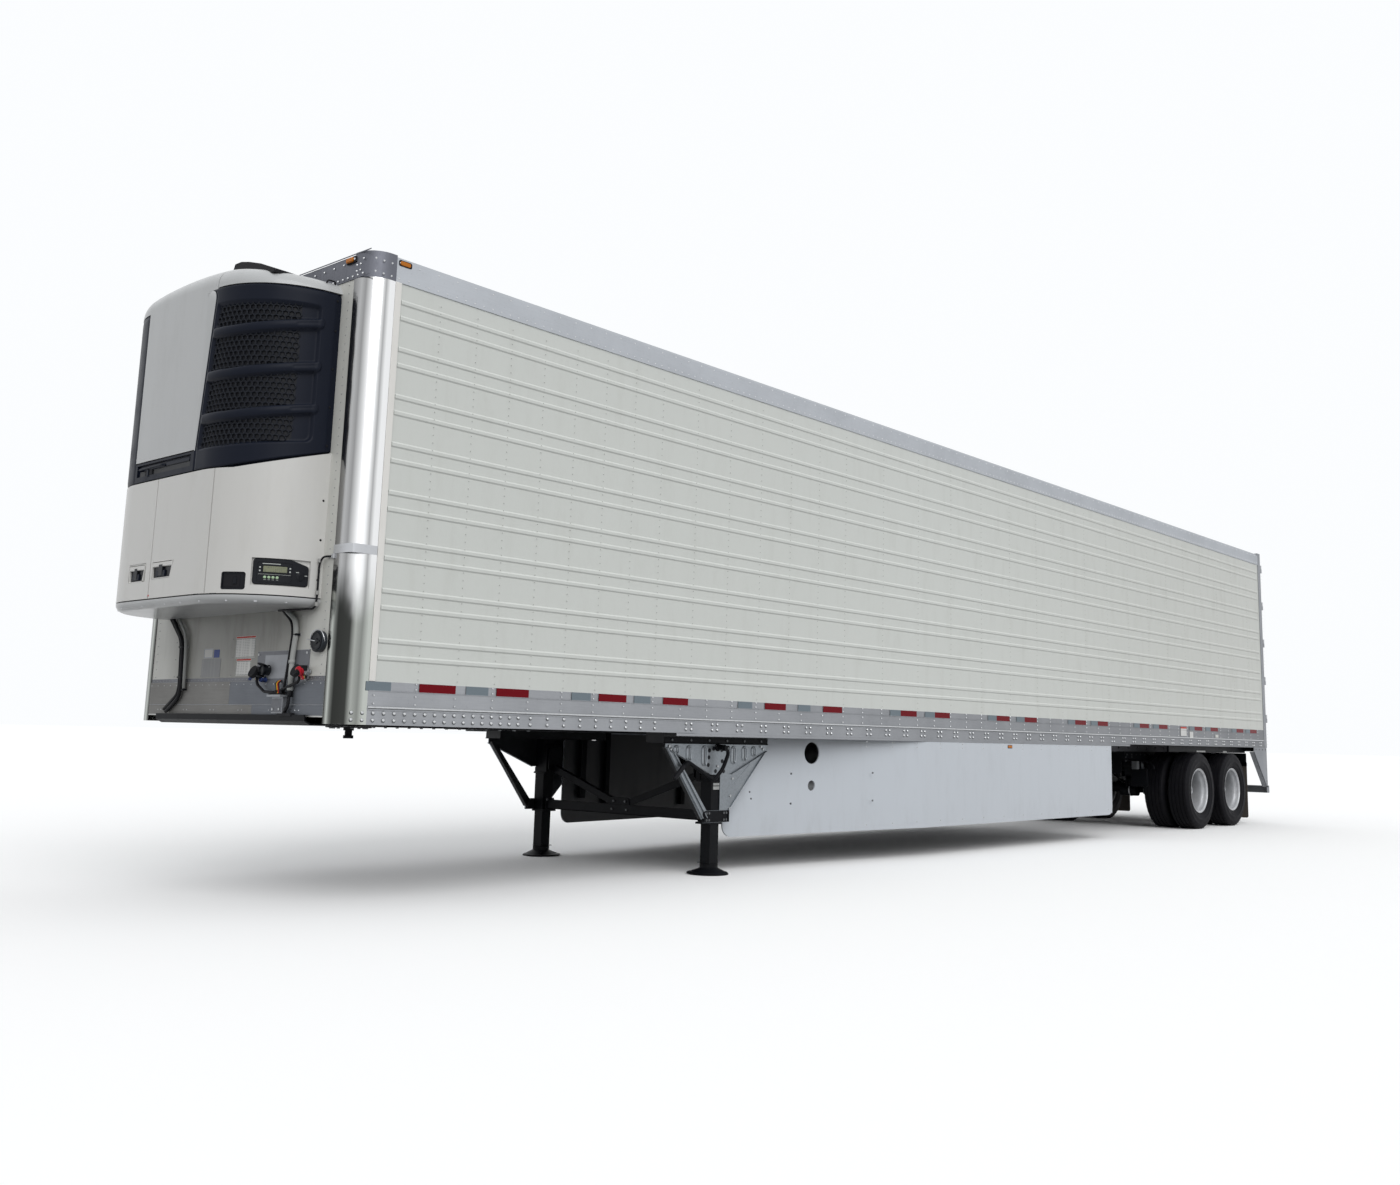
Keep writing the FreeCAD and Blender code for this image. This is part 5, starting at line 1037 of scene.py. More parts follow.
def label_print(name, header, ground=(0.72, 0.72, 0.7), ink=(0.25, 0.25, 0.25), lines=95):
    """A decal with a coloured header band and faint rows that stand for print: nothing can be read."""
    f = Finish(name, specular=0.4)
    rows = ((f.z * lines) % 1 > 0.55) * (f.noise(70, 1, stretch=(1, 1, 0.02)) > 0.42)
    tone = f.blend(rows * 0.5, ground, ink)
    f.set(base_color=f.blend(f.noise(8, 4).ramp(0.4, 0.9) * 0.2, tone, header), roughness=f.noise(40) * 0.2 + 0.35)
    return f


decal_print = label_print("decal_print", (0.6, 0.6, 0.57))
decal_red = moulded("decal_red", (0.5, 0.05, 0.03), rough=0.4)
decal_blue = moulded("decal_blue", (0.04, 0.07, 0.25), rough=0.4)
decal_white = moulded("decal_white", (0.62, 0.62, 0.6), rough=0.4)
plate_etched = label_print("plate_etched", (0.3, 0.3, 0.3), (0.26, 0.265, 0.27), (0.12, 0.12, 0.13), 150)
# painted shade: the sill facings darkened to the shade they lie in under the unit
sill_pale_shaded = aluminium("sill_pale_shaded", (0.2, 0.197, 0.19), rough=0.5, grain=(40, 1, 40), spots=0.1)
sill_blue_shaded = aluminium("sill_blue_shaded", (0.14, 0.15, 0.168), rough=0.42, grain=(40, 1, 40), spots=0.1)
grey_plate = aluminium("grey_plate", (0.17, 0.175, 0.19), rough=0.45, grain=(10, 10, 10), spots=0.05)
cast_grey = galvanised("cast_grey", (0.34, 0.35, 0.36), 0.45)
coupling_blue = moulded("coupling_blue", (0.02, 0.035, 0.12), rough=0.35)
coupling_red = moulded("coupling_red", (0.42, 0.012, 0.025), rough=0.35)
wire_yellow = moulded("wire_yellow", (0.6, 0.38, 0.03), rough=0.4)
wire_red = moulded("wire_red", (0.45, 0.03, 0.02), rough=0.4)
rivet_metal = galvanised("rivet_metal", (0.42, 0.43, 0.44), 0.35)
wall_rivet = galvanised("wall_rivet", (0.3, 0.31, 0.31), 0.5)
drum_grey = moulded("drum_grey", (0.035, 0.04, 0.047), rough=0.35)
pipe_grey = moulded("pipe_grey", (0.36, 0.37, 0.36), rough=0.45)
brass = aluminium("brass", (0.5, 0.36, 0.14), rough=0.32, grain=(20, 20, 20))


def nose_rivets():
    """Rivets of the front wall's posts and panel joints, and of the sill."""
    points = []
    for y in (-1.06, -0.79, -0.02, 0.79, 1.055):
        for z in every(0.055 if abs(y) > 1 else 0.12, sill_high + 0.04, 3.9):
            if abs(y) > 1 or z <= 1.84:
                points.append((on_wall(y, z), ahead))
    points += [(on_wall(y, sill_high + 0.012), ahead) for y in every(0.045, -1.07, 1.08)]
    studs("nose_wall_rivets", points, 0.0045, 0.003, wall_rivet)
    points = [(on_nose(y + off, 1.199), ahead) for y in (-0.95, -0.584, -0.219, 0.144, 0.519, 0.823)
              for off in (-0.022, 0.022)]
    points += [(on_nose(y, 1.365), ahead) for y in every(0.09, -1.09, 1.1)]
    studs("nose_sill_rivets", points, 0.0055, 0.0035, rivet_metal)


def nose_plates():
    """Sill facing, seams, blank decals and the plate behind the couplings with its bolts."""
    piece = Piece("nose_plates")
    for place, y0, y1, z0, z1, top, made in ((on_nose, -1.108, -0.008, 1.236, 1.384, 0.0022, sill_pale_shaded),
            (on_nose, -0.006, 1.108, 1.236, 1.384, 0.0022, sill_blue_shaded), (on_nose, -1.108, 0.285, 1.168, 1.232, 0.0016,
            sill_pale_shaded), (on_nose, 0.287, 1.108, 1.168, 1.232, 0.0016, sill_blue_shaded), (on_nose, -1.108, 1.108, 1.2325,
            1.2355, 0.003, dull_metal), (on_wall, -1.108, 1.108, 1.386, 1.41, 0.0018, grey_plate)):
        piece.box(place, (y0, y1), (z0, z1), (0, top), made, 0.0005)
    header = 0.014
    for y0, y1, z0, z1 in ((0.017, 0.265, 1.539, 1.683), (0.041, 0.228, 1.423, 1.535)):
        piece.box(on_wall, (y0, y1), (z0, z1), (0, 0.0012), decal_print, 0.0003)
        piece.box(on_wall, (y0 + 0.003, y1 - 0.003), (z1 - header, z1 - 0.003), (0.001, 0.0018), decal_red, 0.0003)
        piece.frame(on_wall, oblong(y0 + 0.004, z0 + 0.004, y1 - 0.004, z1 - header - 0.004), 0.002, bezel_black,
                    0.001, 0.0018, 0.0003)
    piece.box(on_wall, (-0.262, -0.189), (1.548, 1.602), (0, 0.0012), decal_blue, 0.0003)
    piece.box(on_wall, (-0.395, -0.275), (1.545, 1.612), (0, 0.0012), decal_white, 0.0003)
    piece.frame(on_wall, oblong(-0.392, 1.548, -0.278, 1.609), 0.002, decal_blue, 0.001, 0.0018, 0.0003)
    piece.box(on_wall, (-0.416, -0.163), (1.417, 1.54), (0, 0.0016), plate_etched, 0.0004)
    piece.box(on_wall, (-0.77, -0.42), (1.42, 1.43), (0, 0.0012), wall_white_shaded, 0.0003)
    piece.box(on_nose, (0.318, 0.918), (1.372, 1.572), (0.0025, 0.0042), grey_plate, 0.0008)
    for y in (0.335, 0.9):
        for z in (1.39, 1.555):
            piece.turned(shift(on_nose, y, z), [(0.009, 0.003), (0.009, 0.008), (0.006, 0.009), (0.0001, 0.009)],
                         rivet_metal, 6, False)
    piece.done(crease=40)


def document_drum():
    """The document canister: a short grey drum with a black screw lid, a wire bail and its clamp band."""
    piece = Piece("document_drum")
    can = forward(front - 0.004, 1.035, 1.62)
    piece.turned(can, [(0.0001, 0), (0.0655, 0), (0.0665, 0.004), (0.0665, 0.02), (0.0672, 0.022), (0.0672, 0.034),
                       (0.065, 0.036), (0.0001, 0.036)], drum_grey, 40)
    piece.turned(can, [(0.06, 0.035), (0.06, 0.04), (0.056, 0.043), (0.05, 0.043), (0.047, 0.039), (0.02, 0.038),
                       (0.018, 0.043), (0.0001, 0.043)], bezel_black, 40)
    for spot in round_about(20, 0.0585):
        piece.box(shift(can, *spot), (-0.003, 0.003), (-0.003, 0.003), (0.03, 0.042), bezel_black, 0.001)
    piece.box(can, (-0.04, 0.04), (-0.005, 0.005), (0.037, 0.044), bezel_black)
    bail = [(0.069, 0, 0.02), (0.078, 0.02, 0.032), (0.055, 0.06, 0.036)]
    piece.tube([can(*spot) for spot in bail + [(0, 0.074, 0.036)] + [(-u, v, w) for u, v, w in reversed(bail)]],
               0.0028, bright_steel)
    piece.tube([can(0, 0, 0.04), can(-0.03, 0.006, 0.05), can(-0.09, 0.014, 0.046)], 0.003, bright_steel, 6, 0.02)
    piece.done(replaces=["document_canister"], crease=40)


def socket(piece, place, radius, deep, ring):
    """An electrical socket's barrel with its rolled mouth."""
    piece.turned(place, [(radius * share, deep * far + out) for share, far, out in (
        (1.12, 0, 0), (1.12, 0, 0.006), (1, 0, 0.008), (1, 1, 0), (1.08, 1, 0.002), (1.08, 1, 0.008),
        (0.86, 1, 0.011), (0.8, 1, 0.004))] + [(0.0001, deep + 0.004)], ring, 28)


def glad_hand(piece, place, colour, hand):
    """An air line coupling: stem, round head with its rubber seal, latch plates, and base with two screws."""
    piece.turned(place, [(0.026, 0), (0.026, 0.018), (0.021, 0.022), (0.021, 0.04)], cast_grey, 20)
    head = placed(place(0, 0, 0.052), (0, 1, 0), (0.5 * hand, 0, 1))
    piece.turned(head, [(0.026, -0.012), (0.031, -0.008), (0.031, 0.008), (0.026, 0.012), (0.02, 0.013),
                        (0.019, 0.009), (0.0001, 0.009)], colour, 28)
    piece.turned(head, [(0.019, 0.009), (0.019, 0.0145), (0.01, 0.0145), (0.009, 0.006), (0.0001, 0.006)], rubber_black)
    piece.slab(head, rounded([(-0.012, -0.028), (0.012, -0.028), (0.016, -0.056), (-0.016, -0.056)], 0.006),
               colour, -0.004, 0.004, 0.002)
    piece.slab(head, rounded([(0.022, -0.016), (0.044, -0.01), (0.044, 0.018), (0.022, 0.02)], 0.008), colour,
               -0.003, 0.003, 0.0015)
    for across in (-0.034, 0.034):
        piece.turned(shift(place, across, 0), [(0.008, 0), (0.008, 0.006), (0.0001, 0.007)], rivet_metal, 6, False)
    piece.slab(place, pad(0.046, 0.014, 0.012), cast_grey, 0, 0.004)


def couplings():
    """Glad hands and the electrical sockets on the plate, hose nuts, wires down into the bracket."""
    piece = Piece("air_coupling_parts")
    base = front + 0.004
    glad_hand(piece, forward(base, 0.912, 1.437), coupling_red, 1)
    glad_hand(piece, forward(base, 0.372, 1.437), coupling_blue, -1)
    socket(piece, forward(base, 0.468, 1.452), 0.03, 0.045, bezel_black)
    socket(piece, forward(base, 0.44, 1.392), 0.016, 0.03, coupling_blue)
    for y, z, size in ((0.468, 1.452, 0.032), (0.44, 1.392, 0.018)):
        lid = placed((front + 0.062 - 0.01, y, z + size), (0, 1, 0), (1, 0, 0.35))
        piece.turned(lid, [(size * 1.05, -0.003), (size * 1.1, 0), (size * 0.9, 0.004), (0.0001, 0.005)], bezel_black)
        piece.tube([lid(-size * 0.8, -size * 1.1, 0), lid(size * 0.8, -size * 1.1, 0)], 0.004, rivet_metal)
    # bracket: black cable entry on top, bolts, and the wires rising from it
    entry = placed((front + 0.03, 0.628, 1.29), (0, 1, 0), (-1, 0, 0))
    piece.slab(entry, pad(0.062, 0.026, 0.01), rubber_black, 0, 0.014, 0.004)
    piece.turned(entry, [(0.016, 0.01), (0.016, 0.03), (0.012, 0.034), (0.0001, 0.034)], rubber_black, 16)
    for number, made in enumerate((rubber_black, wire_yellow, wire_red, rubber_black)):
        y = 0.6 + 0.011 * number
        piece.tube([(front + 0.006, y, 1.385), (front + 0.03, y + 0.004, 1.37), (front + 0.034, y + 0.03, 1.31),
                    (front + 0.032, y + 0.034, 1.292)], 0.004, made, 6, 0.02)
    piece.slab(forward(front + 0.03), oblong(0.575, 1.186, 0.691, 1.27, 0.006), grey_plate, 0, 0.002)
    for y in (0.595, 0.671):
        piece.turned(forward(front + 0.032, y, 1.205), [(0.009, 0), (0.009, 0.005), (0.0001, 0.007)], rivet_metal, 6,
                     False)
    piece.slab(on_nose, oblong(0.645, 1.16, 0.8, 1.184, 0.006), rubber_black, 0, 0.03, 0.004)
    for y in (0.372, 0.912):
        piece.turned(upward(front + 0.028, y, 1.404), [(0.012, -0.012), (0.012, 0.006), (0.009, 0.008)], brass, 6,
                     False)
    piece.done(crease=40)


def conduits():
    """Cables and grey conduits down the nose wall from the unit, with their saddles, ties and couplings."""
    piece = Piece("nose_conduit_runs")
    x = front + 0.018
    for made, radius, deep, route in ((rubber_black, 0.0125, 0, ((-0.862, 1.835), (-0.7, 1.69), (-0.68, 1.62),
            (-0.66, 1.36), (-0.68, 1.3), (-0.85, 1.2))), (rubber_black, 0.0125, 0.004, ((-0.83, 1.838), (-0.672, 1.685),
            (-0.652, 1.62), (-0.632, 1.36), (-0.65, 1.28), (-0.815, 1.185))),
            (pipe_grey, 0.0105, 0, ((-0.76, 1.84), (-0.632, 1.72), (-0.615, 1.62), (-0.597, 1.33))),
            (rubber_black, 0.008, 0, ((0.585, 1.838), (0.715, 1.755), (0.738, 1.68), (0.715, 1.52), (0.7, 1.42),
            (0.68, 1.3))), (pipe_grey, 0.0165, 0, ((0.625, 1.842), (0.755, 1.765), (0.778, 1.69), (0.752, 1.5),
            (0.757, 1.32))), (rubber_black, 0.014, 0, ((0.757, 1.34), (0.757, 1.28))), (rubber_black, 0.011, 0.006,
            ((0.757, 1.285), (0.757, 1.23), (0.72, 1.19)))):
        piece.tube([(x + deep, y, z) for y, z in route], radius, made, 12, 0.07)
    for y, z, wide in ((-0.665, 1.63, 0.042), (-0.65, 1.42, 0.042), (0.775, 1.67, 0.026), (-0.6, 1.335, 0.022)):
        piece.lamp(forward(front - 0.004, y, z), (wide, 0.009, 0.006, 0, 0.002, 0.0008),
                   (wide * 0.72, 0.007, 0.003, 0, 0.0385, 0.006), bright_steel, bezel_black)
    for y, z in ((0.7525, 1.5), (0.757, 1.335)):
        piece.turned(upward(x, y, z), [(0.0175, -0.012), (0.02, -0.01), (0.02, 0.01), (0.0175, 0.012)], pipe_grey, 16)
    piece.done(replaces=["nose_conduits"])


nose_rivets()
nose_plates()
document_drum()
couplings()
conduits()


# ---------------------------------------------------------------- body sides, roof and rails
def tape(name, colour):
    """Retroreflective tape: fine hexagon cells under a glossy film, scuffed a little."""
    f = Finish(name, specular=0.06, coat=0.03, coat_roughness=0.2)
    cell = f.cells(260, feature="DISTANCE_TO_EDGE").ramp(0.02, 0.1)
    scuff = f.noise(30, 5, 0.7).ramp(0.6, 0.8)
    tone = f.blend(cell * 0.35, colour, tuple(c * 1.35 for c in colour))
    f.set(base_color=f.blend(scuff * 0.1, tone, (0.1, 0.09, 0.085)), roughness=scuff * 0.25 + 0.25)
    return f


tape_red = tape("tape_red", (0.15, 0.003, 0.008))
tape_white = tape("tape_white", (0.17, 0.205, 0.23))
lens_amber = moulded("lens_amber", (0.5, 0.16, 0.015), rough=0.2, grain=120, strength=0.3)
lens_red = moulded("lens_red", (0.35, 0.01, 0.012), rough=0.2, grain=120, strength=0.3)
trim_white = painted("trim_white", (0.8, 0.785, 0.75), grime=0.1, rough=0.3)
side_rivet = painted("side_rivet", (0.5, 0.51, 0.49), grime=0.4, rough=0.35)
rivet_bright = galvanised("rivet_bright", (0.62, 0.63, 0.64), 0.28)
screw_dark = galvanised("screw_dark", (0.12, 0.125, 0.13), 0.5)
inch, foot, sheet_width = 0.0254, 0.3048, 1.2192
hands = ((on_side, 1), (on_far, -1))
header, top_rail_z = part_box("front_header"), 3.955


def along(hand, behind):
    """The across value on a side's place for a distance behind the nose wall."""
    return -(front - behind) if hand > 0 else front - behind


def stretch(hand, start, end):
    """The across limits on a side's place of a strip between two distances behind the nose wall."""
    return sorted((along(hand, start), along(hand, end)))


def tape_spans():
    """Where each length of tape starts and ends, in inches behind the nose wall."""
    spans = [(6.5, 13.6, tape_white), (21.9, 33, tape_red), (36.3, 43.5, tape_white), (46.2, 57.2, tape_red),
             (72.7, 79.9, tape_white), (83, 94, tape_red), (97.2, 104, tape_white), (109.4, 120.4, tape_red),
             (144, 151, tape_white), (157.5, 168.5, tape_red), (175.2, 182, tape_white), (189.3, 200.4, tape_red)]
    for start in (237.5, 261.4, 309.3, 333.4, 381.2, 404.6, 452.2, 475.7, 523, 546, 585.8, 608):
        spans += [(start - 7, start, tape_white), (start, start + 11, tape_red)]
    return spans


def side_tape():
    """Red and white conspicuity tape on the bottom rails, in the lengths and places of the real one."""
    piece = Piece("side_tape")
    for place, hand in hands:
        for start, end, made in tape_spans():
            piece.box(place, stretch(hand, start * inch, end * inch), (1.3265, 1.3835), (-0.0002, 0.0006), made, 0.0002)
    piece.done()


def columns_of_rivets():
    """The rivet columns of the side sheets: their distances behind the nose wall."""
    places = [21.4]
    for step, count in ((12, 7), (16, 6), (24, 22)):
        for _ in range(count):
            places.append(places[-1] + step)
    return [inch * place for place in places if inch * place < 15.6]


def rail_rivets(low, high):
    """Rivet rows of the rails: big heads in measured rows, a painted shadow as a dark rim under each, and columns every
    foot.
    """
    end = front - low - 0.03
    backs = [0.078 + foot / 4 * number for number in range(18)] + [1.481 + foot / 2 * number for number in range(9)]
    while backs[-1] + 0.34 < end:
        backs += [3.047 + foot / 2 * (len(backs) - 27), 3.107 + foot / 2 * (len(backs) - 27)]
    columns = [0.2274 + foot * number for number in range(int((end - 0.2274) / foot) + 1)]
    points, heads = [], []
    for hand in (1, -1):
        out = (0, hand, 0)
        heads += [((front - back, hand * side, z), out) for back in backs for z in (1.15, 1.193)]
        for back in columns:
            taped = any(start * inch - 0.012 < back < end * inch + 0.012 for start, end, _ in tape_spans())
            points += [((front - back, hand * side, z), out) for z in ((1.25, 1.3) if taped else (1.25, 1.3, 1.345,
                1.378))]
        step = 0
        while high - 0.02 - step * foot / 4 > low + 0.02:
            points += [((high - 0.02 - step * foot / 4, hand * side, z), out)
                       for z in ((top_rail_z,) if step % 2 else (top_rail_z, 4.06))]
            step += 1
    studs("rail_rivet_heads", heads, 0.0105, 0.005, rivet_bright, sides=8)
    # painted shadow: a dark disc just below each big head
    studs("rail_rivet_painted_shadow", [((x, y, z - 0.004), out) for (x, y, z), out in heads], 0.0118, 0.0009, screw_dark,
          sides=8, crown=0.95)
    studs("rail_rivets", points, 0.0068, 0.0035, rivet_bright, sides=6)


def side_rivets():
    """Rivets up the side sheets, along both rails, round the header and on the rear posts."""
    pitch = 0.051
    count = int((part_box("top_rails")[0].z - 1.42) / pitch)
    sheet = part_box("left_side_wall")[1].y
    points = [((front - back, hand * sheet, 1.41 + number * pitch), (0, hand, 0))
              for hand in (1, -1) for back in columns_of_rivets() for number in range(count)]
    studs("side_sheet_rivets", points, 0.0042, 0.0022, side_rivet, sides=6)
    rail_rivets(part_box("bottom_rails")[0].x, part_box("bottom_rails")[1].x)
    points = []
    for number in range(44):
        points += [((header[1].x, -1.2 + number * 2.4 / 43, z), ahead) for z in ((3.952, 4.05) if number % 2
            else (3.952,))]
    for hand in (1, -1):
        points += [((header[1].x + x, hand * header[1].y, z), (0, hand, 0)) for z in (top_rail_z, 4.04)
                   for x in (-0.03, -0.09, -0.15)]
        points += [((header[1].x, hand * y, z), ahead) for z in (4.02, 3.98) for y in (1.13, 1.17)]
    studs("header_rivets", points, 0.0075, 0.004, rivet_bright, sides=8)
    low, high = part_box("left_door_hinges")
    straps = [low.z + (high.z - low.z) * level / 4 for level in range(5)]
    heights = [1.17 + number * pitch for number in range(56)]
    heights = [z for z in heights if min(abs(z - strap) for strap in straps) >= 0.13]
    studs("rear_post_rivets", [((x, hand * side, z), (0, hand, 0)) for hand in (1, -1) for z in heights for x
        in (-8.235, -8.35)], 0.005, 0.003, rivet_metal, sides=6)


def corner_trim():
    """White strip beside each corner post, post bands, the lip along the bottom rail, lamps on the header."""
    piece = Piece("corner_trim")
    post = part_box("front_corner_posts")
    edge = side - 0.001
    for place, hand in hands:
        piece.box(place, stretch(hand, front - post[0].x, front - post[0].x + 0.045), (1.386, 3.93), (-0.0005, 0.002),
                  trim_white, 0.001)
        band = [(post[0].x + 0.004, hand * edge), (front - 0.05, hand * edge), (front - 0.014, hand * (side - 0.012)),
                (front + 0.0005, hand * (side - 0.05)), (front + 0.0005, hand * (side - 0.19))]
        low, high = 2.16, 2.16 + 0.055
        rows = [[Vector((x + (0.003 if abs(y) < side - 0.02 else 0), y + hand * 0.0025 * (abs(y) > side - 0.06),
                         level)) for x, y in band] for level in (low, high)]
        back = [[Vector((x - 0.003, y - hand * 0.004, level)) for x, y in band] for level in (high, low)]
        piece.rings(rows + back + [rows[0]], bright_steel, smooth=False, closed=False, caps=False)
        lamp = forward(header[1].x, hand * 1.07, 4.062)
        piece.slab(lamp, pad(0.055, 0.022, 0.01), rubber_black, 0, 0.007, 0.002)
        piece.slab(lamp, oblong(-0.045, -0.016, 0.03, 0.016, 0.01), lens_amber, 0.006, 0.02, 0.005)
        piece.turned(shift(lamp, 0.044, 0), [(0.008, 0.006), (0.008, 0.012), (0.005, 0.015)], bright_steel, 12)
        piece.lamp(shift(place, along(hand, 0.247), 4.06), (0.05, 0.02, 0.012, 0, 0.003, 0.001),
                   (0.04, 0.014, 0.012, 0.002, 0.007, 0.003), rubber_black, lens_amber)
    for z in (3.934, 4.098):
        piece.box(on_nose, (-1.28, 1.28), (z - 0.004, z + 0.004), (0, 0.002), cap_metal, 0.001)
    # lip and mouldings along the bottom rail, the small marker half way, and blank stickers near the tail
    for place, hand in hands:
        full = stretch(hand, 0.19, 16)
        # the thin screw_dark strip just under the bright moulding is a painted shadow
        for limits, low, high, out, top, made, edge in ((stretch(hand, 2.95, 11.19), 1.096, 1.118, -0.012, -0.001,
                rail_metal, 0.003), (full, 1.2215, 1.233, -0.0005, 0.006, rivet_bright, 0.003),
                (full, 1.2165, 1.2215, -0.0005, 0.001, screw_dark, 0.0005), (full, 1.326, 1.33, -0.0005, 0.0015,
                rail_metal, 0.0008)):
            piece.box(place, limits, (low, high), (out, top), made, edge)
        piece.lamp(shift(place, along(hand, 8.15), 1.062), (0.05, 0.018, 0.01, -0.012, -0.004, 0.002),
                   (0.042, 0.013, 0.01, -0.005, 0, 0.003), rubber_black, lens_amber)
        for back, wide, low, high, top, made in (
                (12.9, 0.2, 1.25, 1.37, 0.001, decal_print), (13.17, 0.12, 1.22, 1.31, 0.001, decal_print),
                (14.1, 0.11, 1.245, 1.285, 0.001, decal_white), (12.9, 0.2, 1.348, 1.37, 0.0014, decal_red)):
            spot = along(hand, back)
            piece.box(place, (spot - wide / 2, spot + wide / 2), (low, high), (-0.0003, top), made, 0.0002)
    piece.done(crease=40)


def roof_seams():
    """Overlap seams across the roof sheet with their rivet rows, and the gutter trim along the rails."""
    piece = Piece("roof_seams")
    low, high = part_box("roof")
    points = []
    for number in range(1, 13):
        x = high.x - number * sheet_width
        piece.box(placed((x, 0, high.z), (0, 1, 0), (-1, 0, 0)), (-1.2, 1.2), (-0.025, 0.025), (-0.0005, 0.0018),
                  side_white, 0.0006)
        points += [((x, -1.17 + row * 0.06, high.z + 0.0015), (0, 0, 1)) for row in range(40)]
    for hand in (1, -1):
        piece.box(upward(0, hand * (high.y - 0.045), high.z), (low.x + 0.01, high.x - 0.01), (-0.03, 0.03),
                  (-0.0005, 0.003), rail_metal, 0.001)
    studs("roof_rivets", points, 0.005, 0.0025, rivet_metal, sides=6)
    piece.done()


side_tape()
side_rivets()
corner_trim()
roof_seams()


# ---------------------------------------------------------------- landing gear and skirts
leg_x = (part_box("landing_leg_tubes")[0].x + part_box("landing_leg_tubes")[1].x) / 2
plate_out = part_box("landing_gear_brackets")[1].y        # outer face of the V plates
crank_z = 1.013
label_pale = label_print("label_pale", (0.4, 0.4, 0.38), (0.42, 0.43, 0.42), (0.2, 0.2, 0.2), 220)
stay_metal = galvanised("stay_metal", (0.3, 0.32, 0.34), 0.4)


def leg_parts(piece, hand, bolts, dark_bolts):
    """Embossings, slots, folded edges, bolted bands, labels and sleeves of one landing leg."""
    place = outward(hand, leg_x, hand * plate_out)

    def folded_edge(start, end, wide, made, low, high):
        start, end = (start[0] * hand, start[1]), (end[0] * hand, end[1])
        foot = Vector((end[0] - start[0], end[1] - start[1])).normalized() * wide
        line = [start, end, (end[0] - foot.y, end[1] + foot.x), (start[0] - foot.y, start[1] + foot.x)]
        piece.slab(place, line, made, low, high, 0.002)

    # pressed ovals on the V plate, their rims proud of the sheet
    for u, low in ((-0.49, 0.955), (-0.345, 0.9), (-0.16, 0.86), (0.2, 0.875), (0.34, 0.9), (0.46, 0.94)):
        oval = oblong(u * hand - 0.033, low, u * hand + 0.033, 1.025, 0.032, 6)
        piece.frame(place, oval, 0.01, zinc, -0.001, 0.008, 0.004)
        piece.slab(place, inner(oval, 0.016), stay_metal, -0.001, 0.002, 0.002)
    for u, z in ((-0.1, 0.985), (-0.105, 0.93), (-0.11, 0.87), (-0.05, 1), (0.05, 0.99), (0.06, 0.9),
                 (-0.02, 0.82), (0.08, 0.82)):
        piece.turned(shift(place, u * hand, z), [(0.017, -0.0005), (0.017, 0.0012), (0.0155, 0.0014), (0.0001, 0.0014)],
            bezel_black, 14)
    folded_edge((-0.615, 1), (-0.092, 0.793), 0.004, stay_metal, -0.002, 0.016)
    folded_edge((0.17, 0.793), (0.625, 0.983), 0.004, stay_metal, -0.002, 0.016)
    folded_edge((0.15, 0.502), (0.6, 0.968), 0.005, zinc, -0.001, 0.012)
    folded_edge((0.19, 0.7), (0.42, 0.88), 0.005, zinc, -0.001, 0.003)
    # fore stay: raised channel sides
    for off in (0, 0.05):
        line = [((u + off) * hand, z) for u, z in ((-0.607, 1.005), (-0.601, 1.008), (-0.159, 0.452), (-0.165, 0.448))]
        piece.slab(place, line, stay_metal, -0.001, 0.012, 0.002)
    # clamp band: black over the leg, flanged ends, bolts
    piece.slab(place, oblong(-0.155, 0.413, 0.15, 0.505, 0.01), leg_black, 0, 0.004)
    piece.boxes(place, leg_black, 0.002, (-0.155, -0.147, 0.413, 0.505, -0.03, 0.014),
                (0.142, 0.15, 0.413, 0.505, -0.03, 0.014))
    out = (0, hand, 0)
    dark_bolts.extend((place(u, z, 0), out) for u in (-0.12, -0.09, 0.09, 0.12) for z in (0.432, 0.486))
    dark_bolts.extend(((leg_x + 0.55 - number * 0.22, hand * plate_out, 1.065), out) for number in range(6))
    bolts.extend((place(u * hand, z, 0), out) for u, z in ((-0.58, 1.015), (-0.56, 0.99), (0.58, 1), (0.55, 1.02),
        (-0.02, 1.02), (0, 0.86), (0.16, 0.52), (0.165, 0.62), (0.19, 0.76)))
    # channel over the plates: black face with a rolled edge
    piece.box(place, (-0.64, 0.64), (1.041, 1.088), (0, 0.0035), leg_black, 0.001)
    piece.box(place, (-0.64, 0.64), (1.036, 1.044), (0, 0.012), leg_black, 0.003)
    # labels on the leg, sleeve rings, foot and its webs, gearbox cover
    piece.boxes(place, label_pale, 0.0003, (-0.035, 0.04, 0.705, 0.725, -0.0085, -0.0068),
                (-0.035, 0.04, 0.672, 0.698, -0.0085, -0.0068))
    post = upward(leg_x, hand * (plate_out - 0.08))
    for half, radius, low, high, edge in ((0.078, 0.008, 0.404 - 0.008, 0.404 + 0.008, 0.003),
            (0.078, 0.008, 0.74 - 0.008, 0.74 + 0.008, 0.003), (0.063, 0.008, 0.09, 0.094, 0.001)):
        piece.slab(post, pad(half, half, radius), leg_black, low, high, edge)
    piece.turned(post, [(0.165, 0.006), (0.168, 0.012), (0.163, 0.017), (0.15, 0.02), (0.142, 0.019)], leg_black, 40)
    for u, v in round_about(4, 1, 0.5):
        piece.slab(placed(post(0, 0, 0), (u, v, 0), (0, 0, 1)), [(0.06, 0.05), (0.13, 0.028), (0.125, 0.022),
            (0.05, 0.03), (0.045, 0.11)], leg_black, -0.004, 0.004)
    piece.slab(rightward(leg_x, hand * 0.889, 0.86), pad(0.07, 0.1, 0.02), leg_black, -0.006, 0.006, 0.003)
    piece.turned(shift(place, 0, crank_z), [(0.034, 0), (0.034, 0.006), (0.026, 0.01), (0.02, 0.022), (0.0001, 0.022)],
        leg_black, 20)


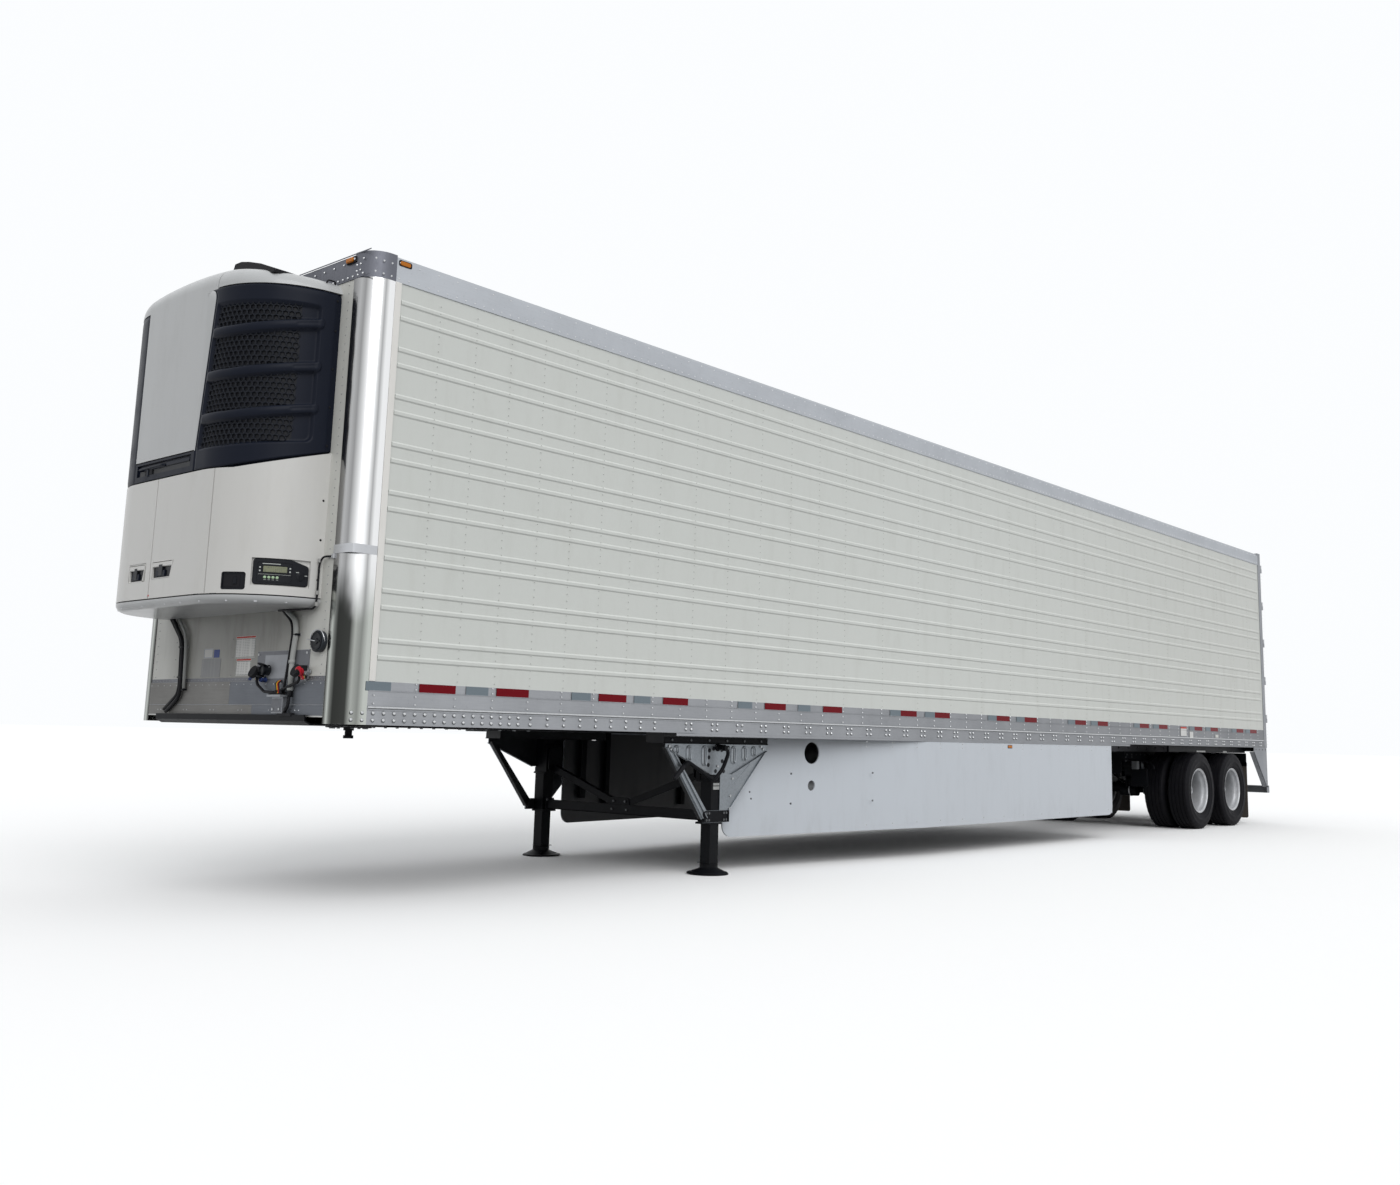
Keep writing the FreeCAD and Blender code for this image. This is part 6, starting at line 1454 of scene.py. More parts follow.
def landing_gear_parts():
    """The small parts of both landing legs. Gives back their bright and dark bolts."""
    piece = Piece("landing_gear_parts")
    bolts, dark_bolts = [], []
    for hand in (1, -1):
        leg_parts(piece, hand, bolts, dark_bolts)
    piece.done(crease=35)
    return bolts, dark_bolts


def landing_braces():
    """Flat K bracing between the legs: crossbar, two diagonals, foot pads and the plate that joins them."""
    piece = Piece("landing_brace_bars")
    bolts = []
    across = forward(leg_x)
    inboard = 0.935
    piece.boxes(across, leg_black, 0.002, (-inboard, inboard, 0.42, 0.503, 0.022, 0.03),
                (-inboard, inboard, 0.42, 0.428, -0.03, 0.03))
    for hand in (1, -1):
        for outer_low, outer_high, middle_high, middle_low, low, high in ((0.765, 0.83, 0.525, 0.46, 0.01 if hand > 0
                else 0, 0.018 if hand > 0 else 0.008), (0.822, 0.83, 0.525, 0.517, -0.028, 0.012)):
            line = [(hand * inboard, outer_low), (hand * inboard, outer_high), (hand * 0.02, middle_high),
                    (hand * 0.02, middle_low)]
            piece.slab(across, line, leg_black, low, high, 0.002)
        pad_span = span(hand, inboard, inboard - 0.01)
        piece.boxes(across, leg_black, 0.002, (*pad_span, 0.745, 0.85, -0.045, 0.045),
                    (*pad_span, 0.41, 0.515, -0.045, 0.045))
        bolts += [((leg_x + x, hand * (inboard - 0.01), z), (0, -hand, 0)) for x, z in (
            (-0.03, 0.77), (0.032, 0.77), (-0.03, 0.84), (0.032, 0.84), (-0.034, 0.5), (0.036, 0.5))]
    piece.slab(across, rounded([(-0.13, 0.43), (0.13, 0.43), (0.1, 0.565), (-0.1, 0.565)], 0.02), leg_black, 0.018,
               0.026, 0.002)
    piece.done(replaces=["landing_gear_braces"], crease=35)
    bolts += [((leg_x + 0.03, y, z), (1, 0, 0)) for y, z in ((-0.09, 0.46), (0.09, 0.46), (-0.07, 0.53), (0.07, 0.53))]
    bolt_heads("landing_brace_bolts", bolts, 0.011, 0.009, screw_dark)


def crank():
    """The landing gear's crank, folded back under the body: shaft, yoke, arm, hook and grip."""
    piece = Piece("landing_crank")
    y = plate_out
    piece.tube([(leg_x, y, crank_z), (leg_x, y + 0.108, crank_z)], 0.013, leg_black, 12)
    piece.turned(outward(1, leg_x, y + 0.04, crank_z), [(0.019, -0.02), (0.021, -0.017), (0.021, 0.04), (0.017, 0.044)],
        leg_black, 16)
    yoke = outward(1, leg_x, y + 0.1, 1.006)
    for low, high in ((-0.014, -0.008), (0.008, 0.014)):
        piece.slab(yoke, oblong(-0.04, -0.022, 0.02, 0.022, 0.012), leg_black, low, high, 0.002)
    piece.turned(yoke, [(0.01, -0.018), (0.01, 0.018)], screw_dark, 12, False)
    top, foot = Vector((leg_x + 0.4, y + 0.037, 0.9)), Vector((leg_x + 0.545, y + 0.035, 0.762))
    piece.tube([(leg_x + 0.004, y + 0.1, crank_z), (leg_x - 0.02, y + 0.1, 0.965), (leg_x + 0.01, y + 0.07, 0.84),
        (leg_x + 0.085, y + 0.045, 0.752), (leg_x + 0.14, y + 0.04, 0.775), top, foot], 0.0155, leg_black, 12, 0.04)
    piece.tube([top.lerp(foot, 0.28), top.lerp(foot, 0.98)], 0.019, rubber_black, 14)
    piece.done(replaces=["landing_gear_crank"], crease=40)


def skirt_parts():
    """Screws, tail edge strips, drain plugs and strut bolts of the side skirts."""
    piece = Piece("skirt_parts")
    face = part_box("left_skirt")
    tail, nose_end = face[0].x, face[1].x
    out = face[1].y - side
    screws = []
    for place, hand in hands:
        screws += [((tail + 0.12 + number * 0.42, hand * (side + out), z), (0, hand, 0)) for number in range(14)
                   if tail + 0.12 + number * 0.42 <= nose_end - 1.4 for z in (1.08, 1.04, 0.34)]
        piece.box(place, stretch(hand, front - tail - 0.045, front - tail - 0.01),
                  (0.3, 1.06), (out - 0.001, out + 0.0015), skirt_white, 0.001)
    studs("skirt_screws", screws, 0.007, 0.0035, rivet_metal, sides=8)
    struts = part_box("skirt_struts")
    clips = [((x, hand * (struts[1].y - 0.041), z), (0, -hand, 0))
             for x in every(sheet_width, struts[0].x + 0.025, struts[1].x) for hand in (1, -1) for z in (0.55, 0.8)]
    bolt_heads("skirt_strut_bolts", clips, 0.01, 0.008, screw_dark)
    for x, z in ((front - 3.95, 0.6), (front - 3.93, 0.655)):
        piece.turned(outward(1, x, side - 0.088, z), [(0.008, 0), (0.008, 0.004), (0.005, 0.006)], screw_dark, 10)
    piece.done()


gear_bolts, gear_dark_bolts = landing_gear_parts()
landing_braces()
crank()
bolt_heads("landing_gear_bolts", gear_bolts, 0.0125, 0.009, rivet_metal)
bolt_heads("landing_gear_dark_bolts", gear_dark_bolts, 0.012, 0.01, screw_dark)
skirt_parts()


# ---------------------------------------------------------------- wheels and running gear
brake_iron = black_paint("brake_iron", (0.02, 0.019, 0.018), (0.12, 0.07, 0.045), 0.6, 0.8)
tyre_radius, wheel_middle, wheel_height = 0.5145, 0.954, 0.515
axle_places = (-5.713, -6.958)


def wheel_bright(name="wheel_bright"):
    """Silver wheel enamel, with brake dust in the dish and turned streaks round it."""
    f = Finish(name, metallic=0.35, coat=0.2)
    film = f.noise(14, 5, 0.7).ramp(0.35, 0.85)
    rust = f.noise(60, 4, 0.8).ramp(0.66, 0.74)
    deep = (1.06 - abs(f.y)).ramp(0, 0.1)
    tone = f.blend((film * 0.35 + deep * 0.35).least(0.8), (0.5, 0.51, 0.53), (0.13, 0.125, 0.12))
    f.set(base_color=f.blend(rust * 0.3, tone, (0.2, 0.12, 0.07)), roughness=film * 0.25 + 0.32)
    f.bump(f.noise(40, 3), 0.06, 0.001)
    return f


wheel_silver = wheel_bright()


def tyre(piece, place):
    """One tyre: bead, sidewall with its raised rings, ribbed shoulder, and tread with four grooves."""
    r = tyre_radius
    # (radius, across) from the outer bead over the tread to the inner bead
    outer = [(0.2865, 0.1), (0.292, 0.1065), (0.3, 0.1085), (0.306, 0.1115), (0.309, 0.1175), (0.313, 0.119),
             (0.34, 0.1315), (0.343, 0.134), (0.347, 0.1345), (0.352, 0.1345), (0.385, 0.1455), (0.388, 0.1478),
             (0.396, 0.1482), (0.399, 0.147), (0.43, 0.1475), (0.452, 0.144), (0.456, 0.145), (0.462, 0.1445),
             (0.466, 0.1425), (0.488, 0.1335), (0.5, 0.1275), (0.508, 0.1215), (r - 0.001, 0.115)]
    tread = [(r, 0.112)]
    for centre in (0.079, 0.027, -0.027, -0.079):
        tread += [(r, centre + 0.0055), (r - 0.01, centre + 0.0035), (r - 0.011, centre), (r - 0.01, centre - 0.0035),
                  (r, centre - 0.0055)]
    tread.append((r, -0.112))

    def cut_at(radius, across, number):
        """Depth of the shoulder's slots and the tread's sipes, on every third step round."""
        if number % 3:
            return 0
        if 0.484 < radius < r + 0.001 and abs(across) > 0.1:
            return 0.0055
        return 0.003 if radius > r - 0.0005 and abs(abs(across) - 0.079) < 0.006 else 0

    rings = []
    for radius, across in outer + tread + [(radius, -across) for radius, across in reversed(outer)]:
        cuts = [radius - cut_at(radius, across, number) for number in range(3)]
        rings.append([place(cuts[number % 3] * u, cuts[number % 3] * v, across)
                      for number, (u, v) in enumerate(round_about(132, 1))])
    piece.rings(rings, tyre_rubber, smooth=True, caps=False)


def holed_disc(piece, place, low, high, count, hole, front_out, back_out, made):
    """A pressed wheel disc with hand holes: front and back skins and the walls of the holes."""
    middle = (low + high) / 2
    for number in range(count):
        start, end = 2 * math.pi * number / count, 2 * math.pi * (number + 1) / count
        turn = (start + end) / 2
        edge = [(high, start + (end - start) * k / 8) for k in range(9)]
        edge += [(high + (low - high) * k / 4, end) for k in (1, 2, 3)]
        edge += [(low, end + (start - end) * k / 8) for k in range(9)]
        edge += [(low + (high - low) * k / 4, start) for k in (1, 2, 3)]
        flat = [(radius * math.cos(angle - turn) - middle, radius * math.sin(angle - turn)) for radius, angle in edge]
        ring = []
        for x, y in flat:
            length = math.hypot(x, y)
            ring.append((x / length * hole * 0.85 + middle, y / length * hole * 1.25))
        flat = [(x + middle, y) for x, y in flat]
        points = [place(x * math.cos(turn) - y * math.sin(turn), x * math.sin(turn) + y * math.cos(turn),
                        out(math.hypot(x, y))) for out in (front_out, back_out) for x, y in flat + ring]
        faces, n = [], len(edge)
        for k in range(n):
            following = (k + 1) % n
            faces += [(k, following, n + following, n + k), (2 * n + k, 3 * n + k, 3 * n + following,
                2 * n + following), (n + k, n + following, 3 * n + following, 3 * n + k)]
        piece.add(points, faces, made, smooth=True)


def twin_wheels(name):
    """Tyres, deep-dish wheels, hub, nuts, valve and drum on one of the four wheel bodies."""
    low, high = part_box(name + "_tyres")
    hand = 1 if low.y > 0 else -1
    body = name + "_wheel"
    place = placed(((low.x + high.x) / 2, wheel_middle * hand, wheel_height), (hand, 0, 0), (0, 0, -1))
    rubber = Piece(name + "_tyre_pair", body)
    for off in (0.1675, -0.1675):
        tyre(rubber, shift(place, 0, 0, off))
    rubber.done(replaces=[name + "_tyres"], crease=50)

    def face(radius):
        return 0.02 + 0.045 * eased(radius, 0.196, 0.257) + 0.008 * (1 - eased(radius, 0.175, 0.2))

    wheel = Piece(name + "_wheel_pair", body)
    # outer and inner rim
    wheel.turned(place, [(0.258, 0.058), (0.2565, 0.075), (0.2555, 0.1), (0.2545, 0.18), (0.2575, 0.205),
        (0.2635, 0.222), (0.2715, 0.235), (0.2735, 0.262), (0.276, 0.272), (0.2835, 0.2755), (0.2945, 0.2765),
        (0.3, 0.2795), (0.301, 0.2835), (0.2975, 0.2855), (0.293, 0.2845), (0.2895, 0.28), (0.286, 0.277),
        (0.2858, 0.25), (0.285, 0.07), (0.298, 0.053), (0.299, 0.048), (0.29, 0.047), (0.266, 0.05), (0.258, 0.058)],
        wheel_silver, 88)
    wheel.turned(place, [(0.255, -0.062), (0.2565, -0.075), (0.2545, -0.18), (0.2635, -0.222), (0.2735, -0.262),
        (0.2835, -0.2755), (0.3, -0.2795), (0.301, -0.2835), (0.293, -0.2845), (0.286, -0.277), (0.285, -0.07),
        (0.298, -0.053), (0.29, -0.047), (0.266, -0.05), (0.255, -0.062)], wheel_silver, 48)
    holed_disc(wheel, place, 0.176, 0.2575, 10, 0.019, face, lambda r: face(r) - 0.011, wheel_silver)
    wheel.turned(place, [(0.108, 0.016), (0.108, 0.0275), (0.12, 0.029), (0.17, 0.029), (0.1765, 0.0275),
        (0.1765, 0.016)], wheel_silver, 60)
    holed_disc(wheel, place, 0.176, 0.2575, 10, 0.019, lambda r: 0.004 - face(r) + 0.02,
               lambda r: 0.015 - face(r) + 0.02, wheel_silver)
    # hub, oil cap with its window, drum
    for profile, made, sides in (([(0.107, -0.01), (0.107, 0.096), (0.104, 0.104), (0.092, 0.108), (0.086, 0.11)],
            brake_iron, 40), ([(0.079, 0.1), (0.079, 0.109), (0.074, 0.112), (0.07, 0.116), (0.066, 0.15),
            (0.061, 0.16), (0.052, 0.1645), (0.036, 0.1652), (0.034, 0.163), (0.0001, 0.163)], bright_steel, 36),
            ([(0.033, 0.162), (0.031, 0.1648), (0.012, 0.1645), (0.01, 0.1652), (0.0001, 0.1652)], rubber_black, 24),
            ([(0.205, -0.022), (0.2115, -0.03), (0.2118, -0.09), (0.2085, -0.095), (0.2085, -0.125), (0.2118, -0.13),
            (0.2118, -0.228), (0.2075, -0.2345), (0.103, -0.2345), (0.1, -0.23), (0.1, -0.152)], brake_iron, 56)):
        wheel.turned(place, profile, made, sides)
    u, v = math.cos(0.6), math.sin(0.6)
    for off in (0.262, -0.262):
        wheel.tube([place(radius * u, radius * v, off * share) for radius, share in (
            (0.268, 0.72), (0.25, 0.74), (0.238, 0.86))], 0.004, brass)
    wheel.done(replaces=[name + "_wheels"], crease=35)
    out = (0, hand, 0)
    nuts = [(place(*spot, 0.029), out) for spot in round_about(10, 0.1425, 0.5)]
    ends = [(place(*spot, 0.046), out) for spot in round_about(10, 0.1425, 0.5)]
    ends += [(place(*spot, 0.107), out) for spot in round_about(6, 0.0905)]
    studs(name + "_wheel_nuts", nuts, 0.019, 0.019, rivet_metal, body=body, crown=0.9, sides=6)
    studs(name + "_wheel_studs", ends, 0.0085, 0.01, screw_dark, body=body, crown=0.9, sides=8)


def axle_parts(piece, axle_x, hand):
    """Beside one wheel pair: shock absorber, two brake hoses, the chamber's clamp ring and the u bolts."""
    foot, head = Vector((axle_x - 0.2, hand * 0.4, 0.6)), Vector((axle_x - 0.36, hand * 0.4, 0.93))
    run = (head - foot).normalized()
    across = run.orthogonal().normalized()
    length = (head - foot).length
    tube_place = placed(foot, across, run.cross(across))
    flip = 1 if (tube_place(0, 0, 1) - foot).dot(run) > 0 else -1
    piece.turned(tube_place, [(0.02, 0), (0.027, 0.01 * flip)] + [(radius, length * share * flip) for radius, share in (
        (0.027, 0.55), (0.022, 0.56), (0.033, 0.57), (0.033, 0.97), (0.015, 1))], chassis_black, 16)
    for route in (((0.36, 0.47, 0.8), (0.33, 0.45, 0.68), (0.24, 0.36, 0.6), (0.19, 0.3, 0.575)),
                  ((0.34, 0.49, 0.8), (0.36, 0.4, 0.66), (0.26, 0.3, 0.56), (0.21, 0.25, 0.55))):
        piece.tube([(axle_x + x, hand * y, z) for x, y, z in route], 0.009, rubber_black, 8, 0.08)
    piece.turned(rightward(axle_x + 0.19, hand * 0.335, 0.495),
                 [(0.083, -0.008), (0.0895, -0.006), (0.0895, 0.006), (0.083, 0.008)], bright_steel, 28)
    for dx in (-0.075, 0.075):
        piece.tube([(axle_x + dx, hand * y, z) for y, z in ((0.46, 0.62), (0.46, 0.44), (0.53, 0.44), (0.53, 0.62))],
                   0.009, screw_dark)


def bogie_parts():
    """Shock absorbers, brake hoses, air tank, locking bar, cross panel and bolts on the sliding tandem."""
    piece = Piece("bogie_parts", "bogie")
    for axle_x in axle_places:
        for hand in (1, -1):
            axle_parts(piece, axle_x, hand)
    frame_low, frame_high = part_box("bogie_frame")
    pitch = frame_high.x - frame_low.x - 0.18
    bolts = []
    for hand in (1, -1):
        heads = [(frame_low.x + 0.09 + number * pitch / 19, 0.985) for number in range(20)]
        heads += [(x, z) for x in (-4.86, -5.05, -6.1, -6.29, -7.33, -7.52) for z in (0.9, 0.95)]
        bolts += [((x, hand * frame_high.y, z), (0, hand, 0)) for x, z in heads]
    # locking bar that pins the slider, with its handle, and the cross bars
    piece.tube([(-4.95, 0.54, 0.93), (-4.95, 0.62, 0.9), (-4.93, 0.86, 0.9), (-4.93, 0.92, 0.84),
                (-4.93, 0.92, 0.8)], 0.011, chassis_black, 10, 0.05)
    for x in (-5.2, -7.2):
        piece.tube([(x, -0.5, 0.94), (x, 0.5, 0.94)], 0.014, chassis_black, 10)

    def tank_place(y):
        return placed((-6.33, y, 0.845), (0, 0, 1), (1, 0, 0))

    # air tank across the frame with straps and a drain cock
    half = [(0.02, 0.36), (0.085, 0.345), (0.11, 0.3), (0.112, 0.29)]
    piece.turned(tank_place(0), [(radius, -y) for radius, y in half] + half[::-1], chassis_black, 28)
    for y in (-0.2, 0.2):
        piece.turned(tank_place(y), [(0.112, -0.02), (0.1155, -0.018), (0.1155, 0.018), (0.112, 0.02)], zinc, 28)
    piece.turned(placed((-6.33, 0.1, 0.733), (1, 0, 0), (0, -1, 0)), [(0.012, -0.01), (0.012, 0.02), (0.006, 0.024)],
                 brass, 10)
    # grey box on an arm ahead of the tyres, and the brackets beside it
    grey = forward(-4.86, 0.705, 0.845)
    piece.lamp(grey, (0.042, 0.055, 0.008, 0, 0.06, 0.004), (0.034, 0.046, 0.006, 0.058, 0.066, 0.003), box_grey,
               box_grey)
    piece.box(forward(-4.87, 0.6, 0.845), (-0.12, 0.15), (-0.02, 0.02), (0, 0.012), chassis_black, 0.003)
    for hand in (1, -1):
        y0, y1 = span(hand, 0.56, 0.79)
        piece.slab(forward(-5.03), oblong(y0, 0.56, y1, 0.8, 0.02), chassis_black, -0.02, 0.02, 0.004)
    # front cross panel of the frame, with its pressed ovals
    piece.slab(forward(-4.85), rounded([(-0.5, 0.72), (0.5, 0.72), (0.5, 1), (-0.5, 1)], 0.05), chassis_black,
               0, 0.012, 0.004)
    for y in (-0.3, 0, 0.3):
        piece.frame(forward(-4.838), oblong(y - 0.1, 0.78, y + 0.1, 0.94, 0.05), 0.014, chassis_black, -0.001, 0.008,
                    0.004)
    piece.done(crease=40)
    bolt_heads("bogie_bolts", bolts, 0.012, 0.009, screw_dark, body="bogie")


def mud_flaps():
    """Ribbed rubber flaps behind the tandem, hung from dark plates with a clamp bar and bolts."""
    piece = Piece("mud_flap_sheets", "bogie")
    bolts = []
    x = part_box("mud_flaps")[0].x + 0.015
    face = forward(x)
    for hand in (1, -1):
        y0, y1 = span(hand, 0.7, 1.16)
        piece.slab(face, oblong(y0, 0.08, y1, 0.9, 0.03), flap_rubber, 0, 0.008, 0.002)
        for number in range(5):
            y = y0 + 0.09 + number * (y1 - y0 - 0.18) / 4
            piece.boxes(face, flap_rubber, 0.0015, (y - 0.004, y + 0.004, 0.12, 0.68, 0.007, 0.011),
                        (y - 0.004, y + 0.004, 0.12, 0.68, -0.003, 0.001))
            bolts += [((x + 0.018, y, 0.865), (1, 0, 0)), ((x - 0.01, y, 0.865), (-1, 0, 0))]
        piece.boxes(face, chassis_black, 0.002, (y0, y1, 0.84, 0.89, 0.008, 0.018), (y0, y1, 0.84, 0.89, -0.01, 0))
        piece.slab(face, oblong(y0, 0.86, y1, 1.03, 0.012), chassis_black, 0.01, 0.018, 0.002)
        for y in (y0 + 0.12, y1 - 0.12):
            piece.slab(rightward(x + 0.018, y), [(0, 0.84), (0.012, 0.84), (0.018, 0.955), (0, 0.955)],
                       chassis_black, -0.004, 0.004)
    piece.done(replaces=["mud_flaps"], crease=40)
    bolt_heads("mud_flap_bolts", bolts, 0.011, 0.008, screw_dark, body="bogie")


box_grey = moulded("box_grey", (0.13, 0.135, 0.14), rough=0.5)
for name in ("front_left", "front_right", "rear_left", "rear_right"):
    twin_wheels(name)
bogie_parts()
mud_flaps()


# ---------------------------------------------------------------- rear frame and doors
seal_black = moulded("seal_black", (0.012, 0.012, 0.013), rough=0.7)
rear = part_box("rear_header")[0].x
on_rear = backward(rear)
down, astern = (0, 0, -1), (-1, 0, 0)


def tape_row(piece, starts, wide, low, high, out, top):
    """Lengths of tape across the rear, white and red in turn."""
    for number, y in enumerate(starts):
        piece.box(on_rear, (y, y + wide), (low, high), (out, top), tape_red if number % 2 else tape_white, 0.0003)


def rear_guard():
    """Underride guard: folded bar and uprights, side gussets flush with the body, bolts and a taped face."""
    piece = Piece("rear_guard_frame")
    bolts = []
    edge = side - 0.002
    wall_place = rightward(rear)
    piece.slab(wall_place, [(-0.04, 0.445), (0.06, 0.445), (0.06, 0.453), (-0.032, 0.453), (-0.032, 0.542),
        (0.06, 0.542), (0.06, 0.55), (-0.04, 0.55)], dull_metal, -edge, edge, 0.002)
    for hand in (1, -1):
        piece.slab(rightward(rear, hand * (edge - 0.003)), oblong(-0.04, 0.455, 0.06, 0.55, 0.008), dull_metal, -0.003)
        across = hand * 0.46
        piece.boxes(rightward(rear, across), dull_metal, 0.002, (0, 0.06, 0.5, 1.12, -0.045, -0.037),
                    (0, 0.06, 0.5, 1.12, 0.037, 0.045), (0, 0.008, 0.5, 1.12, -0.045, 0.045))
        for line, wide in (([(0.02, 0.53), (0.06, 0.53), (0.19, 0.666), (0.56, 1.05), (0.56, 1.12), (0.02, 1.12)],
                0.008), ([(0.06, 0.53), (0.19, 0.666), (0.56, 1.05), (0.552, 1.056), (0.184, 0.672), (0.055, 0.537)],
                0.07), ([(0.02, 0.53), (0.028, 0.53), (0.028, 1.12), (0.02, 1.12)], 0.07)):
            piece.slab(wall_place, line, dull_metal, *span(-hand, edge, edge - wide), 0.002)
        bolts += [((rear + x, hand * (edge - 0.004), z), (0, hand, 0)) for x, z in (
            (0.06, 1.09), (0.2, 1.09), (0.34, 1.09), (0.48, 1.09), (0.04, 0.62), (0.045, 0.58))]
        bolts += [((rear, across + off, z), astern) for z in (0.58, 0.64, 1.02, 1.08) for off in (-0.02, 0.02)]
    tape_row(piece, [1.22 - 0.305 * number for number in range(1, 9)], 0.303, 0.478, 0.528, 0.0395, 0.0408)
    piece.done(replaces=["rear_guard"], crease=35)
    bolt_heads("rear_guard_bolts", bolts, 0.012, 0.009, screw_dark)


def rear_lights():
    """Stop and tail lamps in rubber mounts, header clearance lamps, dock bumpers and the number bracket."""
    piece = Piece("rear_lamps")
    for hand in (1, -1):
        for back in (0.62, 0.62 + 0.19):
            lamp = shift(on_rear, hand * back, 1.27)
            piece.turned(lamp, [(0.066, 0), (0.07, 0.004), (0.07, 0.012), (0.062, 0.015), (0.058, 0.011)],
                         seal_black, 32)
            piece.turned(lamp, [(0.058, 0.009), (0.056, 0.016), (0.03, 0.02), (0.0001, 0.021)], lens_red, 32)
            for ring in (0.02, 0.036, 0.048):
                piece.turned(lamp, [(ring - 0.002, 0.017), (ring, 0.0215), (ring + 0.002, 0.017)], lens_red, 28)
        piece.lamp(shift(on_rear, hand * 1, 1.27), (0.06, 0.024, 0.02, 0, 0.008, 0.003),
                   (0.052, 0.017, 0.015, 0.006, 0.018, 0.006), seal_black, lens_red)
        block = shift(on_rear, hand * 0.3, 1.19)
        piece.slab(block, pad(0.11, 0.04, 0.012), seal_black, 0, 0.035, 0.008)
        for off in (-0.07, 0.07):
            piece.turned(shift(block, off, 0), [(0.014, 0.034), (0.014, 0.038), (0.0001, 0.039)], rivet_metal, 12)
        for off in (0, 0.16, 1.14) if hand > 0 else (0.16, 1.14):
            piece.lamp(shift(on_rear, hand * off, 4.06), (0.055, 0.02, 0.01, 0, 0.006, 0.002),
                       (0.047, 0.014, 0.01, 0.005, 0.017, 0.005), seal_black, lens_red)
        piece.boxes(on_rear, tape_white, 0.0003, (*span(hand, 1.09, 1.18), 4.012, 4.03, 0, 0.001),
                    (*span(hand, 1.2, 1.218), 3.99, 4.03, 0, 0.001))
    bracket = shift(on_rear, 0, 1.19)
    piece.frame(bracket, pad(0.155, 0.06, 0.01), 0.012, rivet_metal, 0, 0.012, 0.002)
    piece.slab(bracket, pad(0.15, 0.055, 0.008), seal_black, 0, 0.004)
    tape_row(piece, [-1.2 + 0.3 * number for number in range(8)], 0.298, 1.335, 1.38, 0, 0.001)
    piece.done(crease=40)


def lock_fittings(piece, panel, y, hand, turn, level, cam_heights, keeper_heights, bolts):
    """One lock rod's cams and keepers, and the hasp and hub of its handle."""
    rod_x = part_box("left_door_locks")[0].x + 0.02
    for z in cam_heights:
        cam = backward(panel[0].x - 0.001, y, z + 0.02)
        piece.slab(cam, pad(0.045, 0.03, 0.01), rivet_metal, 0, 0.006, 0.002)
        piece.box(cam, (-0.03, 0.03), (-0.012, 0.012), (0.005, 0.034), cast_grey, 0.005)
    for z in keeper_heights:
        bolts.extend(((panel[0].x - 0.002, y + off * 1.7, z), astern) for off in (-0.026, 0.026))
        piece.slab(backward(panel[0].x - 0.001, y, z), pad(0.06, 0.022, 0.008), rivet_metal)
    hasp = backward(panel[0].x - 0.001, y + 0.45 * hand * turn * 0.85, level)
    piece.slab(hasp, pad(0.04, 0.055, 0.01), rivet_metal, 0, 0.004, 0.002)
    piece.boxes(hasp, cast_grey, 0.003, (-0.012, 0.012, 0.02, 0.045, 0.003, 0.03),
                (-0.012, 0.012, -0.045, -0.024, 0.003, 0.03))
    piece.turned(placed((rod_x, y, level), (-1, 0, 0), (0, -1, 0)),
                 [(0.0145, -0.035), (0.019, -0.03), (0.019, 0.03), (0.0145, 0.035)], cast_grey, 16)


def door_parts(name, hand):
    """Rubber seals, rivet rows, rod cams, hinge bolts, handle hasps and tape of one door."""
    body = name + "_door"
    panel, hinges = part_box(body + "_panel"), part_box(body + "_hinges")
    piece = Piece(body + "_fittings", body)
    face, inside = backward(panel[0].x), forward(panel[1].x)
    y0, y1 = sorted((-panel[0].y, -panel[1].y))
    a, b = sorted((panel[0].y, panel[1].y))
    low, high = panel[0].z, panel[1].z
    inset = 0.07
    piece.frame(face, oblong(y0 + 0.001, low + 0.001, y1 - 0.001, high - 0.001, 0.01), 0.022, seal_black, -0.003,
                0.007, 0.003)
    piece.frame(face, oblong(y0 + 0.026, low + 0.026, y1 - 0.026, high - 0.026, 0.006), 0.05, rivet_metal, -0.001,
                0.0022)
    piece.frame(inside, oblong(a + inset, low + 0.03, b - inset, high - 0.03, 0.02), 0.02, seal_black, -0.006,
                -0.0005, 0.003)
    piece.box(inside, (a + inset + 0.04, b - inset - 0.04), (low + 0.08, low + 0.38), (-0.004, -0.0005), bright_steel,
              0.001)
    bolts = [((panel[0].x - 0.002, y, low + 0.06 + number * 0.09), astern)
             for number in range(int((high - low - 0.12) / 0.09)) for y in (panel[0].y + 0.05, panel[1].y - 0.05)]
    hinged = panel[0].y if hand > 0 else panel[1].y
    keepers = [low + 0.057 + (high - low - 0.174) / 3 * keeper + 0.03 for keeper in range(4)]
    for number, share in enumerate((0.25, 0.72)):
        lock_fittings(piece, panel, hinged + hand * (panel[1].y - panel[0].y) * share, hand, (1, -1)[number],
                      low + 0.42 + 0.12 * number + 0.02, (low + 0.012, high - 0.052), keepers, bolts)
    for level in range(5):
        z = hinges[0].z + (hinges[1].z - hinges[0].z) * level / 4
        z = min(max(z, hinges[0].z + 0.02), hinges[1].z - 0.02)
        bolts += [((panel[0].x - 0.0135, hand * (0.99 + share * 0.18), z), astern) for share in (0.2, 0.45, 0.7)]
    z = low + 0.3
    piece.box(face, (y0 + 0.12, y0 + 0.12 + 0.3), (z - 0.025, z + 0.025), (0, 0.001), tape_red, 0.0003)
    piece.box(face, (y0 + 0.422, y0 + 0.72), (z - 0.025, z + 0.025), (0, 0.001), tape_white, 0.0003)
    piece.slab(shift(face, (y0 + y1) / 2, low + 1.02), pad(0.09, 0.055, 0.006), decal_print, 0, 0.001, 0.0003)
    piece.done(crease=40)
    studs(body + "_bolts", bolts, 0.006, 0.004, rivet_metal, body=body, sides=8)


rear_guard()
rear_lights()
door_parts("left", 1)
door_parts("right", -1)


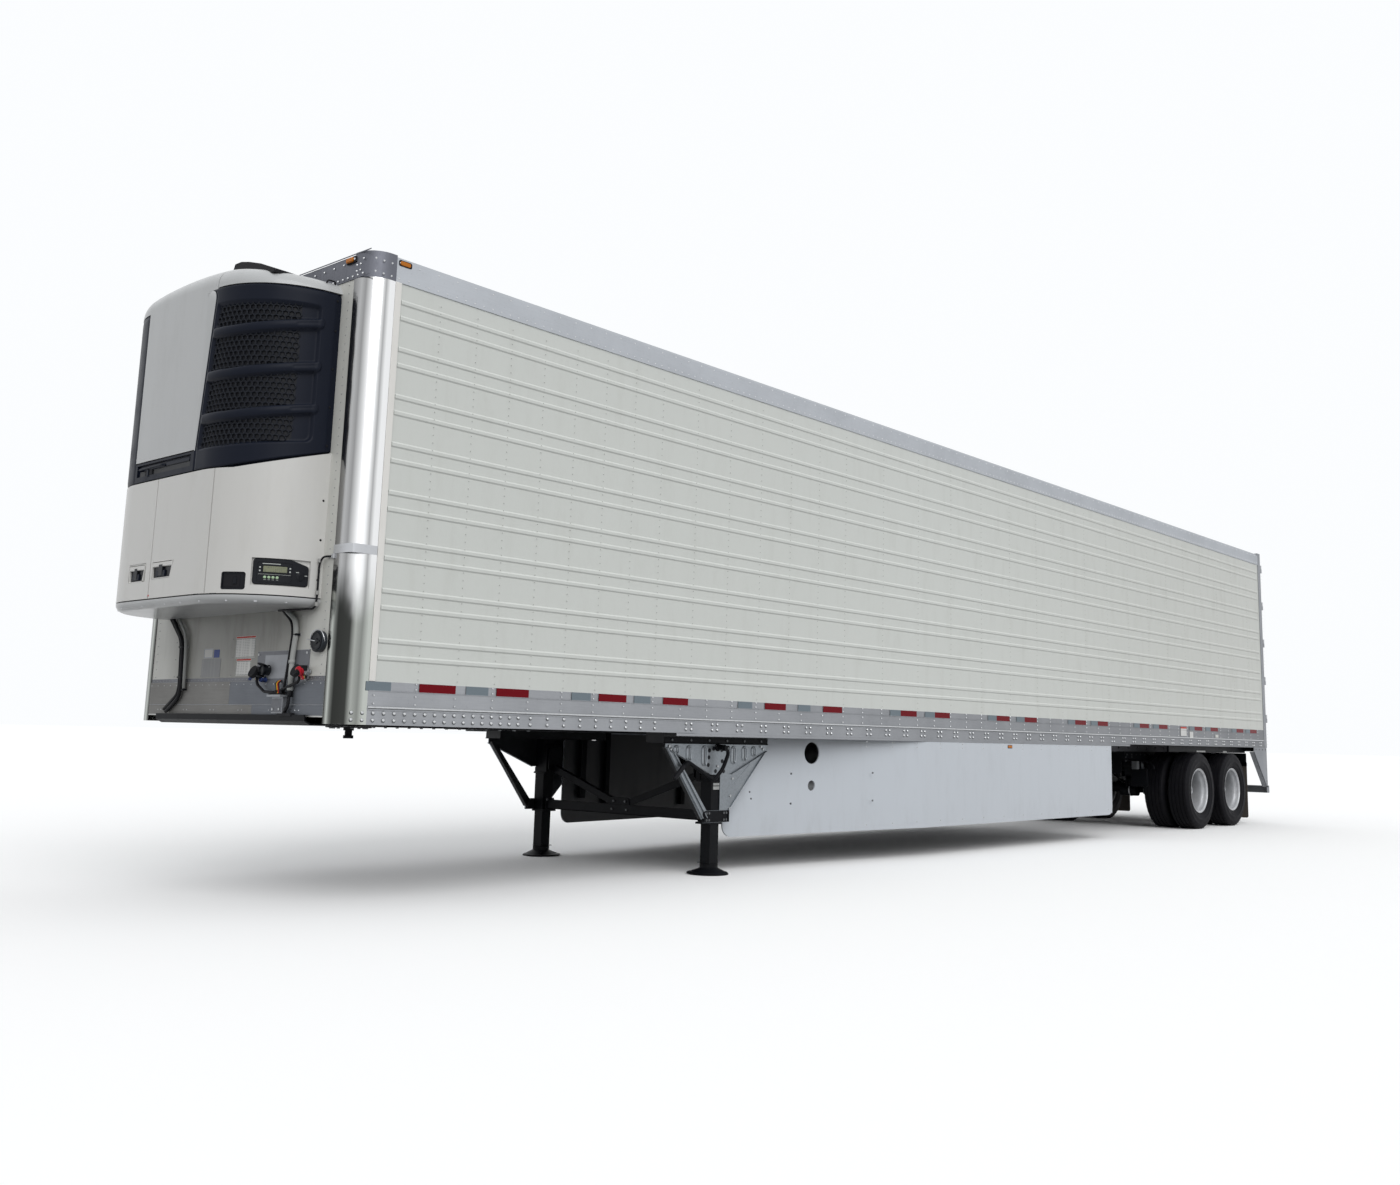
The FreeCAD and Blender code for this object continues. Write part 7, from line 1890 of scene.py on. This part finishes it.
# ---------------------------------------------------------------- inside and below
def cargo_lining():
    """Kick plates, scuff bands and the joints of the wall sheets, seen with the doors open."""
    piece = Piece("cargo_lining")
    start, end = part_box("rear_header")[1].x + 0.12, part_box("front_wall")[0].x - 0.02
    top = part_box("floor")[1].z
    for hand in (1, -1):
        inner_wall = placed((0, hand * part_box("left_side_wall")[0].y, 0), (hand, 0, 0), (0, 0, 1))
        for low, high, out in ((top + 0.004, top + 0.3, 0.004), (top + 0.3, top + 0.33, 0.012), (2.6, 2.66, 0.006)):
            piece.box(inner_wall, span(hand, start, end), (low, high), (0, out),
                      floor_metal if high < 2 else wall_white_shaded)
        for number in range(13):
            x = start + 0.6 + number * sheet_width
            piece.box(inner_wall, span(hand, x - 0.02, x + 0.02), (top + 0.33, 3.95), (0, 0.004), wall_white_shaded, 0.001)
    piece.done()


def frame_details():
    """Air lines and clamps under the floor, the kingpin's collar, aprons over the tandem, and coupler bolts."""
    piece = Piece("underbody_lines")
    beam, plate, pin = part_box("crossmembers"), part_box("coupler_plate"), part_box("kingpin")
    z = beam[0].z - 0.012
    for y, radius in ((0.12, 0.008), (0.145, 0.008), (-0.12, 0.011)):
        piece.tube([(6, y, z), (beam[0].x + 3.1, y, z)], radius, rubber_black, 10)
    for number in range(11):
        clamp = placed((5.6 - number * 0.95, 0.02, z), (0, 1, 0), (-1, 0, 0))
        piece.slab(clamp, oblong(-0.17, -0.012, 0.16, 0.012, 0.004), chassis_black, -0.013, -0.0095)
    under = placed(((pin[0].x + pin[1].x) / 2, 0, plate[0].z), (1, 0, 0), (0, -1, 0))
    piece.turned(under, [(0.16, 0), (0.16, 0.008), (0.15, 0.01), (0.09, 0.01), (0.085, 0.004)], chassis_black, 40)
    # black aprons under the rails over the tandem, each with two small blank white tags
    for hand in (1, -1):
        apron = outward(hand, 0, hand * 1.13)
        piece.box(apron, span(hand, 4.95, 7.83), (1.034, 1.135), (-0.03, 0), chassis_black, 0.003)
        for start, end in ((5.92, 6.24), (6.92, 7.07)):
            piece.box(apron, span(hand, start, end), (1.036, 1.058), (-0.001, 0.003), decal_print, 0.001)
    piece.box(forward(-7.83), (-1.25, 1.25), (1.06, 1.135), (-0.03, 0), chassis_black, 0.004)
    # one more strut behind each skirt, where it turns in
    for hand in (1, -1):
        y0, y1 = span(hand, 0.957, 0.998)
        piece.slab(forward(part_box("left_skirt")[1].x - 0.24), oblong(y0, 0.5, y1, 1.12, 0.012), chassis_black, -0.03,
                   0.03, 0.004)
    piece.done(crease=40)
    bolts = [(under(*spot, 0.01), down) for spot in round_about(8, 0.125, 0.5)]
    bolts += [((plate[0].x + 0.06, -1.15 + number * 2.3 / 15, plate[0].z), down) for number in range(16)]
    bolt_heads("coupler_bolts", bolts, 0.012, 0.007, screw_dark)


cargo_lining()
frame_details()


# ---------------------------------------------------------------- stage
def studio_floor():
    """A wide floor that the camera and mirrors see nearly white, and that sends little light back up."""
    reach = 400
    mesh = bpy.data.meshes.new("studio_floor")
    mesh.from_pydata([(-reach, -reach, 0), (reach, -reach, 0), (reach, reach, 0), (-reach, reach, 0)], [],
                     [(0, 1, 2, 3)])
    thing = bpy.data.objects.new("studio_floor", mesh)
    bpy.context.collection.objects.link(thing)
    f = Finish("studio_floor")
    f.tree.nodes.remove(f.shader)
    rays = f.node("ShaderNodeLightPath")
    camera, mirror, glass = (Wire(f, rays.outputs["Is " + kind + " Ray"]) for kind in ("Camera", "Glossy",
        "Transmission"))
    seen = camera.most(mirror).most(glass)
    dull, pale = (f.node("ShaderNodeBsdfDiffuse", {"Color": (level, level, level, 1)}) for level in (0.2, 0.97))
    mix = f.node("ShaderNodeMixShader", {0: seen, 1: Wire(f, dull.outputs[0]), 2: Wire(f, pale.outputs[0])})
    f.tree.links.new(mix.outputs[0], f.tree.nodes["Material Output"].inputs[0])
    mesh.materials.append(f.material)


def soft_light():
    """An even pale sky, a little dimmer as a light than it looks, and one broad key light."""
    world = bpy.data.worlds.new("soft_sky")
    bpy.context.scene.world = world
    world.use_nodes = True
    tree = world.node_tree
    back = tree.nodes["Background"]
    back.inputs["Color"].default_value = (0.97, 0.985, 1, 1)
    rays = tree.nodes.new("ShaderNodeLightPath")
    seen = tree.nodes.new("ShaderNodeMath")
    seen.operation = "MAXIMUM"
    level = tree.nodes.new("ShaderNodeMapRange")
    level.inputs["To Min"].default_value = 0.78
    for source, target in ((rays.outputs["Is Camera Ray"], seen.inputs[0]), (rays.outputs["Is Glossy Ray"],
            seen.inputs[1]), (seen.outputs[0], level.inputs["Value"]), (level.outputs[0], back.inputs["Strength"])):
        tree.links.new(source, target)
    key = bpy.data.lights.new("key", "SUN")
    key.energy, key.angle = 1.5, math.radians(50)
    lamp = bpy.data.objects.new("key", key)
    lamp.rotation_euler = Vector((0.42, 0.72, 0.62)).to_track_quat("Z", "Y").to_euler()
    bpy.context.collection.objects.link(lamp)


def main_camera():
    """The camera: ahead of the nose on the left, low, with its frame shifted and rolled a little."""
    lens = bpy.data.cameras.new("camera")
    lens.lens, lens.sensor_width = 33.587, 36
    lens.shift_x, lens.shift_y = -0.038, -0.0436
    lens.clip_end = 1500
    camera = bpy.data.objects.new("camera", lens)
    bpy.context.collection.objects.link(camera)
    yaw, pitch, roll = (math.radians(turn) for turn in (-139.997, 8.97, 1.308))
    gaze = Vector((math.cos(pitch) * math.cos(yaw), math.cos(pitch) * math.sin(yaw), math.sin(pitch)))
    level_right = Vector((math.sin(yaw), -math.cos(yaw), 0))
    level_up = level_right.cross(gaze)
    right = math.cos(roll) * level_right + math.sin(roll) * level_up
    up = -math.sin(roll) * level_right + math.cos(roll) * level_up
    turn = Matrix((right, up, -gaze)).transposed()
    camera.matrix_world = Matrix.Translation((front + 4.465, 8.229, 1.096)) @ turn.to_4x4()
    bpy.context.scene.camera = camera
    bpy.context.scene.view_settings.view_transform = "Standard"


studio_floor()
soft_light()
main_camera()
